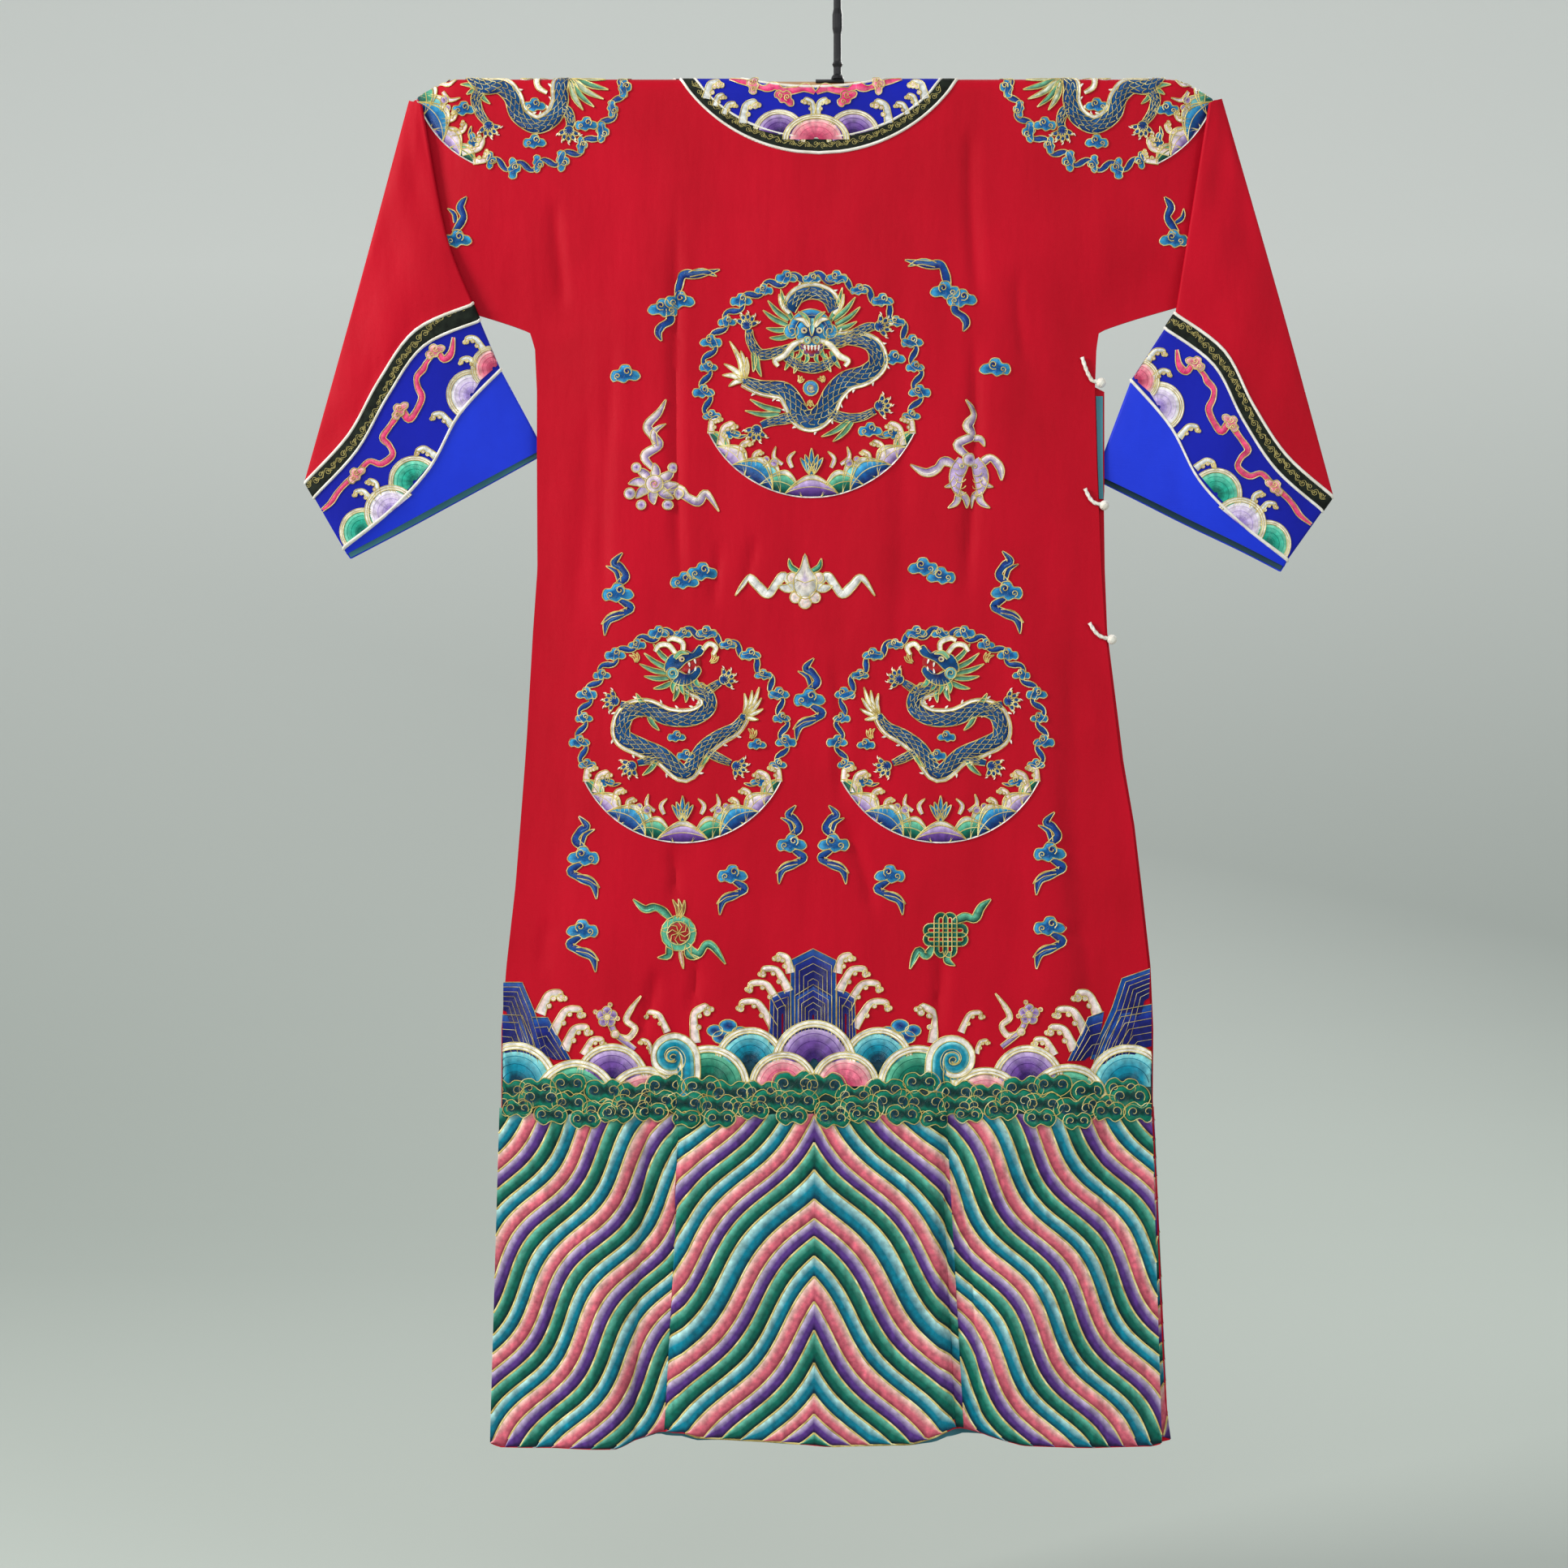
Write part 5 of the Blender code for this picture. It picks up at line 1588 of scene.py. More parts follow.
class Embroidery:
    """Stitched areas and threads on one surface, gathered into one mesh."""

    def __init__(self, surface, seed=1, plain=False):
        """plain leaves out the finest threads and takes longer steps, for sides that hardly show."""
        self.plain = plain
        self.reach = (-np.inf, np.inf)
        self.surface = surface
        self.random = np.random.default_rng(seed)
        self.points, self.colours, self.threads = [], [], []
        self.faces, self.slots = [], []
        self.count = 0
        self.place()

    def place(self, x=0.0, y=0.0, scale=1.0, turn=0.0, mirror=1):
        """Where what is drawn next goes: moved, enlarged, turned in degrees and mirrored."""
        c, s = math.cos(math.radians(turn)), math.sin(math.radians(turn))
        self.matrix = scale * np.array([[c * mirror, -s], [s * mirror, c]])
        self.shift = np.array([x, y], float)
        self.scale = scale

    def put(self, path):
        """Places a path. What would pass the borders in reach is held at them."""
        path = np.asarray(path, float) @ self.matrix.T + self.shift
        path[:, 0] = np.clip(path[:, 0], *self.reach)
        return path

    def thinned(self, path):
        count = len(path)
        if not self.plain or count < 6:
            return path
        return path[np.unique(np.append(np.arange(0, count, 2), count - 1))]

    def add_grid(self, grid, heights, colours, threads, slot):
        """A grid of points, (along, across, 2), with a height and a colour for each."""
        rows, across = grid.shape[:2]
        start = self.count
        flat = grid.reshape(-1, 2)
        self.points.append(np.column_stack([flat, heights.reshape(-1)]))
        self.colours.append(colours.reshape(-1, 3))
        self.threads.append(threads.reshape(-1, 2))
        self.count += rows * across
        a = start + (np.arange(rows - 1)[:, None] * across + np.arange(across - 1)[None, :]).reshape(-1)
        self.faces.append(np.column_stack([a, a + 1, a + across + 1, a + across]))
        self.slots.append(np.full(len(a), slot))

    def loft(self, one, other, tones, height=0.45, level=0.0, parts=4, inner_edge=True):
        """A raised satin area between two curves. tones go from the first curve to the other."""
        one, other = self.thinned(self.put(one)), self.thinned(self.put(other))
        shares = np.append(0.0, np.linspace(0.1, 1.0, parts))
        if inner_edge:
            shares = np.concatenate([[0.0], np.linspace(0.1, 0.9, parts - 1), [1.0]])
        crown = np.sin(shares * (math.pi if inner_edge else math.pi / 2))
        heights = SATIN_RISE + level + height * (0.3 + 0.7 * crown)
        heights[0] = SUNK
        if inner_edge:
            heights[-1] = SUNK
        grid = one[:, None, :] + (other - one)[:, None, :] * shares[None, :, None]
        tones = np.array(tones, float)
        colours = np.stack([np.interp(shares, np.linspace(0, 1, len(tones)), tones[:, channel])
                            for channel in range(3)], axis=-1)
        colours = colours[None] * self.random.normal(1.0, SATIN_UNEVEN, (len(one), 1, 1))
        length = lengths_along(one) * PIXEL
        width = np.linalg.norm(other - one, axis=1).mean() * PIXEL
        threads = np.stack(np.broadcast_arrays(length[:, None], width * shares[None, :]), axis=-1)
        self.add_grid(grid, np.repeat(heights[None], len(one), axis=0), colours, threads, SATIN)

    def fill(self, outline, tones, height=0.5, level=0.0, parts=3):
        """A closed outline filled from its edge to its centre."""
        outline = np.asarray(outline, float)
        middle = np.repeat(outline.mean(axis=0)[None], len(outline), axis=0)
        self.loft(outline, middle, tones, height, level, parts, inner_edge=False)

    def patch(self, points, tones, level, width=1.2, **shape):
        """A smooth closed outline through points, filled and edged with gold."""
        outline = spline(points, 3, closed=True)
        self.fill(outline, tones, level=level, **shape)
        self.line(outline, width, level)

    def line(self, path, width=1.2, level=0.0, height=0.75, colour=GOLD, slot=METAL_THREAD):
        """A thread couched along a path."""
        if self.plain and width < 1.0:
            return
        path = self.thinned(np.asarray(path, float))
        half = width / 2 / max(self.scale, 1e-6)
        one, other = self.put(offset(path, -half)), self.put(offset(path, half))
        grid = np.stack([one, mix(one, other, 0.5), other], axis=1)
        top = THREAD_RISE + level + height
        heights = np.broadcast_to([top - 0.5, top, top - 0.5], grid.shape[:2]).copy()
        colours = np.broadcast_to(colour, (*grid.shape[:2], 3)).astype(float)
        length = lengths_along(one)[:, None] * PIXEL
        threads = np.stack(np.broadcast_arrays(length, np.array([0.0, 0.6, 1.2])), axis=-1)
        self.add_grid(grid, heights, colours, threads, slot)

    def band(self, path, widths, tones, height=0.45, level=0.0, parts=4, edges=True):
        """A band of satin along a path, edged with gold. widths are read evenly along it."""
        path = np.asarray(path, float)
        half = spread(widths, len(path)) / 2
        one, other = offset(path, -half), offset(path, half)
        self.loft(one, other, tones, height, level, parts)
        if edges:
            self.line(one, level=level)
            self.line(other, level=level)

    def leaf(self, start, tip, width, tones, bend=0.0, level=0.0, edges=True):
        """A pointed leaf from a root to a tip."""
        start, tip = np.asarray(start, float), np.asarray(tip, float)
        reach = tip - start
        middle = (start + tip) / 2 + np.array([-reach[1], reach[0]]) * bend
        widths = (width * 0.7, width, width * 0.75, 0.3)
        self.band(spline([start, middle, tip], 4), widths, tones, level=level, parts=3, edges=edges)

    def disc(self, x, y, radius, tones, level=0.0, squash=1.0, edge=True):
        outline = arc(x, y, radius, 0, 360, 14 if radius > 4 else 8, squash)
        self.fill(outline, tones, level=level)
        if edge:
            self.line(outline, level=level)

    def build(self, name):
        """The mesh, with every face turned away from the cloth."""
        plan = np.concatenate(self.points)
        places = self.surface(plan[:, 0], plan[:, 1], plan[:, 2])
        above = self.surface(plan[:, 0], plan[:, 1], plan[:, 2] + 1.0)
        faces = np.concatenate(self.faces)
        a, b, c, d = (places[faces[:, corner]] for corner in range(4))
        normals = np.cross(c - a, d - b)
        outwards = (above - places)[faces[:, 0]]
        inside_out = np.einsum("ij,ij->i", normals, outwards) < 0
        faces[inside_out] = faces[inside_out][:, ::-1]
        obj = make_object(name, places, faces.tolist(), [MATERIALS["satin"], MATERIALS["gold"]],
                          np.concatenate(self.slots), sharp=75.0)
        mesh = obj.data
        colours = np.concatenate(self.colours)
        layer = mesh.color_attributes.new("thread", "FLOAT_COLOR", "POINT")
        opaque = np.column_stack([np.clip(colours, 0, 1), np.ones(len(colours))])
        layer.data.foreach_set("color", opaque.ravel())
        threads = np.concatenate(self.threads) * MM
        corners = np.empty(len(mesh.loops), int)
        mesh.loops.foreach_get("vertex_index", corners)
        mesh.uv_layers.new(name="threads").data.foreach_set("uv", threads[corners].ravel())
        return obj


SATIN_THREAD = 0.0009
GOLD_THREAD = 0.0013
SHADED = (0.6, 0.6, 0.6)
LIT = (1.3, 1.3, 1.3)
GOLD_DULL = srgb(160, 136, 68)
GOLD_WORN = srgb(214, 196, 118)
GOLD_BRIGHT = srgb(250, 242, 190)


def satin_material():
    """Embroidered satin: fine side-by-side threads, in the colours that each area carries."""
    material, tree, shader = nodes_of("satin thread")
    colour = add_node(tree, "ShaderNodeAttribute", attribute_name="thread")
    place = add_node(tree, "ShaderNodeUVMap", uv_map="threads").outputs["UV"]
    uneven = noise(tree, scaled_place(tree), 160.0, 3.0)
    shade = ramp(tree, uneven, ((0.25, SHADED), (0.75, LIT)))
    tinted = add_node(tree, "ShaderNodeMix", data_type="RGBA", blend_type="MULTIPLY")
    tinted.inputs[0].default_value = 1.0
    tree.links.new(colour.outputs["Color"], tinted.inputs[6])
    tree.links.new(shade, tinted.inputs[7])
    strands = thread_wave(tree, place, SATIN_THREAD, distortion=1.2)
    normal = bump(tree, strands, 0.55, 0.0004, bump(tree, uneven, 0.35, 0.0006))
    finish_shader(tree, shader, tinted.outputs[2], normal, Roughness=0.4, Specular_IOR_Level=0.2)
    return material


def gold_material():
    """Gold-wrapped thread, twisted and a little tarnished."""
    material, tree, shader = nodes_of("gold thread")
    place = add_node(tree, "ShaderNodeUVMap", uv_map="threads").outputs["UV"]
    aged = noise(tree, scaled_place(tree), 90.0, 4.0)
    colour = ramp(tree, aged, ((0.3, GOLD_DULL), (0.55, GOLD_WORN), (0.75, GOLD_BRIGHT)))
    normal = bump(tree, thread_wave(tree, place, GOLD_THREAD), 0.35, 0.0003)
    finish_shader(tree, shader, colour, normal, Roughness=0.4, Metallic=0.12)
    return material


MATERIALS["satin"] = satin_material()
MATERIALS["gold"] = gold_material()


# The hem: slanting stripes of water under curling waves, with rocks that rise from them

# Where the gold threads cross the centre line, from the top down
APEX_LINES = (1374.0, 1407.5, 1441.0, 1477.0, 1501.0, 1523.0, 1547.0, 1572.0, 1603.0, 1638.0, 1678.0,
              1716.0, 1741.0, 1764.0)
# Each stripe's light, middle and dark threads: partly the threads' own grading, partly painted highlight on
# the upper edge and painted shade on the lower edge
STRIPE_TONES = (
    (srgb(212, 198, 222), srgb(90, 54, 134), srgb(40, 16, 72)),
    (srgb(112, 196, 172), srgb(0, 100, 84), srgb(0, 36, 42)),
    (srgb(196, 238, 232), srgb(0, 124, 148), srgb(0, 54, 80)),
    (srgb(246, 216, 200), srgb(216, 104, 122), srgb(160, 60, 80)),
)
STRIPE_PITCH = 17.3
STRIPES_ABOVE = 26
# How the stripes sway, as (lean in degrees, sway, length of a sway, where it starts along the stripe)
CENTRE_SWAY = (51.0, 8.25, 220.0, 1180.0)
SIDE_SWAY = (55.2, 9.3, 195.0, 1411.0)
SIDE_STEP = 0.91
STRIPE_TOP = 1366.0
FOLD_TOP_X = 163.0
FOLD_LEAN = 0.055
STRIPE_COLUMN = 4.0
STRIPE_END = 1800.0
STRIPE_ROWS = 220
# How far the stripes reach to each side, as (width at their top, lean outwards)
STRIPE_REACH = {
    BACK_HEM: {-1: (388.5, 0.028), 1: (417.0, 0.030)},
    FRONT_HEM: {-1: (387.0, 0.028), 1: (422.0, 0.044)},
}
FACING_START = 423.0
FACING_END = 450.0
FACING_LEAN = 0.044


def stripe_level(a, y, sway):
    """Rises by a pitch from stripe to stripe, at a distance from the centre line and a height."""
    lean, height, length, start = sway
    c, s = math.cos(math.radians(lean)), math.sin(math.radians(lean))
    along = c * a + s * y
    return c * y - s * a + height * np.sin(2 * math.pi * (along - start) / length)


def stripe_region(e, sign, start, end, edge_lean, sway, shift, hem):
    """Stripes between two lines that lean outwards as they go down."""
    lines = [float(stripe_level(0.0, y, CENTRE_SWAY)) for y in APEX_LINES]
    lines = [lines[0] - STRIPE_PITCH * step for step in range(STRIPES_ABOVE, 0, -1)] + lines
    lines += [lines[-1] + STRIPE_PITCH * step for step in (1, 2)]
    count = max(2, round((end - start) / STRIPE_COLUMN))
    heights = np.linspace(STRIPE_TOP, STRIPE_END, STRIPE_ROWS)
    rows = []
    for step in range(count + 1):
        share = step / count
        lean = mix(edge_lean[0], edge_lean[1], share)
        across = mix(start, end, share) + lean * (heights - STRIPE_TOP)
        level = stripe_level(across, heights, sway) + shift * STRIPE_PITCH
        low = np.interp(FRAME_X + sign * across[-1], hem[0], hem[1])
        y = np.interp(lines, level, heights, left=STRIPE_TOP, right=STRIPE_END)
        y = np.clip(y, STRIPE_TOP, low)
        rows.append(np.stack([FRAME_X + sign * np.interp(y, heights, across), y], axis=1))
    rows = np.array(rows)
    for number in range(len(lines) - 1):
        one, other = rows[:, number], rows[:, number + 1]
        tall = np.flatnonzero(other[:, 1] - one[:, 1] > 0.4)
        if len(tall) < 2:
            continue
        part = slice(max(tall[0] - 1, 0), tall[-1] + 2)
        light, middle, dark = np.array(STRIPE_TONES[(number - STRIPES_ABOVE) % 4])
        # From painted highlight at the upper edge to painted shade at the lower edge, over the threads' own
        # grading
        tones = (light, mix(light, middle, 0.35), mix(light, middle, 0.75), middle, middle, dark, dark)
        e.loft(one[part], other[part], tones, height=1.5, parts=6)
        inner = (other[:, 1] > STRIPE_TOP + 1) & (other[:, 1] < rows[:, -1, 1].max() - 1)
        inner &= other[:, 1] < np.interp(other[:, 0], hem[0], hem[1]) - 0.5
        run = np.flatnonzero(inner)
        if len(run) > 2:
            e.line(other[run[0]:run[-1] + 1], width=2.2, level=0.3)


def hem_line(column):
    """The hem's edge in pixels, from the hem table's column of one side."""
    edge_x = [row[0] / PIXEL + FRAME_X for row in HEM]
    edge_y = [row[column] / PIXEL + FRAME_Y - 0.8 for row in HEM]
    return edge_x, edge_y


def stripes(e, column):
    """Both halves of one side. column is the hem table's column of this side."""
    hem = hem_line(column)
    for sign, (end, lean) in STRIPE_REACH[column].items():
        stripe_region(e, sign, 0.0, FOLD_TOP_X, (0.0, FOLD_LEAN), CENTRE_SWAY, 0.0, hem)
        stripe_region(e, sign, FOLD_TOP_X, end, (FOLD_LEAN, lean), SIDE_SWAY, SIDE_STEP, hem)


def fan(e, x, y, radius, tones, level, start=180.0, end=360.0, squash=1.0):
    """A half-round wave: a double cream rim edged with gold round satin that darkens inwards."""
    rim = radius * 0.16
    outer, middle, inner, core = (arc(x, y, reach, start, end, 22, squash)
                                  for reach in (radius, radius - rim * 0.55, radius - rim, radius * 0.08))
    e.loft(outer, middle, (WHITE, CREAM), height=0.5, level=level, parts=3)
    e.loft(middle, inner, (WHITE, CREAM), height=0.5, level=level, parts=3)
    light, main, dark = np.array(tones)
    shades = (light, mix(light, main, 0.55), main, main, dark, dark)
    e.loft(inner, core, shades, height=0.5, level=level, parts=6, inner_edge=False)
    for edge in (outer, middle, inner):
        e.line(edge, width=0.9 if radius < 40 else 1.2, level=level)
    for share, tone in ((0.32, tones[2]), (0.5, tones[2]), (0.68, tones[1])):
        ring = arc(x, y, radius * share, start + 12, end - 12, 14, squash)
        e.line(ring, width=1.3, level=level + 0.1, height=0.45, colour=tone, slot=SATIN)


FANS = (
    # x from the centre, y, radius, tones, level
    (-369, 1338, 53, TURQUOISES, 0.3),
    (-79, 1309, 43, TURQUOISES, 0.3),
    (79, 1309, 43, TURQUOISES, 0.3),
    (388, 1340, 52, TURQUOISES, 0.3),
    (-249, 1330, 44, PURPLES, 0.5),
    (263, 1332, 44, PURPLES, 0.5),
    (0, 1308, 51, PURPLES, 0.7),
    (-130, 1338, 50, GREENS, 0.9),
    (128, 1338, 50, GREENS, 0.9),
    (-293, 1358, 52, GREENS, 0.9),
    (312, 1363, 52, GREENS, 0.9),
    (-209, 1362, 48, PINKS, 1.1),
    (211, 1363, 48, PINKS, 1.1),
    (-38, 1338, 42, PINKS, 1.2),
    (38, 1338, 42, PINKS, 1.2),
)


BREAKER_SCALE = 1.12
BREAKER_STEM = ((24, 50), (31, 22), (31, 0))
BREAKER_WIDTHS = (17, 19, 19, 17, 13, 9, 5, 2)
BREAKERS = (
    # x from the centre, y, mirror, level
    (-175, 1303, 1, 2.1),
    (172, 1306, -1, 2.1),
)


def breaker(e, x, y, mirror, level):
    """A curling wave: a thick stem that rolls over into a spiral."""
    e.place(x, y, BREAKER_SCALE, mirror=mirror)
    path = np.concatenate([spline(BREAKER_STEM, 6)[:-1], spiral(0, 0, 31, 0, -1.9, 48, 0.06)])
    width = spread(BREAKER_WIDTHS, len(path))
    inner = offset(path, -width)
    rim = offset(path, -width * 0.34)
    tones = (TURQUOISE_LIGHT, TURQUOISE, TURQUOISE, TURQUOISE_DARK)
    e.fill(arc(0, 0, 24, 0, 360, 20), tones[1:], level=level - 0.2)
    e.loft(path, rim, (CREAM, WHITE), level=level, parts=3)
    e.loft(rim, inner, tones, level=level, height=0.6, parts=5)
    for edge in (path, rim, inner):
        e.line(edge, level=level)
    e.place()


SPRAYS = (
    # foot x, foot y, tip x, tip y, width: foam that curls over, left of the centre line
    (-29, 1199, -43, 1177, 9),
    (-31, 1222, -61, 1194, 9),
    (-40, 1243, -77, 1212, 9),
    (-50, 1266, -88, 1235, 9),
    (-146, 1285, -134, 1240, 10),
    (-181, 1272, -204, 1248, 7),
    (-200, 1298, -212, 1282, 5),
    (-338, 1250, -314, 1224, 11),
    (-322, 1274, -290, 1244, 10),
    (-308, 1294, -281, 1266, 10),
    (-284, 1300, -262, 1281, 8),
)


def spray(e, foot, tip, width, level=0.4, tones=(FOAM, WHITE)):
    """Foam that rises, curls over at its tip and has small drops along its hollow side."""
    # Gathers each sheet of cloth with what is sewn on it.
    foot, tip = np.array(foot, float), np.array(tip, float)
    reach = tip - foot
    normal = np.array([reach[1], -reach[0]]) * (1 if reach[0] < 0 else -1)
    normal /= np.linalg.norm(normal)
    size = np.linalg.norm(reach)
    bulge = -normal if normal[1] > 0 else normal
    crest = foot + reach * 0.72 + bulge * size * 0.22
    hook = tip + np.array([np.sign(reach[0]) * size * 0.05, size * 0.16])
    path = spline([foot, foot + reach * 0.35 + bulge * size * 0.13, crest, tip, hook], 5)
    e.band(path, (width * 1.2, width, width * 0.8, width * 0.75, width * 0.35), tones, level=level, parts=3)
    for share in (0.3, 0.5, 0.7, 0.86):
        spot = path[int(share * (len(path) - 1))] - bulge * width * 0.62
        e.disc(*spot, width * 0.3, (WHITE, FOAM), level=level + 0.15)
    e.disc(*hook, width * 0.42, (WHITE, FOAM), level=level + 0.2)


PEBBLES = ((-122, 1270, 10), (-106, 1264, 11), (-91, 1272, 10), (-114, 1278, 11), (-99, 1280, 12))


def rock(e, outer, inner, lines, level):
    """A faceted rock: gold contours nested between its outline and its heart."""
    one, other = (bent([(FRAME_X + x, y) for x, y in points], 6) for points in (outer, inner))
    e.loft(one, other, (MID_BLUE, ROYAL, NAVY, NAVY, NAVY, NAVY), level=level, parts=6, inner_edge=False)
    for number in range(lines):
        share = number / lines
        e.line(mix(one, other, share), width=0.7, level=level + 0.12 * (1 - share))


ROCKS = (
    # outline and heart as (x from the centre, y), contours, level
    (((-29, 1280), (-29, 1183), (-1, 1169), (27, 1183), (27, 1280)),
     ((-2, 1280), (-2, 1216), (-1, 1215), (0, 1216), (0, 1280)), 5, 0.3),
    (((-56, 1288), (-54, 1228), (-44, 1223), (-29, 1218), (-28, 1288)),
     ((-40, 1288), (-40, 1250), (-39, 1249), (-38, 1248), (-38, 1288)), 3, 0.5),
    (((28, 1288), (28, 1218), (40, 1222), (50, 1228), (52, 1288)),
     ((38, 1288), (38, 1248), (39, 1249), (40, 1250), (40, 1288)), 3, 0.5),
    (((-24, 1284), (-24, 1227), (-1, 1213), (22, 1227), (22, 1284)),
     ((-2, 1284), (-2, 1251), (-1, 1250), (0, 1251), (0, 1284)), 5, 0.7),
    (((-384, 1211), (-360, 1211), (-345, 1246), (-326, 1306)),
     ((-384, 1246), (-380, 1247), (-374, 1268), (-366, 1306)), 6, 0.3),
    (((-386, 1251), (-360, 1252), (-348, 1280), (-340, 1312)),
     ((-386, 1296), (-382, 1297), (-379, 1304), (-376, 1312)), 5, 0.5),
    (((-348, 1254), (-328, 1254), (-314, 1280), (-300, 1306)),
     ((-335, 1306), (-332, 1300), (-326, 1303), (-322, 1306)), 4, 0.6),
    (((415, 1194), (380, 1206), (368, 1242), (340, 1306)),
     ((414, 1230), (408, 1234), (402, 1260), (392, 1306)), 6, 0.3),
    (((417, 1238), (374, 1246), (356, 1280), (344, 1312)),
     ((418, 1290), (404, 1292), (396, 1300), (392, 1312)), 6, 0.5),
    (((358, 1247), (337, 1254), (324, 1282), (312, 1307)),
     ((350, 1300), (344, 1300), (336, 1304), (332, 1307)), 4, 0.6),
)


CURL_SIZE = 13.0
CURL_OUTLINE = ((-15, 2), (-13, -7), (-5, -9), (0, -6), (6, -10), (13, -7), (16, 1), (10, 8), (1, 5), (-6, 9))
CURL_TONES = (EMERALD, EMERALD, GREEN, GREEN_DARK, GREEN_DARK)
CURL_ROWS = (
    # y, step, size
    (1343.0, 41.0, 21.0),
    (1361.0, 35.0, 20.0),
    (1375.0, 45.0, 16.5),
)


def curl(e, x, y, size, level, mirror):
    """A linked cloud curl: a green head with two lobes, edged with gold and curled round dark hearts."""
    e.place(x, y, size / CURL_SIZE, mirror=mirror)
    e.patch(CURL_OUTLINE, CURL_TONES, level, 1.0, parts=4)
    for side in (-1, 1):
        e.disc(side * 7, -1, 4.2, (TURQUOISE_DARK, GREEN_DARK), level + 0.35, edge=False)
        e.line(spiral(side * 7, -1, 5.2, 90 - side * 50, -side * 0.9, 9, 0.3), 0.9, level + 0.35)
    e.place()


def curl_band(e, left, right):
    """Linked curls in three uneven rows, which hide where the waves turn into stripes."""
    for row, (y, step, size) in enumerate(CURL_ROWS):
        x = left + 8 + 6 * row
        while x < right - 4:
            up = 6.0 * math.sin(x * 0.043 + row) + e.random.uniform(-3, 3)
            own_size = size * e.random.uniform(0.85, 1.15)
            level = 2.5 + 0.35 * row + 0.2 * e.random.random()
            curl(e, x, y + up, own_size, level, 1 if e.random.random() < 0.5 else -1)
            x += step * e.random.uniform(0.85, 1.15)


FAN_LIFT = 0.7
LEFT_ROCKS = -250
LEFT_SHIFT = 12
BEHIND_TONES = (TURQUOISE_DARK, GREEN_DARK)
HIDING_BANDS = {
    # name: y, half its length or none for the whole border, steps, width, tones, level, parts
    "far": (1337, None, 60, 28, BEHIND_TONES, 0.3, 2),
    "middle": (1316, 108, 20, 32, BEHIND_TONES, 0.4, 2),
    "ground": (1357, None, 90, 36, (GREEN_DARK, GREEN_DARK), 1.6, 3),
}


def hiding_band(e, name, left, right):
    """A plain dark band that hides the cloth between the waves."""
    y, half, steps, width, tones, level, parts = HIDING_BANDS[name]
    if half is not None:
        left, right = -half, half
    path = bent([(FRAME_X + left, y), (FRAME_X + right, y)], steps)
    e.band(path, (width, width), tones, level=level, parts=parts, edges=False)


def wave_border(e, left, right):
    e.reach = (FRAME_X + left, FRAME_X + right)
    hiding_band(e, "far", left, right)
    hiding_band(e, "middle", left, right)
    for x, y, radius, tones, level in FANS:
        fan(e, FRAME_X + x, y, radius, tones, level + FAN_LIFT)
    for x, *row in BREAKERS:
        breaker(e, FRAME_X + x, *row)
    for row in ROCKS:
        rock(e, *row)
    for side in (1, -1):
        for foot_x, foot_y, tip_x, tip_y, width in SPRAYS:
            middle = FRAME_X - (LEFT_SHIFT * side if foot_x < LEFT_ROCKS and side < 0 else 0)
            spray(e, (middle + side * foot_x, foot_y), (middle + side * tip_x, tip_y), width)
        for x, y, radius in PEBBLES:
            e.disc(FRAME_X + side * x, y, radius, (LIGHT_BLUE, MID_BLUE, NAVY), 0.3, 0.72)
    hiding_band(e, "ground", left, right)
    curl_band(e, FRAME_X + left, FRAME_X + right)


# Small motifs: clouds, ribbons, claws, scales. Each is drawn round its own centre, in pixels.


CLOUD_OUTLINE = ((-19, 3), (-16, -5), (-8, -6), (-4, -12), (5, -12), (9, -6), (16, -4), (20, 3), (14, 8),
                 (5, 7), (-1, 11), (-9, 8), (-15, 9))
LARGE_CLOUD = 0.72


def small_cloud(e, x, y, size=1.0, level=0.3, mirror=1):
    """A lobed cloud with a gold edge and a spiral in each of its two heads."""
    outline = [(x + mirror * px * size, y + py * size) for px, py in CLOUD_OUTLINE]
    e.patch(outline, (LIGHT_BLUE, MID_BLUE, MID_BLUE), level, 1.15)
    head_x, head_y = x + mirror * 3 * size, y - 4 * size
    e.disc(head_x, head_y, 3.4 * size, (NAVY, NAVY), level + 0.3, edge=False)
    e.line(spiral(head_x, head_y, 6.5 * size, 60, -mirror * 1.3, 12, 0.15), level=level + 0.35)
    if size > LARGE_CLOUD:
        lobe = spiral(x - mirror * 9 * size, y + 2 * size, 4.5 * size, 100, mirror * 1.2, 9, 0.2)
        e.line(lobe, level=level + 0.25)


RIBBON_TONES = (MID_BLUE, ROYAL, NAVY)


def ribbon(e, points, width, tones=RIBBON_TONES, level=0.3):
    """A flowing ribbon with pointed ends. Its far half is folded over and shows a lighter side."""
    path = spline(points, 6)
    width *= 1.25
    e.band(path, (width * 0.5, width, width * 0.8, width, width * 0.8, 0.8), tones, level=level, parts=3)
    folded = path[len(path) // 2:]
    lighter = (tones[0], mix(np.array(tones[0]), 0.7, 0.35))
    e.band(folded, (width * 0.35, width * 0.5, width * 0.4, 0.5), lighter, level=level + 0.3, parts=2,
           edges=False)


def tailed_cloud(e, x, y, mirror, scale, up=True):
    """A cloud with a ribbon that streams down from it, and with up one that flies up."""
    e.place(x, y, scale, mirror=mirror)
    if up:
        ribbon(e, ((-4, -8), (10, -20), (4, -32), (-4, -38), (6, -50)), 8.0, level=0.25)
        e.leaf((2, -14), (-14, -34), 6, RIBBON_TONES, 0.2, 0.2)
    ribbon(e, ((2, 8), (16, 18), (4, 26), (-12, 34), (-16, 52)), 8.5, level=0.25)
    e.leaf((8, 24), (-20, 38), 6, (LIGHT_BLUE, MID_BLUE), 0.15, 0.2)
    small_cloud(e, 0, 0, 1.0, 0.45)
    e.place()


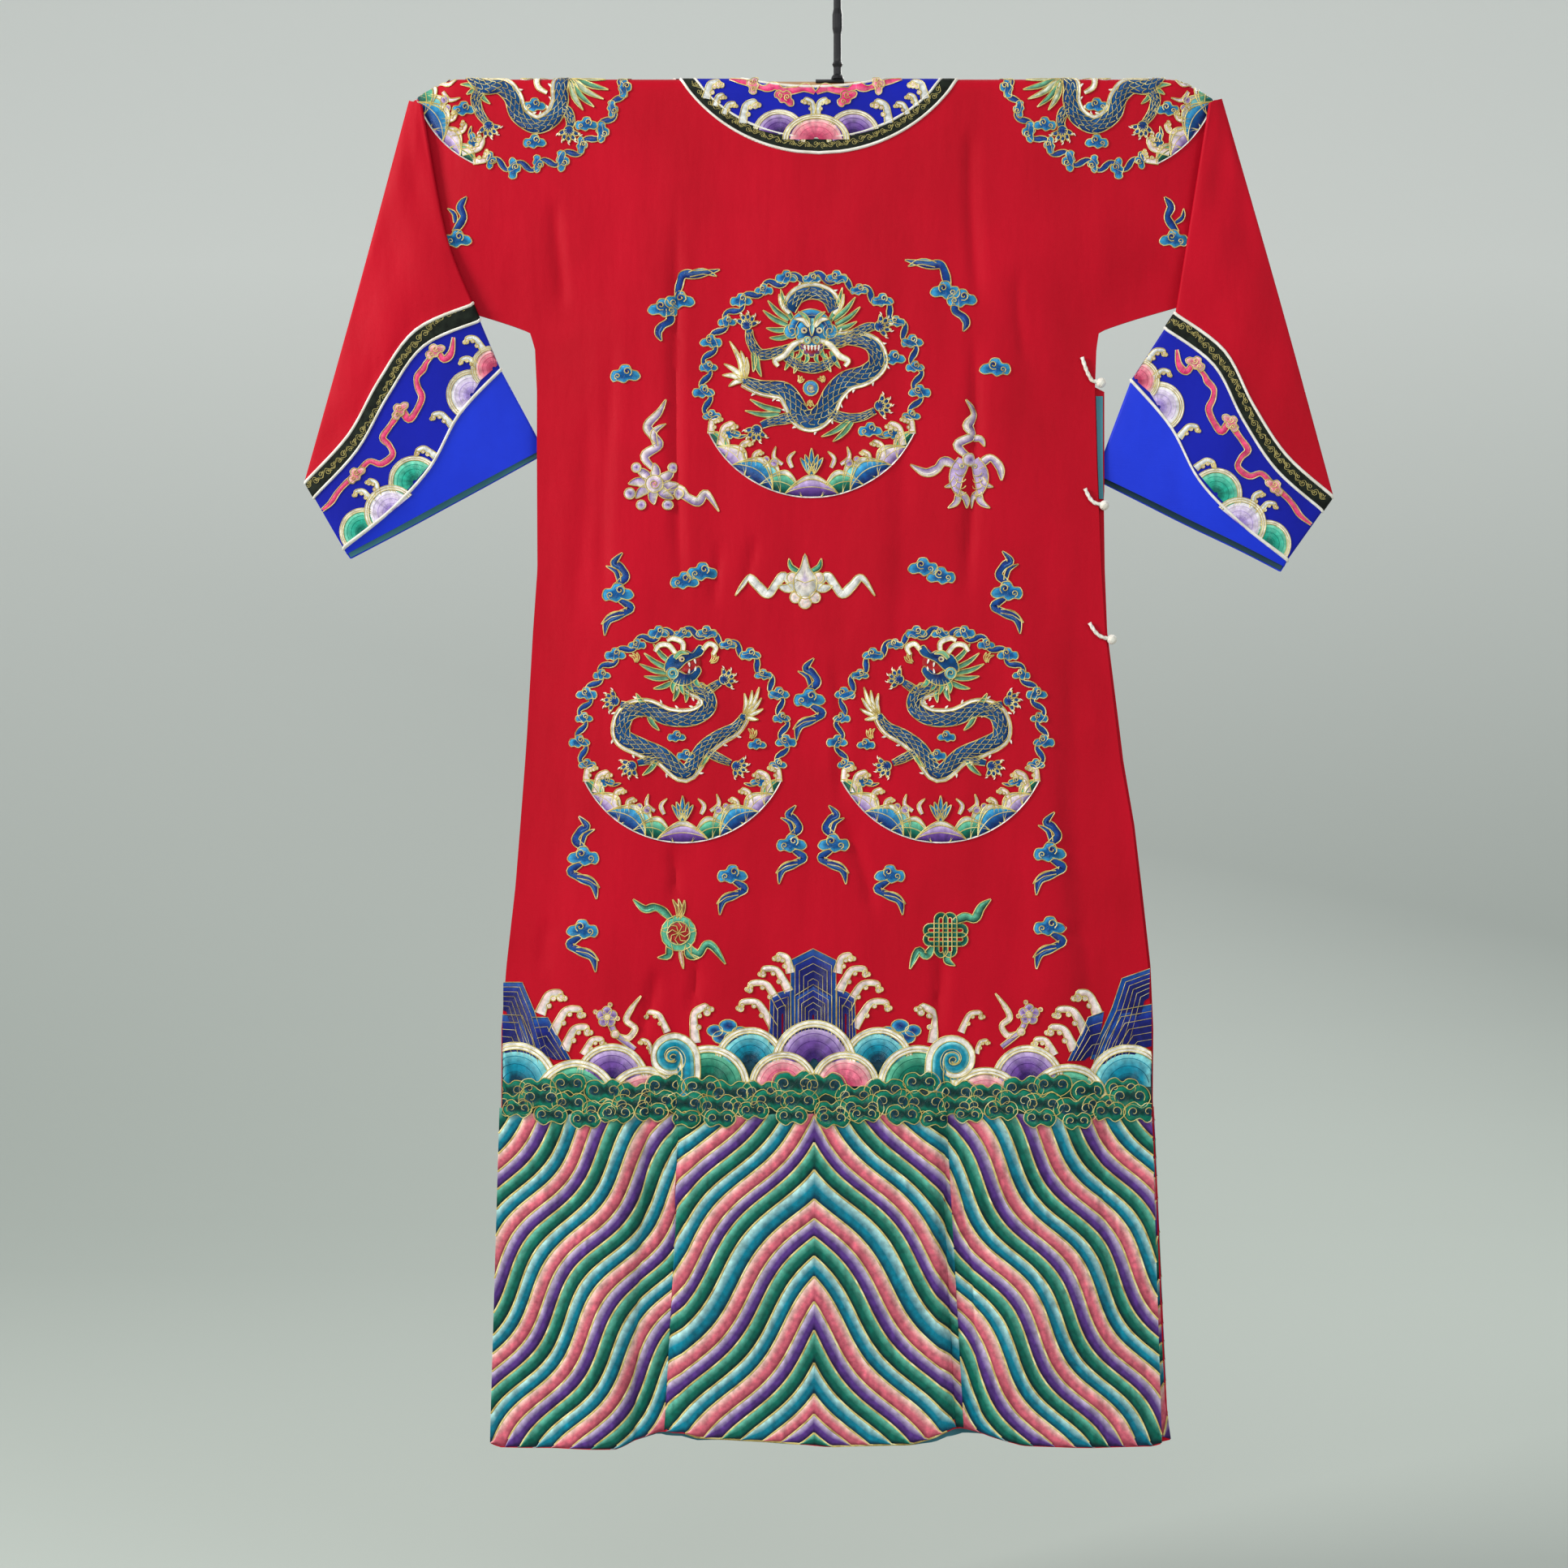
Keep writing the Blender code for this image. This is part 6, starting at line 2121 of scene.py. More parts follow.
def crossed_cloud(e, x, y, mirror, scale):
    """A double cloud whose ribbons fly up to one side and down to the other."""
    e.place(x, y, scale, mirror=mirror)
    ribbon(e, ((4, -4), (8, -24), (14, -36), (30, -36), (58, -42)), 9.0, level=0.25)
    e.leaf((20, -36), (54, -34), 8, (LIGHT_BLUE, MID_BLUE, NAVY), -0.15, 0.2)
    ribbon(e, ((-6, 6), (-4, 20), (-14, 28), (-18, 36), (-14, 46)), 8.0, level=0.25)
    small_cloud(e, -12, 6, 0.95, 0.45, -1)
    small_cloud(e, 8, -4, 0.95, 0.6)
    e.place()


CLAW_LEVEL = 0.6
TOES = (-80, -42, -8, 26, 64)
SCALE_ROW = 7.4
SCALE_TONES = (MID_BLUE, SCALE_BLUE, SCALE_BLUE, SCALE_BLUE, SCALE_BLUE, NAVY)
MANE_TONES = (GREEN_LIGHT, OLIVE, GREEN_DARK)


def claw(e, x, y, turn):
    """A paw with five spread toes and pale nails."""
    spot = np.array([x, y], float)
    e.disc(x, y, 6.5, (MID_BLUE, NAVY), CLAW_LEVEL + 0.1)
    for toe in TOES:
        way = toward(turn + toe)
        e.leaf(spot + way * 3, spot + way * 15, 6.4, (MID_BLUE, NAVY), 0.1, CLAW_LEVEL)
        e.leaf(spot + way * 12, spot + way * 18, 2.4, (CREAM, CREAM), 0.3, CLAW_LEVEL + 0.15, edges=False)


def scaly(e, points, widths, level, spine):
    """A scaly body along a curve: rows of gold scale edges, and a pale toothed spine on one side or none."""
    path = spline(points, 6)
    half = spread(widths, len(path)) / 2
    one, other = offset(path, -half), offset(path, half)
    e.loft(one, other, SCALE_TONES, height=0.9, level=level, parts=6)
    e.line(one, level=level)
    e.line(other, level=level)
    lengths = lengths_along(path)
    for number, place, centre, normal, along in stations(path, lengths, SCALE_ROW, SCALE_ROW, SCALE_ROW):
        reach = np.interp(place, lengths, half)
        for cell in ((-0.66, 0.0, 0.66) if number % 2 else (-0.33, 0.33)):
            shares = np.linspace(-1, 1, 5)[:, None]
            across = normal * reach * (cell + 0.33 * shares)
            scale = centre + across + along * SCALE_ROW * 0.9 * (1 - shares ** 2)
            e.line(scale, width=0.85, level=level + 0.75, height=0.45)
    if spine:
        toothed_spine(e, path, half, level, spine)


def toothed_spine(e, path, half, level, side):
    normals = sideways(path)
    edge = offset(path, side * (half + 1.8))
    e.band(edge, (2.0, 4.4, 4.4, 4.4, 2.0), (WHITE, CREAM), level=level + 0.2, parts=2, edges=False)
    e.line(offset(path, side * (half + 4.0)), level=level)
    for index in range(3, len(path) - 3, 5):
        base = path[index] + normals[index] * side * (half[index] + 3)
        along = np.array([normals[index][1], -normals[index][0]])
        tip = base + normals[index] * side * 5 + along * 4
        e.leaf(base, tip, 3.2, (WHITE, CREAM), 0.1, level + 0.1, edges=False)


def mane(e, locks):
    """Locks of hair, as rows of (root x, root y, tip x, tip y)."""
    for number, (root_x, root_y, tip_x, tip_y) in enumerate(locks):
        bend = 0.06 if tip_x > root_x else -0.06
        e.leaf((root_x, root_y), (tip_x, tip_y), 6.5, MANE_TONES, bend, 0.35 + 0.03 * number)


def flame(e, start, turn, spreads, length, width, bend, level):
    """Three small red tongues from one place."""
    for spread_angle in spreads:
        tip = np.array(start) + toward(turn + spread_angle, length)
        e.leaf(start, tip, width, (RED_THREAD, RED_THREAD), bend, level)


def pearl(e, x, y, radius, level):
    """A round jewel with three small flames."""
    e.disc(x, y, radius, (LIGHT_BLUE, MID_BLUE, CREAM), level)
    e.line(spiral(x, y, radius * 0.6, 40, 1.3, 12, 0.1), width=1.4, level=level + 0.4)
    for flame_x, flame_y, turn in ((-1.6, -0.8, -60), (1.6, -0.8, -120), (0, 1.6, 90)):
        start = (x + flame_x * radius, y + flame_y * radius)
        flame(e, start, turn, (-32, 0, 32), 8, 2.6, 0.15, level)


FRONTAL_COILS = (
    # points, widths, level, side of the spine
    (((-27, -90), (-17, -106), (1, -112), (19, -106), (28, -90)), (15, 16, 16, 15), 0.4, -1),
    (((-16, -46), (-44, -38), (-64, -36), (-75, -52), (-77, -66)), (10, 12, 13, 11, 8), 0.4, 0),
    (((14, -48), (34, -50), (52, -60), (68, -68), (78, -70)), (10, 12, 13, 12, 8), 0.4, 0),
    (((-12, 40), (-34, 44), (-52, 48), (-62, 52)), (13, 13, 10, 8), 0.35, 0),
    (((14, 32), (36, 42), (60, 42), (78, 34)), (13, 13, 10, 8), 0.35, 0),
    (((22, -52), (50, -54), (74, -46), (80, -26), (66, -12), (42, -4), (26, 12), (16, 32), (2, 44),
      (-12, 40), (-22, 22), (-34, 8), (-62, 4), (-84, -4)),
     (12, 15, 19, 21, 22, 23, 23, 21, 17, 9), 0.6, -1),
    (((-34, -34), (-18, -23), (0, -19), (16, -22), (30, -32)), (8, 12, 13, 12, 8), 0.5, 0),
)
# Claws as (x, y, turn), manes as (root x, root y, tip x, tip y)
FRONTAL_CLAWS = ((-80, -72, -80), (84, -70, -10), (-68, 58, 110), (84, 28, 0))
FRONTAL_MANE = (
    (-22, -76, -38, -116), (-28, -78, -54, -102), (-30, -72, -60, -90), (-30, -66, -56, -68),
    (-28, -58, -52, -56), (22, -76, 38, -118), (27, -78, 54, -106), (30, -72, 60, -94),
    (30, -66, 56, -76), (28, -58, 50, -60), (-24, -40, -33, -16), (-16, -36, -22, -12),
    (24, -40, 36, -18), (16, -36, 24, -14), (-68, -34, -62, -8), (-72, -38, -72, -14),
    (-38, 34, -76, 20), (-40, 38, -82, 34), (46, 46, 12, 66), (50, 48, 26, 72),
)
FRONTAL_TAIL = (-84, -4)
FRONTAL_TAIL_TIPS = ((-101, -52), (-96, -42), (-87, -40), (-80, -32), (-108, -24), (-110, -10), (-102, 4))
FACE = ((-20, -68), (-12, -80), (0, -84), (12, -80), (20, -68), (18, -54), (12, -45), (0, -42), (-12, -45),
        (-18, -54))
JAW = ((-15, -50), (0, -45), (15, -50), (12, -38), (0, -32), (-12, -38))
TEETH = (-9, -4.5, 0, 4.5, 9)
WHISKER = ((10, -53), (23, -47), (34, -34), (45, -28), (41, -21))
FRONTAL_CLOUDS = ((101, -31), (72, 58))


def frontal_dragon(e):
    """A dragon seen from the front: its head on the centre line, its body curled under a jewel."""
    for row in FRONTAL_COILS:
        scaly(e, *row)
    for row in FRONTAL_CLAWS:
        claw(e, *row)
    mane(e, FRONTAL_MANE)
    for tip in FRONTAL_TAIL_TIPS:
        e.leaf(FRONTAL_TAIL, tip, 6.4, (WHITE, CREAM), 0.08, 0.75)
    for side in (-1, 1):
        e.leaf((side * 27, -86), (side * 40, -110), 6, (WHITE, CREAM), side * 0.12, 0.6)
        e.disc(side * 24 - 1, -64, 9, (LIGHT_BLUE, MID_BLUE), 0.9)
        e.line(spiral(side * 24 - 1, -64, 6, 90, side, 9, 0.2), level=1.5)
    brow = arc(-1, -62, 28, 188, 352, 20, 1.05)
    e.loft(brow, arc(-1, -62, 17, 188, 352, 20, 1.0), (LIGHT_BLUE, MID_BLUE, NAVY), level=0.9, height=0.8)
    e.line(brow, level=0.9)
    e.patch(FACE, (LIGHT_BLUE, MID_BLUE, NAVY), 1.0)
    e.patch(JAW, (MID_BLUE, RED_THREAD, RED_THREAD), 1.2)
    for tooth in TEETH:
        e.leaf((tooth, -47), (tooth * 0.9, -40), 3.2, (WHITE, CREAM), 0.0, 1.7, edges=False)
    e.leaf((0, -80), (0, -58), 7, (TURQUOISE_LIGHT, NAVY), 0.0, 1.6)
    for side in (-1, 1):
        half_face(e, side)
    pearl(e, -1, 6, 9.5, 0.5)
    for x, y in FRONTAL_CLOUDS:
        small_cloud(e, x, y, 0.75)


def half_face(e, side):
    """Eye, brows, nostril, whisker and beard on one side of a face."""
    e.disc(side * 9.5, -65, 3.4, (WHITE, RED_THREAD), 1.6)
    e.disc(side * 9.5, -65, 1.6, (BLACK, BLACK), 2.1, edge=False)
    e.leaf((side * 3, -70), (side * 22, -79), 6, (WHITE, CREAM), side * -0.18, 1.9)
    e.leaf((side * 4, -73), (side * 17, -88), 5, (GREEN_LIGHT, OLIVE), side * -0.15, 1.8)
    e.disc(side * 5.5, -53, 4.6, (TURQUOISE_LIGHT, MID_BLUE), 1.7)
    e.line(spiral(side * 5.5, -53, 3.4, 90, side * 1.0, 9, 0.2), width=1.3, level=2.1)
    whisker = spline([(side * x, y) for x, y in WHISKER], 5)
    e.band(whisker, (4, 7, 7, 6, 4), (WHITE, CREAM), level=1.3, parts=3)
    e.leaf((side * 12, -42), (side * 21, -30), 5, (GREEN_LIGHT, GREEN), side * 0.2, 1.2)
    e.leaf((side * 6, -36), (side * 10, -24), 5, (GREEN_LIGHT, GREEN), side * 0.2, 1.3)


PROFILE_COILS = (
    # points, widths, level, side of the spine
    (((-50, -26), (-68, -34), (-80, -38)), (11, 11, 8), 0.35, 0),
    (((22, -46), (36, -58), (48, -66)), (11, 11, 8), 0.35, 0),
    (((-22, 30), (-42, 34), (-58, 38)), (11, 11, 7), 0.35, 0),
    (((28, 22), (48, 32), (62, 38)), (11, 11, 7), 0.35, 0),
    (((-8, -76), (10, -62), (30, -52), (34, -34), (14, -20), (-18, -20), (-48, -32), (-72, -24), (-77, 2),
      (-54, 16), (-26, 28), (3, 50), (26, 20), (46, 4), (68, -8), (80, -24)),
     (15, 17, 18, 19, 19, 20, 20, 19, 18, 15, 8), 0.6, 1),
)
PROFILE_CLAWS = ((-88, -42, 190), (54, -70, -20), (-66, 42, 140), (70, 42, 30))
PROFILE_TAIL = (80, -24)
PROFILE_TAIL_TIPS = ((99, -60), (90, -56), (80, -52), (102, -46), (104, -32), (98, -18))
PROFILE_MANE = (
    (-18, -84, -50, -104), (-20, -78, -56, -90), (-18, -72, -50, -74), (-14, -66, -38, -58),
    (-16, -92, -38, -116), (4, -62, 4, -40), (-6, -62, -12, -42), (-44, -22, -30, -4),
    (-46, -34, -60, -52), (34, 26, 20, 44), (-34, 36, -52, 54),
)
MOUTH = ((-8, -85), (8, -93), (22, -99), (22, -84), (4, -78))
UPPER_HEAD = ((-23, -80), (-21, -94), (-12, -103), (-2, -101), (5, -107), (13, -104), (21, -114), (28, -109),
              (24, -101), (13, -96), (4, -91), (-7, -81))
LOWER_HEAD = ((-20, -80), (-8, -82), (2, -77), (12, -78), (20, -87), (24, -80), (15, -68), (2, -62),
              (-12, -66))
PROFILE_TEETH = ((8, -92, 9, -86), (15, -96, 17, -90), (8, -78, 9, -84), (16, -81, 17, -87))
HORNS = (
    ((-8, -102), (-18, -114), (-30, -114), (-36, -106)),
    ((0, -104), (0, -117), (-12, -123), (-20, -120)),
    ((26, -108), (34, -116), (43, -111), (39, -102)),
)
# Locks of the beard as (root x, tip x, tip y), flames as (x, y, turn)
BEARD = ((-8, -12, -52), (0, 2, -50), (8, 14, -54), (16, 25, -60))
BEARD_ROOT = -70
PROFILE_FLAMES = ((-60, -92, -110), (36, -92, -60), (88, 6, -80))
PROFILE_CLOUDS = ((24, -58), (-8, 4), (4, 28), (96, 14))


def profile_dragon(e):
    """A dragon in profile that faces right, its body in an S under its head."""
    for row in PROFILE_COILS:
        scaly(e, *row)
    for row in PROFILE_CLAWS:
        claw(e, *row)
    for tip in PROFILE_TAIL_TIPS:
        e.leaf(PROFILE_TAIL, tip, 5.6, (WHITE, CREAM), 0.08, 0.75)
    mane(e, PROFILE_MANE)
    e.fill(spline(MOUTH, 3, closed=True), (RED_THREAD, RED_THREAD), level=1.0)
    for part in (UPPER_HEAD, LOWER_HEAD):
        e.patch(part, (MID_BLUE, SCALE_BLUE, NAVY), 1.3, height=0.7)
    e.disc(-13, -78, 7.5, (TURQUOISE_LIGHT, TURQUOISE, SCALE_BLUE), 1.7)
    e.line(spiral(-13, -78, 5.0, 30, -1.0, 10, 0.2), width=1.1, level=2.1)
    for root_x, root_y, tip_x, tip_y in PROFILE_TEETH:
        e.leaf((root_x, root_y), (tip_x, tip_y), 3.2, (WHITE, CREAM), 0.0, 1.9, edges=False)
    e.disc(-1, -96, 3.2, (WHITE, RED_THREAD), 2.1)
    e.disc(-0.5, -96, 1.5, (BLACK, BLACK), 2.5, edge=False)
    e.leaf((-10, -97), (8, -103), 6, (GREEN_LIGHT, OLIVE), -0.25, 2.1)
    for points in HORNS:
        e.band(spline(points, 5), (5, 6, 6, 4), (WHITE, CREAM), level=1.4, parts=3)
    for root_x, tip_x, tip_y in BEARD:
        e.leaf((root_x, BEARD_ROOT), (tip_x, tip_y), 6, (GREEN_LIGHT, GREEN), 0.15, 1.2)
    for x, y, turn in PROFILE_FLAMES:
        flame(e, (x, y), turn, (-24, 0, 24), 13, 3, 0.2, 0.3)
    for x, y in PROFILE_CLOUDS:
        small_cloud(e, x, y, 0.6, 0.8)


# Waves at a roundel's foot
FOOT_WAVES = (
    # angle from the lowest point, half its width in degrees, height, tones, level
    (57, 8, 17, GREENS, 0.3),
    (25, 9, 33, TURQUOISES, 0.3),
    (46, 10, 24, LILACS, 0.5),
    (16, 11, 28, GREENS, 0.6),
    (32, 12, 30, BLUES, 0.8),
    (0, 13.5, 27, PURPLES, 1.0),
)


ROUNDEL_RADIUS = 140.0
RING_RADIUS = 131.0
RING_START = 162.0
RING_END = 378.0
RING_CLOUDS = 17
FOOT_SPRAYS = (((124, 62), (116, 42), 7), ((112, 76), (98, 50), 8), ((88, 92), (78, 72), 6),
               ((72, 102), (64, 84), 5))
FOOT_LEAVES = (((24, 104), (20, 84)), ((36, 100), (44, 78)))
FOOT_BEADS = ((46, 98, 5), (56, 94, 4))
FOOT_MIDDLE = (0, 112)
FOOT_TIPS = ((-14, 92), (14, 92), (-8, 88), (8, 88), (0, 80))


def foot_wave(e, angle, half, height, tones, level):
    angles = np.radians(90.0 + angle + np.linspace(-half, half, 19))
    lift = np.sin(np.linspace(0, math.pi, 19)) ** 0.75

    def hump(share):
        reach = ROUNDEL_RADIUS - height * lift * share
        return np.stack([reach * np.cos(angles), reach * np.sin(angles)], axis=1)

    e.loft(hump(1.0), hump(0.8), (WHITE, CREAM), level=level, parts=2)
    e.loft(hump(0.8), hump(0.0), tones, level=level, parts=4)
    for share in (1.0, 0.8, 0.45):
        e.line(hump(share), width=1.4, level=level)


def cloud_ring(e, radius, first, last, count):
    """Clouds on a circle, joined by twisted ribbons."""
    angles = np.linspace(first, last, count)
    for start, end in zip(angles, angles[1:]):
        share = np.linspace(0, 1, 13)
        sway = radius + 5.5 * np.sin(share * 2 * math.pi)
        turn = np.radians(mix(start, end, share))
        path = np.stack([sway * np.cos(turn), sway * np.sin(turn)], axis=1)
        e.band(path, (7, 5, 8, 5, 7), RIBBON_TONES, level=0.25, parts=3)
    for number, angle in enumerate(angles):
        size, shift = (0.7, 3) if number % 2 else (0.58, -2)
        small_cloud(e, *toward(angle, radius + shift), size, 0.4, 1 if number % 3 else -1)
    for end, side in ((first, 1), (last, -1)):
        x, y = toward(end - side * 14, radius - 14)
        small_cloud(e, x, y, 0.6, 0.4, side)
        e.leaf((x, y), (x + side * 20, y + 2), 5, RIBBON_TONES, 0.15 * side, 0.3)


def roundel(e, x, y, scale, draw, mirror=1, turn=0.0):
    """A round badge: a ring of clouds, waves at its foot and a dragon in it."""
    e.place(x, y, scale, turn, mirror)
    cloud_ring(e, RING_RADIUS, RING_START, RING_END, RING_CLOUDS)
    e.place(x, y, scale, turn, mirror)
    for angle, half, height, tones, level in FOOT_WAVES:
        for side in ((1, -1) if angle else (1,)):
            foot_wave(e, side * angle, half, height, tones, level)
    edge = arc(0, 0, ROUNDEL_RADIUS + 0.5, 26, 154, 50)
    e.band(edge, (2.0, 2.0), (WHITE, CREAM), level=1.1, parts=2, edges=False)
    for side in (-1, 1):
        for foot, tip, width in FOOT_SPRAYS:
            spray(e, (side * foot[0], foot[1]), (side * tip[0], tip[1]), width, 0.5)
        for foot, tip in FOOT_LEAVES:
            bend = side * 0.3
            e.leaf((side * foot[0], foot[1]), (side * tip[0], tip[1]), 5, (PURPLE_LIGHT, CREAM), bend, 0.4)
        for bead_x, bead_y, radius in FOOT_BEADS:
            e.disc(side * bead_x, bead_y, radius, (PURPLE_LIGHT, PURPLE), 0.5)
    for tip in FOOT_TIPS:
        e.leaf(FOOT_MIDDLE, tip, 7, BLUES, 0.0, 1.2)
    if draw:
        draw(e)
    e.place()


SHOULDER_COILS = (
    # points, widths, level, side of the spine on the back
    (((-48, 30), (-58, 44), (-54, 62), (-44, 76)), (12, 13, 11, 8), 0.35, 0),
    (((46, 56), (58, 62), (62, 74), (60, 82)), (12, 13, 11, 8), 0.35, 0),
    (((-66, -6), (-62, 16), (-48, 30), (-28, 30), (-13, 44), (-5, 66), (18, 80), (40, 70), (50, 50),
      (50, 28), (58, 8), (58, -6)),
     (17, 18, 19, 19, 19, 19, 19, 19, 18, 17, 16, 15), 0.6, -1),
)
SHOULDER_CLAWS = ((-42, 80, 80), (60, 86, 95))
SHOULDER_TIPS = ((92, 6), (106, 20), (110, 34), (104, 46), (92, 56), (78, 60))
SHOULDER_FIN = (-54, 34)
SHOULDER_FIN_TIPS = ((-70, 40), (-78, 28), (-40, 52))
SHOULDER_BANDS = (((34, 4), (20, 14), (20, 30), (32, 38)), ((28, -2), (14, 2), (6, 16), (-2, 14)))
SHOULDER_CLOUDS = ((-74, 58), (16, 100), (16, 54), (82, 78))


def shoulder_dragon(e, fold):
    """Half of a coiled dragon, on one side of the shoulder's fold. fold is 1 on the back, -1 on the front."""
    def mirrored(points):
        return [(x, fold * y) for x, y in points]

    for points, widths, level, spine in SHOULDER_COILS:
        scaly(e, mirrored(points), widths, level, spine * fold)
    for x, y, turn in SHOULDER_CLAWS:
        claw(e, x, fold * y, fold * turn)
    for number, tip in enumerate(mirrored(SHOULDER_TIPS)):
        tones = (CREAM, GREEN_LIGHT, OLIVE) if number % 2 else MANE_TONES
        e.leaf((62, fold * (6 + 4 * number)), tip, 7.5, tones, 0.08, 0.5 + 0.05 * number)
    fin, *tips = mirrored((SHOULDER_FIN, *SHOULDER_FIN_TIPS))
    for tip in tips:
        e.leaf(fin, tip, 6, MANE_TONES, 0.1, 0.4)
    for points in SHOULDER_BANDS:
        e.band(spline(mirrored(points), 5), (6, 7, 6, 4), (WHITE, CREAM), level=0.7, parts=3)
    for x, y in mirrored(SHOULDER_CLOUDS):
        small_cloud(e, x, y, 0.75, 0.5)


# Where the roundels are: the lower and the shoulder ones as (left x, right x)
CHEST_X = 1000
CHEST_Y = {BACK: 472, FRONT: 585}
LOWER_X = (841, 1159)
LOWER_Y = 904
LOWER_SCALE = 0.955
SHOULDER_X = (643, 1367)
SHOULDER_Y = 78
SHOULDER_SCALE = 0.97


def left_or_right(pair, mirror):
    return pair[0] if mirror > 0 else pair[1]


def chest_roundel(e, side):
    roundel(e, CHEST_X, CHEST_Y[side], 1.0, frontal_dragon)


def lower_roundel(e, mirror):
    roundel(e, left_or_right(LOWER_X, mirror), LOWER_Y, LOWER_SCALE, profile_dragon, mirror)


def shoulder_roundel(e, mirror):
    """Its foot points out along the sleeve, so the fold over the bar halves it."""
    x = left_or_right(SHOULDER_X, mirror)
    roundel(e, x, SHOULDER_Y, SHOULDER_SCALE, None, mirror, 90.0 * mirror)
    e.place(x, SHOULDER_Y, SHOULDER_SCALE, 0, mirror)
    for fold in (1, -1):
        shoulder_dragon(e, fold)
    e.place()


LEAF_BEADS = ((-22, -20, 6), (22, -20, 6), (-30, 12, 7), (30, 12, 7), (-16, 26, 6), (16, 26, 6))


def knot_of_leaves(e):
    """A tied treasure: petals and discs round a centre, with ribbons that fly up and to one side."""
    tones = LILACS
    ribbon(e, ((0, -18), (-12, -34), (6, -48), (-2, -60), (-8, -72), (6, -88), (14, -104)), 9, tones, 0.3)
    e.leaf((2, -46), (14, -74), 8, tones, -0.3, 0.35)
    ribbon(e, ((12, 14), (30, 6), (40, 16), (54, 22), (64, 12), (80, 34)), 9, tones, 0.3)
    for number in range(8):
        way = toward(45 * number) * (1.0, 0.8)
        e.leaf(way * 8, way * 32, 12, tones, 0.1, 0.5 + 0.02 * number)
    for spot_x, spot_y, radius in LEAF_BEADS:
        e.disc(spot_x, spot_y, radius, tones, 0.8)
    e.disc(0, 0, 11, (CREAM, tones[1], PINK), 1.0)
    e.line(spiral(0, 0, 7, 0, 1.4, 12, 0.1), level=1.6)


def twin_fish(e):
    """Two fish hung from a bow, with ribbons."""
    tones = LILACS
    ribbon(e, ((0, -26), (-14, -42), (4, -54), (-2, -66), (6, -80), (-4, -98)), 9, tones, 0.3)
    e.leaf((4, -50), (20, -40), 8, tones, -0.3, 0.35)
    ribbon(e, ((-12, -14), (-30, -22), (-40, -12), (-54, -8), (-72, -18)), 9, tones, 0.3)
    ribbon(e, ((12, -14), (26, -26), (38, -14), (40, 2)), 8, tones, 0.3)
    for side in (-1, 1):
        for fin_x in (4, 26):
            e.leaf((side * 13, 16), (side * fin_x, 36), 8, tones, side * 0.2, 0.45)
        e.leaf((side * 16, -2), (side * 30, 10), 7, tones, side * 0.2, 0.45)
        e.leaf((side * 7, -24), (side * 14, 22), 19, (PURPLE_LIGHT, PURPLE, PURPLE_LIGHT), side * -0.12, 0.6)
        for step in range(4):
            e.line(arc(side * 11, -10 + 8 * step, 6.5, 20, 160, 8), width=1.1, level=1.3)
        e.disc(side * 9, -16, 2.6, (WHITE, BLACK), 1.3)
    e.disc(0, -24, 8, tones, 0.9)


BELL_RIBBON = ((14, 6), (26, -8), (36, 2), (46, 14), (58, 4), (70, -6), (86, 16))
BELL_BEADS = ((-12, 18, 7), (12, 18, 7), (0, 24, 8), (-16, -6, 7), (16, -6, 7))
BELL_OUTLINE = ((-12, 12), (-14, -6), (-6, -18), (0, -36), (6, -18), (14, -6), (12, 12), (0, 20))


def ribboned_bell(e):
    """A pale canopied jewel with ribbons that spread to both sides."""
    tones = (WHITE, CREAM, SILVER)
    for side in (-1, 1):
        ribbon(e, [(side * x, y) for x, y in BELL_RIBBON], 9, tones, 0.3)
        e.leaf((side * 10, 0), (side * 34, 4), 12, tones, side * 0.2, 0.4)
        e.leaf((side * 8, -14), (side * 20, -30), 7, GREENS, side * 0.2, 0.4)
    for spot_x, spot_y, radius in BELL_BEADS:
        e.disc(spot_x, spot_y, radius, (WHITE, PINK_LIGHT, SILVER), 0.6)
    e.patch(BELL_OUTLINE, (SILVER, CREAM, PURPLE_LIGHT), 0.9)
    e.line(((-12, -4), (0, 0), (12, -4)), level=1.3)


SPOKE_TURN = math.degrees(0.5)


def wheel(e):
    """A red wheel with curved gold spokes in a green rim, on a stem, with green ribbons."""
    ribbon(e, ((-8, -16), (-20, -28), (-30, -32), (-42, -30), (-56, -42)), 8, GREENS, 0.3)
    ribbon(e, ((10, 14), (24, 26), (34, 14), (44, 18), (58, 38)), 8, GREENS, 0.3)
    for side in (-1, 1):
        e.leaf((side * 12, 14), (side * 26, 30), 9, GREENS, side * 0.4, 0.35)
        e.leaf((side * 10, -16), (side * 22, -4), 8, GREENS, side * 0.4, 0.35)
    for angle in (-108, -90, -72):
        e.leaf((0, -18), toward(angle, 24) + (0, -18), 5, (RED_THREAD, OLIVE), 0.1, 0.4)
    e.leaf((2, 22), (6, 44), 5, (RED_THREAD, CREAM), 0.0, 0.3)
    e.disc(0, 0, 22, GREENS, 0.5)
    e.disc(0, 0, 14.5, (RED_THREAD, RED_THREAD), 0.8)
    for angle in range(0, 360, 45):
        e.line([toward(angle, 14), toward(angle + SPOKE_TURN, 9), (0, 0)], level=1.3)


KNOT_HALF = 19
KNOT_CORD = (6.2, 6.2)
KNOT_SHIFTS = (-11.0, 0.0, 11.0)
KNOT_ENDS = (
    # x, y, where the arc starts
    (-5.5, -19, 180),
    (-5.5, 19, 0),
    (-19, 5.5, 90),
    (19, -5.5, -90),
    (5.5, 19, 0),
    (19, 5.5, -90),
    (5.5, -19, 180),
    (-19, -5.5, 90),
)


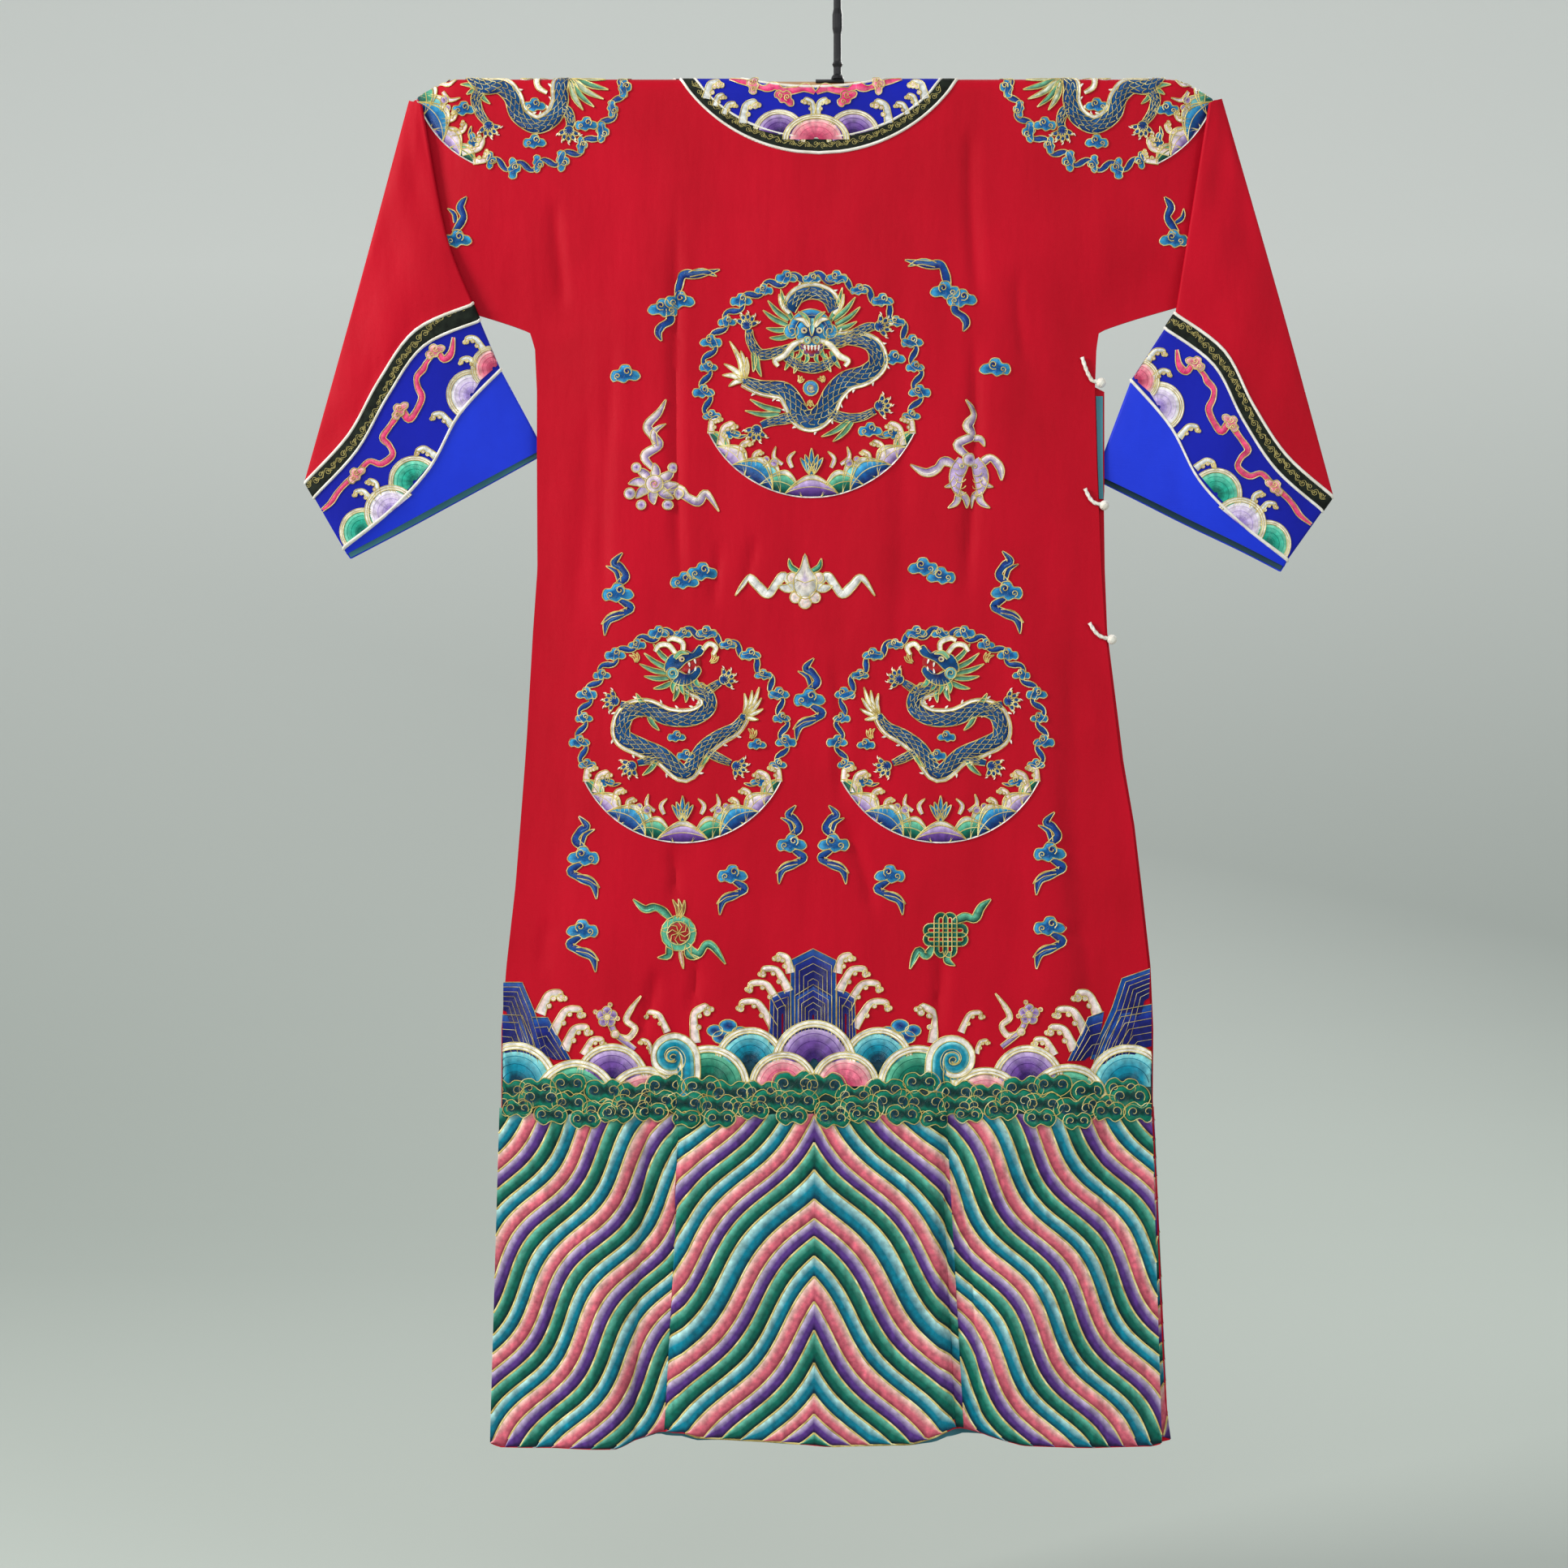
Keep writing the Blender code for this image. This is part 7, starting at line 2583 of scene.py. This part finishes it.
def endless_knot(e):
    """A square knot of one dark cord with gold edges, with green ribbons."""
    ribbon(e, ((10, -16), (24, -22), (36, -20), (44, -34), (56, -44)), 9, GREENS, 0.3)
    ribbon(e, ((-16, 14), (-24, 26), (-34, 20), (-44, 42)), 8, GREENS, 0.3)
    e.leaf((4, 20), (12, 38), 9, GREENS, 0.3, 0.35)
    loop = (GREEN, GREEN_DARK)
    for number, shift in enumerate(KNOT_SHIFTS):
        across = bent([(-KNOT_HALF, shift), (KNOT_HALF, shift)], 8)
        down = bent([(shift, -KNOT_HALF), (shift, KNOT_HALF)], 8)
        e.band(across, KNOT_CORD, loop, level=0.5 + 0.1 * number, parts=2)
        e.band(down, KNOT_CORD, loop, level=0.85 + 0.1 * number, parts=2)
    for x, y, start in KNOT_ENDS:
        e.band(arc(x, y, 5.5, start, start + 180, 8), KNOT_CORD, loop, level=0.6, parts=2)


FLOWER_RIBBON = ((12, 22), (26, 26), (34, 14), (24, 4), (30, -10), (42, -26))
FLOWER_STEM = ((4, 8), (12, 22), (34, 40))
FLOWER_BEADS = ((-14, -6), (4, -15), (13, 2))


def little_flower(e):
    """A lilac blossom on a thick stem with a cream ribbon, at the edge of the waves."""
    ribbon(e, FLOWER_RIBBON, 6, (CREAM, PINK_LIGHT), 0.3)
    e.band(spline(FLOWER_STEM, 5), (7, 7, 6), (PURPLE_LIGHT, PURPLE), level=0.4, parts=3)
    for angle in range(0, 360, 72):
        e.disc(*toward(angle - 90, 7), 6, (PURPLE_LIGHT, PURPLE), 0.6)
    e.disc(0, 0, 4, (CREAM, GOLD), 1.0)
    for bead_x, bead_y in FLOWER_BEADS:
        e.disc(bead_x, bead_y, 2.6, (CREAM, RED_THREAD), 0.4)
    e.disc(10, 21, 5, (CREAM, FOAM), 0.7)


TREASURES = (
    # drawing, x, y, mirror
    (knot_of_leaves, 806, 596, 1),
    (twin_fish, 1194, 590, 1),
    (ribboned_bell, 992, 718, 1),
    (wheel, 836, 1150, 1),
    (endless_knot, 1165, 1152, 1),
    (little_flower, 748, 1253, 1),
    (little_flower, 1268, 1250, -1),
)
CLOUDS = (
    # kind, x from the centre, y, mirror, scale
    ("crossed", -174, 374, 1, 1.0),
    ("crossed", 170, 362, -1, 1.0),
    ("single", -233, 461, 1, 0.95),
    ("single", 224, 453, -1, 0.95),
    ("pair", -148, 710, 1, 1.0),
    ("pair", 145, 704, -1, 1.0),
    ("tailed", -242, 731, 1, 1.0),
    ("tailed", 238, 729, -1, 1.0),
    ("tailed", -6, 861, 1, 1.0),
    ("tailed", -284, 1056, -1, 1.0),
    ("tailed", 290, 1051, 1, 1.0),
    ("tailed", -28, 1040, 1, 0.95),
    ("tailed", 24, 1040, -1, 0.95),
    ("hanging", -101, 1078, 1, 0.95),
    ("hanging", 94, 1078, -1, 0.95),
    ("hanging", -285, 1146, -1, 1.0),
    ("hanging", 290, 1142, 1, 1.0),
)
# On the front the overlap's border takes the place of what is above this height, and the bell hangs lower
OVERLAP_BORDER = 700
FRONT_BELL_DROP = 40


def scattered(e, side):
    """Clouds and treasures between the roundels of one side."""
    top = OVERLAP_BORDER if side == FRONT else 0
    for kind, x, y, mirror, scale in CLOUDS:
        x += FRAME_X
        if y < top:
            continue
        if kind == "crossed":
            crossed_cloud(e, x, y, mirror, scale)
        elif kind == "single":
            small_cloud(e, x, y, scale, 0.3, mirror)
        elif kind == "pair":
            small_cloud(e, x - 12 * mirror, y + 6, 0.9, 0.3, mirror)
            small_cloud(e, x + 10 * mirror, y - 5, 0.95, 0.5, mirror)
        else:
            tailed_cloud(e, x, y, mirror, scale, up=kind == "tailed")
    for draw, x, y, mirror in TREASURES:
        if y < top:
            continue
        drop = FRONT_BELL_DROP if side == FRONT and draw is ribboned_bell else 0
        e.place(x, y + drop, mirror=mirror)
        draw(e)
        e.place()


ROOT_CLOUD_X = (563, 1447)
ROOT_CLOUD_Y = 294
ROOT_RIBBON = ((-4, -8), (8, -26), (4, -40), (12, -52))
ROOT_LEAF = ((-2, -20), (-12, -38))


def sleeve_root_clouds(e):
    """A cloud with a ribbon on each sleeve root."""
    for mirror in (1, -1):
        x = left_or_right(ROOT_CLOUD_X, mirror)
        ribbon(e, [(x + mirror * px, ROOT_CLOUD_Y + py) for px, py in ROOT_RIBBON], 8)
        leaf = [(x + mirror * px, ROOT_CLOUD_Y + py) for px, py in ROOT_LEAF]
        e.leaf(*leaf, 6, RIBBON_TONES, 0.2, 0.25)
        small_cloud(e, x, ROOT_CLOUD_Y, 0.9, 0.4, mirror)


# The collar border and the cuffs

OLD_GOLD = srgb(196, 182, 116)
LAVENDERS = (WHITE, srgb(210, 192, 228), srgb(158, 134, 206))
MINTS = (srgb(130, 214, 184), srgb(40, 172, 146), srgb(0, 116, 98))
MAGENTAS = (PINK, MAGENTA, MAGENTA)


def drawn(x, s):
    """The reverse of unrolled: a place on the cloth as pixels."""
    return x / PIXEL + FRAME_X, (s + droop(x) + CLOTH - SHOULDER_ARC * fold_radius(x)) / PIXEL + FRAME_Y


def sewn_surface(side, base, upper):
    """As cloth_surface, on what is sewn to one layer."""
    def surface(px, py, lift):
        x, s = unrolled(px, py)
        return lifted(x, side * s, CLOTH + base + lift, upper)
    return surface


def facing_surface(px, py, lift):
    """The front's edge, turned in: what is drawn past the side edge lands inside it."""
    x, s = unrolled(px, py)
    depths = np.atleast_1d(depth_of_run(0.0, s))
    edge = np.array([read(SIDES, depth, OVERLAP_RIGHT) for depth in depths])
    return lifted(2 * edge - x, -s, -0.1 - lift, True)


HEAD_SPIRALS = (
    # place, radius, turns
    ((3, -3), 6.0, 1.3),
    ((-9, 2), 4.5, -1.2),
)


def head_cloud(e, x, y, size, angle, tones=PINKS):
    """A small cloud turned by an angle."""
    c, s = math.cos(math.radians(angle)), math.sin(math.radians(angle))
    turn = np.array([[c, s], [-s, c]]) * size
    e.patch(np.array(CLOUD_OUTLINE, float) @ turn + (x, y), (tones[0], tones[1], tones[1]), 0.5, 1.25)
    for spot, radius, turns in HEAD_SPIRALS:
        path = spiral(0, 0, radius, 60, turns, 11, 0.15) @ turn + np.array(spot) @ turn + (x, y)
        e.line(path, width=1.3, level=0.8)


SCROLL_STEP = 9.5


def scroll_line(e, path, width=0.7):
    e.line(path, width, height=0.25, colour=OLD_GOLD, slot=SATIN)


def scrolls(e, path, reach=3.4):
    """Fine gold scrolls along a ribbon."""
    step = SCROLL_STEP
    for number, _, centre, normal, along in stations(path, lengths_along(path), step * 0.6, step * 0.5, step):
        side = 1 if number % 2 else -1
        start = e.random.uniform(0, 360)
        scroll_line(e, spiral(*(centre + normal * side * 1.2), reach, start, side * 1.25, 10, 0.2))
        root = centre - along * step * 0.6
        tip = centre + along * step * 0.5 + normal * side * reach * 0.9
        scroll_line(e, spline([root, centre - normal * side * reach * 0.9, tip], 4))
        scroll_line(e, [centre, centre + (normal * side + along) * reach * 0.8], 0.8)


YOKE_MIDDLE = 1005.0
YOKE_FANS = (
    # x, y, radius, tones, level, start, end, squash
    (960, 167, 33, PURPLES, 0.1, 196, 376, 0.95),
    (1051, 167, 33, PURPLES, 0.1, 164, 344, 0.95),
    (1005.5, 172, 41, PINKS, 0.5, 180, 360, 0.75),
)
YOKE_SPRAYS = (
    # foot x, foot y, tip x, tip y, width, from the middle, on the right
    (2, 143, 12, 123, 6),
    (90, 152, 76, 126, 9),
    (113, 141, 101, 128, 6),
    (124, 131, 115, 118, 6),
    (135, 122, 121, 102, 9),
)
YOKE_CHAIN_WIDTHS = (4, 8, 7, 5, 10, 7, 9, 7, 10, 4)
YOKE_HEADS = (
    # from the middle, y, size, angle, tones
    (77, 105, 0.62, 80, PINKS),
    (38, 121, 0.7, -35, MAGENTAS),
)
YOKE_RIBBON = (1009, -17, 195.5, 143, 37, 60)
YOKE_CHAIN = ((106, 97), (92, 101), (76, 106), (62, 110), (50, 107), (40, 113), (24, 112), (12, 109),
              (1, 115))


def yoke_design(e):
    for row in YOKE_FANS:
        fan(e, *row)
    for side in (-1, 1):
        for foot_x, foot_y, tip_x, tip_y, width in YOKE_SPRAYS:
            foot = (YOKE_MIDDLE + side * foot_x, foot_y)
            spray(e, foot, (YOKE_MIDDLE + side * tip_x, tip_y), width, 0.3, (SILVER, WHITE))
        path = spline([(YOKE_MIDDLE + side * x, y) for x, y in YOKE_CHAIN], 6)
        e.band(path, YOKE_CHAIN_WIDTHS, MAGENTAS, level=0.2, parts=3)
        for x, y, size, angle, tones in YOKE_HEADS:
            head_cloud(e, YOKE_MIDDLE + side * x, y, size, angle * side, tones)


def yoke_scrolls(e):
    scrolls(e, arc(*YOKE_RIBBON))


def along_front_yoke(share):
    """The overlap's border at a share of its width, in pixels."""
    inner, outer = both_lines(front_yoke_lines())
    return np.stack(drawn(*mix(inner, outer, share).T), axis=1)


FRONT_CHAIN_WIDTHS = (4, 8, 5, 8, 5, 8, 5, 8, 5, 8, 4)
FAN_HALF = 88


def front_yoke_design(e):
    """The same fans, ribbons and foam, set along the overlap's border."""
    foot, top = along_front_yoke(0.7), along_front_yoke(0.26)
    sway = 4.0 * np.sin(np.arange(len(top)) * 0.55)
    e.band(offset(top, sway)[3:-3], FRONT_CHAIN_WIDTHS, MAGENTAS, level=0.2, parts=3)
    for number, index in enumerate(range(7, len(foot) - 6, 8)):
        reach = top[index] - foot[index]
        angle = math.degrees(math.atan2(reach[1], reach[0]))
        tones = (PURPLES, GREENS, PINKS)[number % 3]
        fan(e, *foot[index], 23, tones, 0.1, angle - FAN_HALF, angle + FAN_HALF)
        head_cloud(e, *top[index], 0.6, angle + 90)
        after = min(index + 4, len(foot) - 3)
        tip = foot[after] + (top[after] - foot[after]) * 0.62
        spray(e, foot[after], tip, 6, 0.3, (SILVER, WHITE))


def front_yoke_scrolls(e):
    scrolls(e, along_front_yoke(0.867))


CUFF_FANS = (
    # x, y, radius, tones, level, middle angle
    (447, 655, 29, MINTS, 0.1, 228),
    (511, 594, 32, MINTS, 0.1, 222),
    (482, 631, 33, LAVENDERS, 0.5, 232),
    (581, 486, 31, LAVENDERS, 0.1, 212),
    (608, 453, 28, PINKS, 0.5, 226),
)
CUFF_SPRAYS = (
    # foot x, foot y, tip x, tip y, width
    (596, 432, 576, 417, 7),
    (589, 452, 569, 443, 6),
    (556, 524, 535, 511, 7),
    (536, 562, 515, 555, 7),
    (466, 611, 456, 592, 6),
    (459, 619, 439, 606, 6),
)
CUFF_CHAIN = ((393, 631), (407, 620), (416, 607), (426, 596), (441, 583), (455, 569), (470, 572), (484, 561),
              (480, 549), (472, 540), (480, 527), (487, 517), (494, 505), (504, 517), (513, 507), (520, 490),
              (515, 477), (514, 465), (522, 455), (526, 447), (538, 434), (547, 443), (556, 435), (559, 416))
CUFF_HEADS = ((439, 585, -42), (493, 506, -50), (536, 433, -30))
CUFF_RIBBON = ((376, 600), (410, 575), (442, 540), (462, 510), (477, 480), (495, 445), (520, 415), (545, 391),
               (578, 376))


CUFF_CHAIN_WIDTHS = (3, 7, 6, 7, 6, 8, 6, 8, 6, 8, 9, 7, 8, 6, 8, 5, 7, 9, 3)
# Where the left cuff's drawing goes when it is mirrored onto the right cuff
MIRRORED_CUFF = (2009, 15)


def place_cuff(e, mirror):
    if mirror > 0:
        e.place()
    else:
        e.place(*MIRRORED_CUFF, mirror=-1)


def cuff_design(e, mirror):
    place_cuff(e, mirror)
    for x, y, radius, tones, level, middle in CUFF_FANS:
        fan(e, x, y, radius, tones, level, middle - FAN_HALF, middle + FAN_HALF)
    for foot_x, foot_y, tip_x, tip_y, width in CUFF_SPRAYS:
        spray(e, (foot_x, foot_y), (tip_x, tip_y), width, 0.3, (SILVER, WHITE))
    e.band(spline(CUFF_CHAIN, 5), CUFF_CHAIN_WIDTHS, MAGENTAS, level=0.2, parts=3)
    for x, y, angle in CUFF_HEADS:
        head_cloud(e, x, y, 0.66, angle)


def cuff_scrolls(e, mirror):
    place_cuff(e, mirror)
    scrolls(e, spline(CUFF_RIBBON, 8), 3.8)


def facing_design(e):
    """The stripes and the border's colours where the front's right edge is turned in."""
    leans = (FACING_LEAN, FACING_LEAN)
    stripe_region(e, 1, FACING_START, FACING_END, leans, SIDE_SWAY, SIDE_STEP, hem_line(FRONT_HEM))


HANDS = (("left", 1), ("right", -1))


def add_embroidery(name, surface, draw, *values, seed=1, slot="red", plain=False):
    """Draws a design on a surface and makes it ride with the robe."""
    work = Embroidery(surface, seed, plain)
    draw(work, *values)
    obj = work.build(name)
    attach(obj, "root")
    return obj


# Heights above the cloth's outer face
YOKE_FACE = 0.9
RIBBON_FACE = 1.2


def embroider_trims():
    """The collar border, the cuffs and their ribbons, on both sides."""
    made = {"yoke_back": [], "yoke_front": []}
    for label, side, upper, design, scroll in (("back", BACK, False, yoke_design, yoke_scrolls),
                                               ("front", FRONT, True, front_yoke_design, front_yoke_scrolls)):
        face, ribbon_face = (sewn_surface(side, base, upper) for base in (YOKE_FACE, RIBBON_FACE))
        made[f"yoke_{label}"] += [
            add_embroidery(f"yoke_design_{label}", face, design, slot="blue", plain=side == FRONT),
            add_embroidery(f"yoke_scrolls_{label}", ribbon_face, scroll, slot="ribbon")]
    made["yoke_front"].append(add_embroidery("facing_design", facing_surface, facing_design))
    for hand, mirror in HANDS:
        parts = [sleeves[f"{name}_{hand}"] for name in ("cuff", "cuff_edge", "cuff_ribbon")]
        rows = made[f"cuff_{hand}"] = []
        for label, side in (("back", BACK), ("front", FRONT)):
            surface = cast_surface(parts, side)
            rows.append(add_embroidery(f"cuff_design_{hand}_{label}", surface, cuff_design, mirror,
                                       slot="blue", plain=side == FRONT))
            rows.append(add_embroidery(f"cuff_scrolls_{hand}_{label}", surface, cuff_scrolls, mirror,
                                       slot="ribbon"))
    return made


SHEETS = (
    # piece, flat width, flat length, flat area, what it hangs from
    ("back_panel", 0.91, 1.40, 0.93, "hanger_bar"),
    ("front_overlap", 0.80, 1.40, 0.84, "hanger_bar"),
    ("front_under_flap", 0.46, 0.62, 0.22, "hanger_bar"),
    ("sleeve_left", 0.27, 0.30, 0.044, "cloth_back_panel"),
    ("sleeve_right", 0.27, 0.30, 0.044, "cloth_back_panel"),
    ("cuff_left", 0.40, 0.12, 0.043, "cloth_sleeve_left"),
    ("cuff_right", 0.40, 0.12, 0.043, "cloth_sleeve_right"),
    ("cuff_edge_left", 0.36, 0.09, 0.022, "cloth_cuff_left"),
    ("cuff_edge_right", 0.36, 0.09, 0.022, "cloth_cuff_right"),
)


YOKE_PIECES = {"back": "back_panel", "front": "front_overlap", "flap": "front_under_flap"}
CUFF_TRIMS = ("cuff_piping_upper", "cuff_ribbon", "cuff_piping_inner")
CUFF_EDGE_TRIMS = ("cuff_piping_lower", "cuff_lining")


def declare_sheets():
    """Each sheet of cloth, with what is sewn on it."""
    body = {piece: [] for piece in YOKE_PIECES.values()}
    for node, band in yokes.items():
        body[YOKE_PIECES[node.split("_")[-1]]].append(band)
    body["back_panel"] += stitched["back"] + trimmings["yoke_back"]
    body["front_overlap"] += stitched["front"] + trimmings["yoke_front"] + list(closure.values())
    for hand, _ in HANDS:
        cuff_trims = [sleeves[f"{name}_{hand}"] for name in CUFF_TRIMS]
        body[f"cuff_{hand}"] = cuff_trims + trimmings[f"cuff_{hand}"]
        body[f"cuff_edge_{hand}"] = [sleeves[f"{name}_{hand}"] for name in CUFF_EDGE_TRIMS]
    for piece, width, length, area, held_by in SHEETS:
        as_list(body.get(piece, []))


SIDE_EDGES = {
    # side: (left, right) of the wave border, in pixels from the centre
    "back": (-385, 417),
    "front": (-384, 420),
}


BODY_DESIGNS = (
    # name, drawing, seed, values for the drawing on the back and on the front
    ("stripes", stripes, 3, {BACK: (BACK_HEM,), FRONT: (FRONT_HEM,)}),
    ("waves", wave_border, 4, {BACK: SIDE_EDGES["back"], FRONT: SIDE_EDGES["front"]}),
    ("roundel_chest", chest_roundel, 5, {BACK: (BACK,), FRONT: (FRONT,)}),
    ("clouds", scattered, 7, {BACK: (BACK,), FRONT: (FRONT,)}),
    ("root_clouds", sleeve_root_clouds, 8, {BACK: (), FRONT: ()}),
    ("roundel_left", lower_roundel, 6, {BACK: (1,), FRONT: (1,)}),
    ("roundel_right", lower_roundel, 6, {BACK: (-1,), FRONT: (-1,)}),
)


def embroider():
    """Every design on the body. The front has the same ones, in plainer stitches and set lower."""
    made = {}
    for label, side in (("back", BACK), ("front", FRONT)):
        surface = cloth_surface(side)
        made[label] = [add_embroidery(f"{name}_{label}", surface, draw, *values[side], seed=seed,
                                      plain=side == FRONT)
                       for name, draw, seed, values in BODY_DESIGNS]
    surface = cloth_surface(BACK)
    made["back"] += [add_embroidery(f"roundel_shoulder_{hand}", surface, shoulder_roundel, mirror, seed=9)
                     for hand, mirror in HANDS]
    return made


make_camera()
make_stage()
panels = make_robe_panels()
yokes = make_robe_yokes()
sleeves = make_robe_sleeves()
closure = make_closure()
finish_hanger()
stitched = embroider()
trimmings = embroider_trims()
declare_sheets()
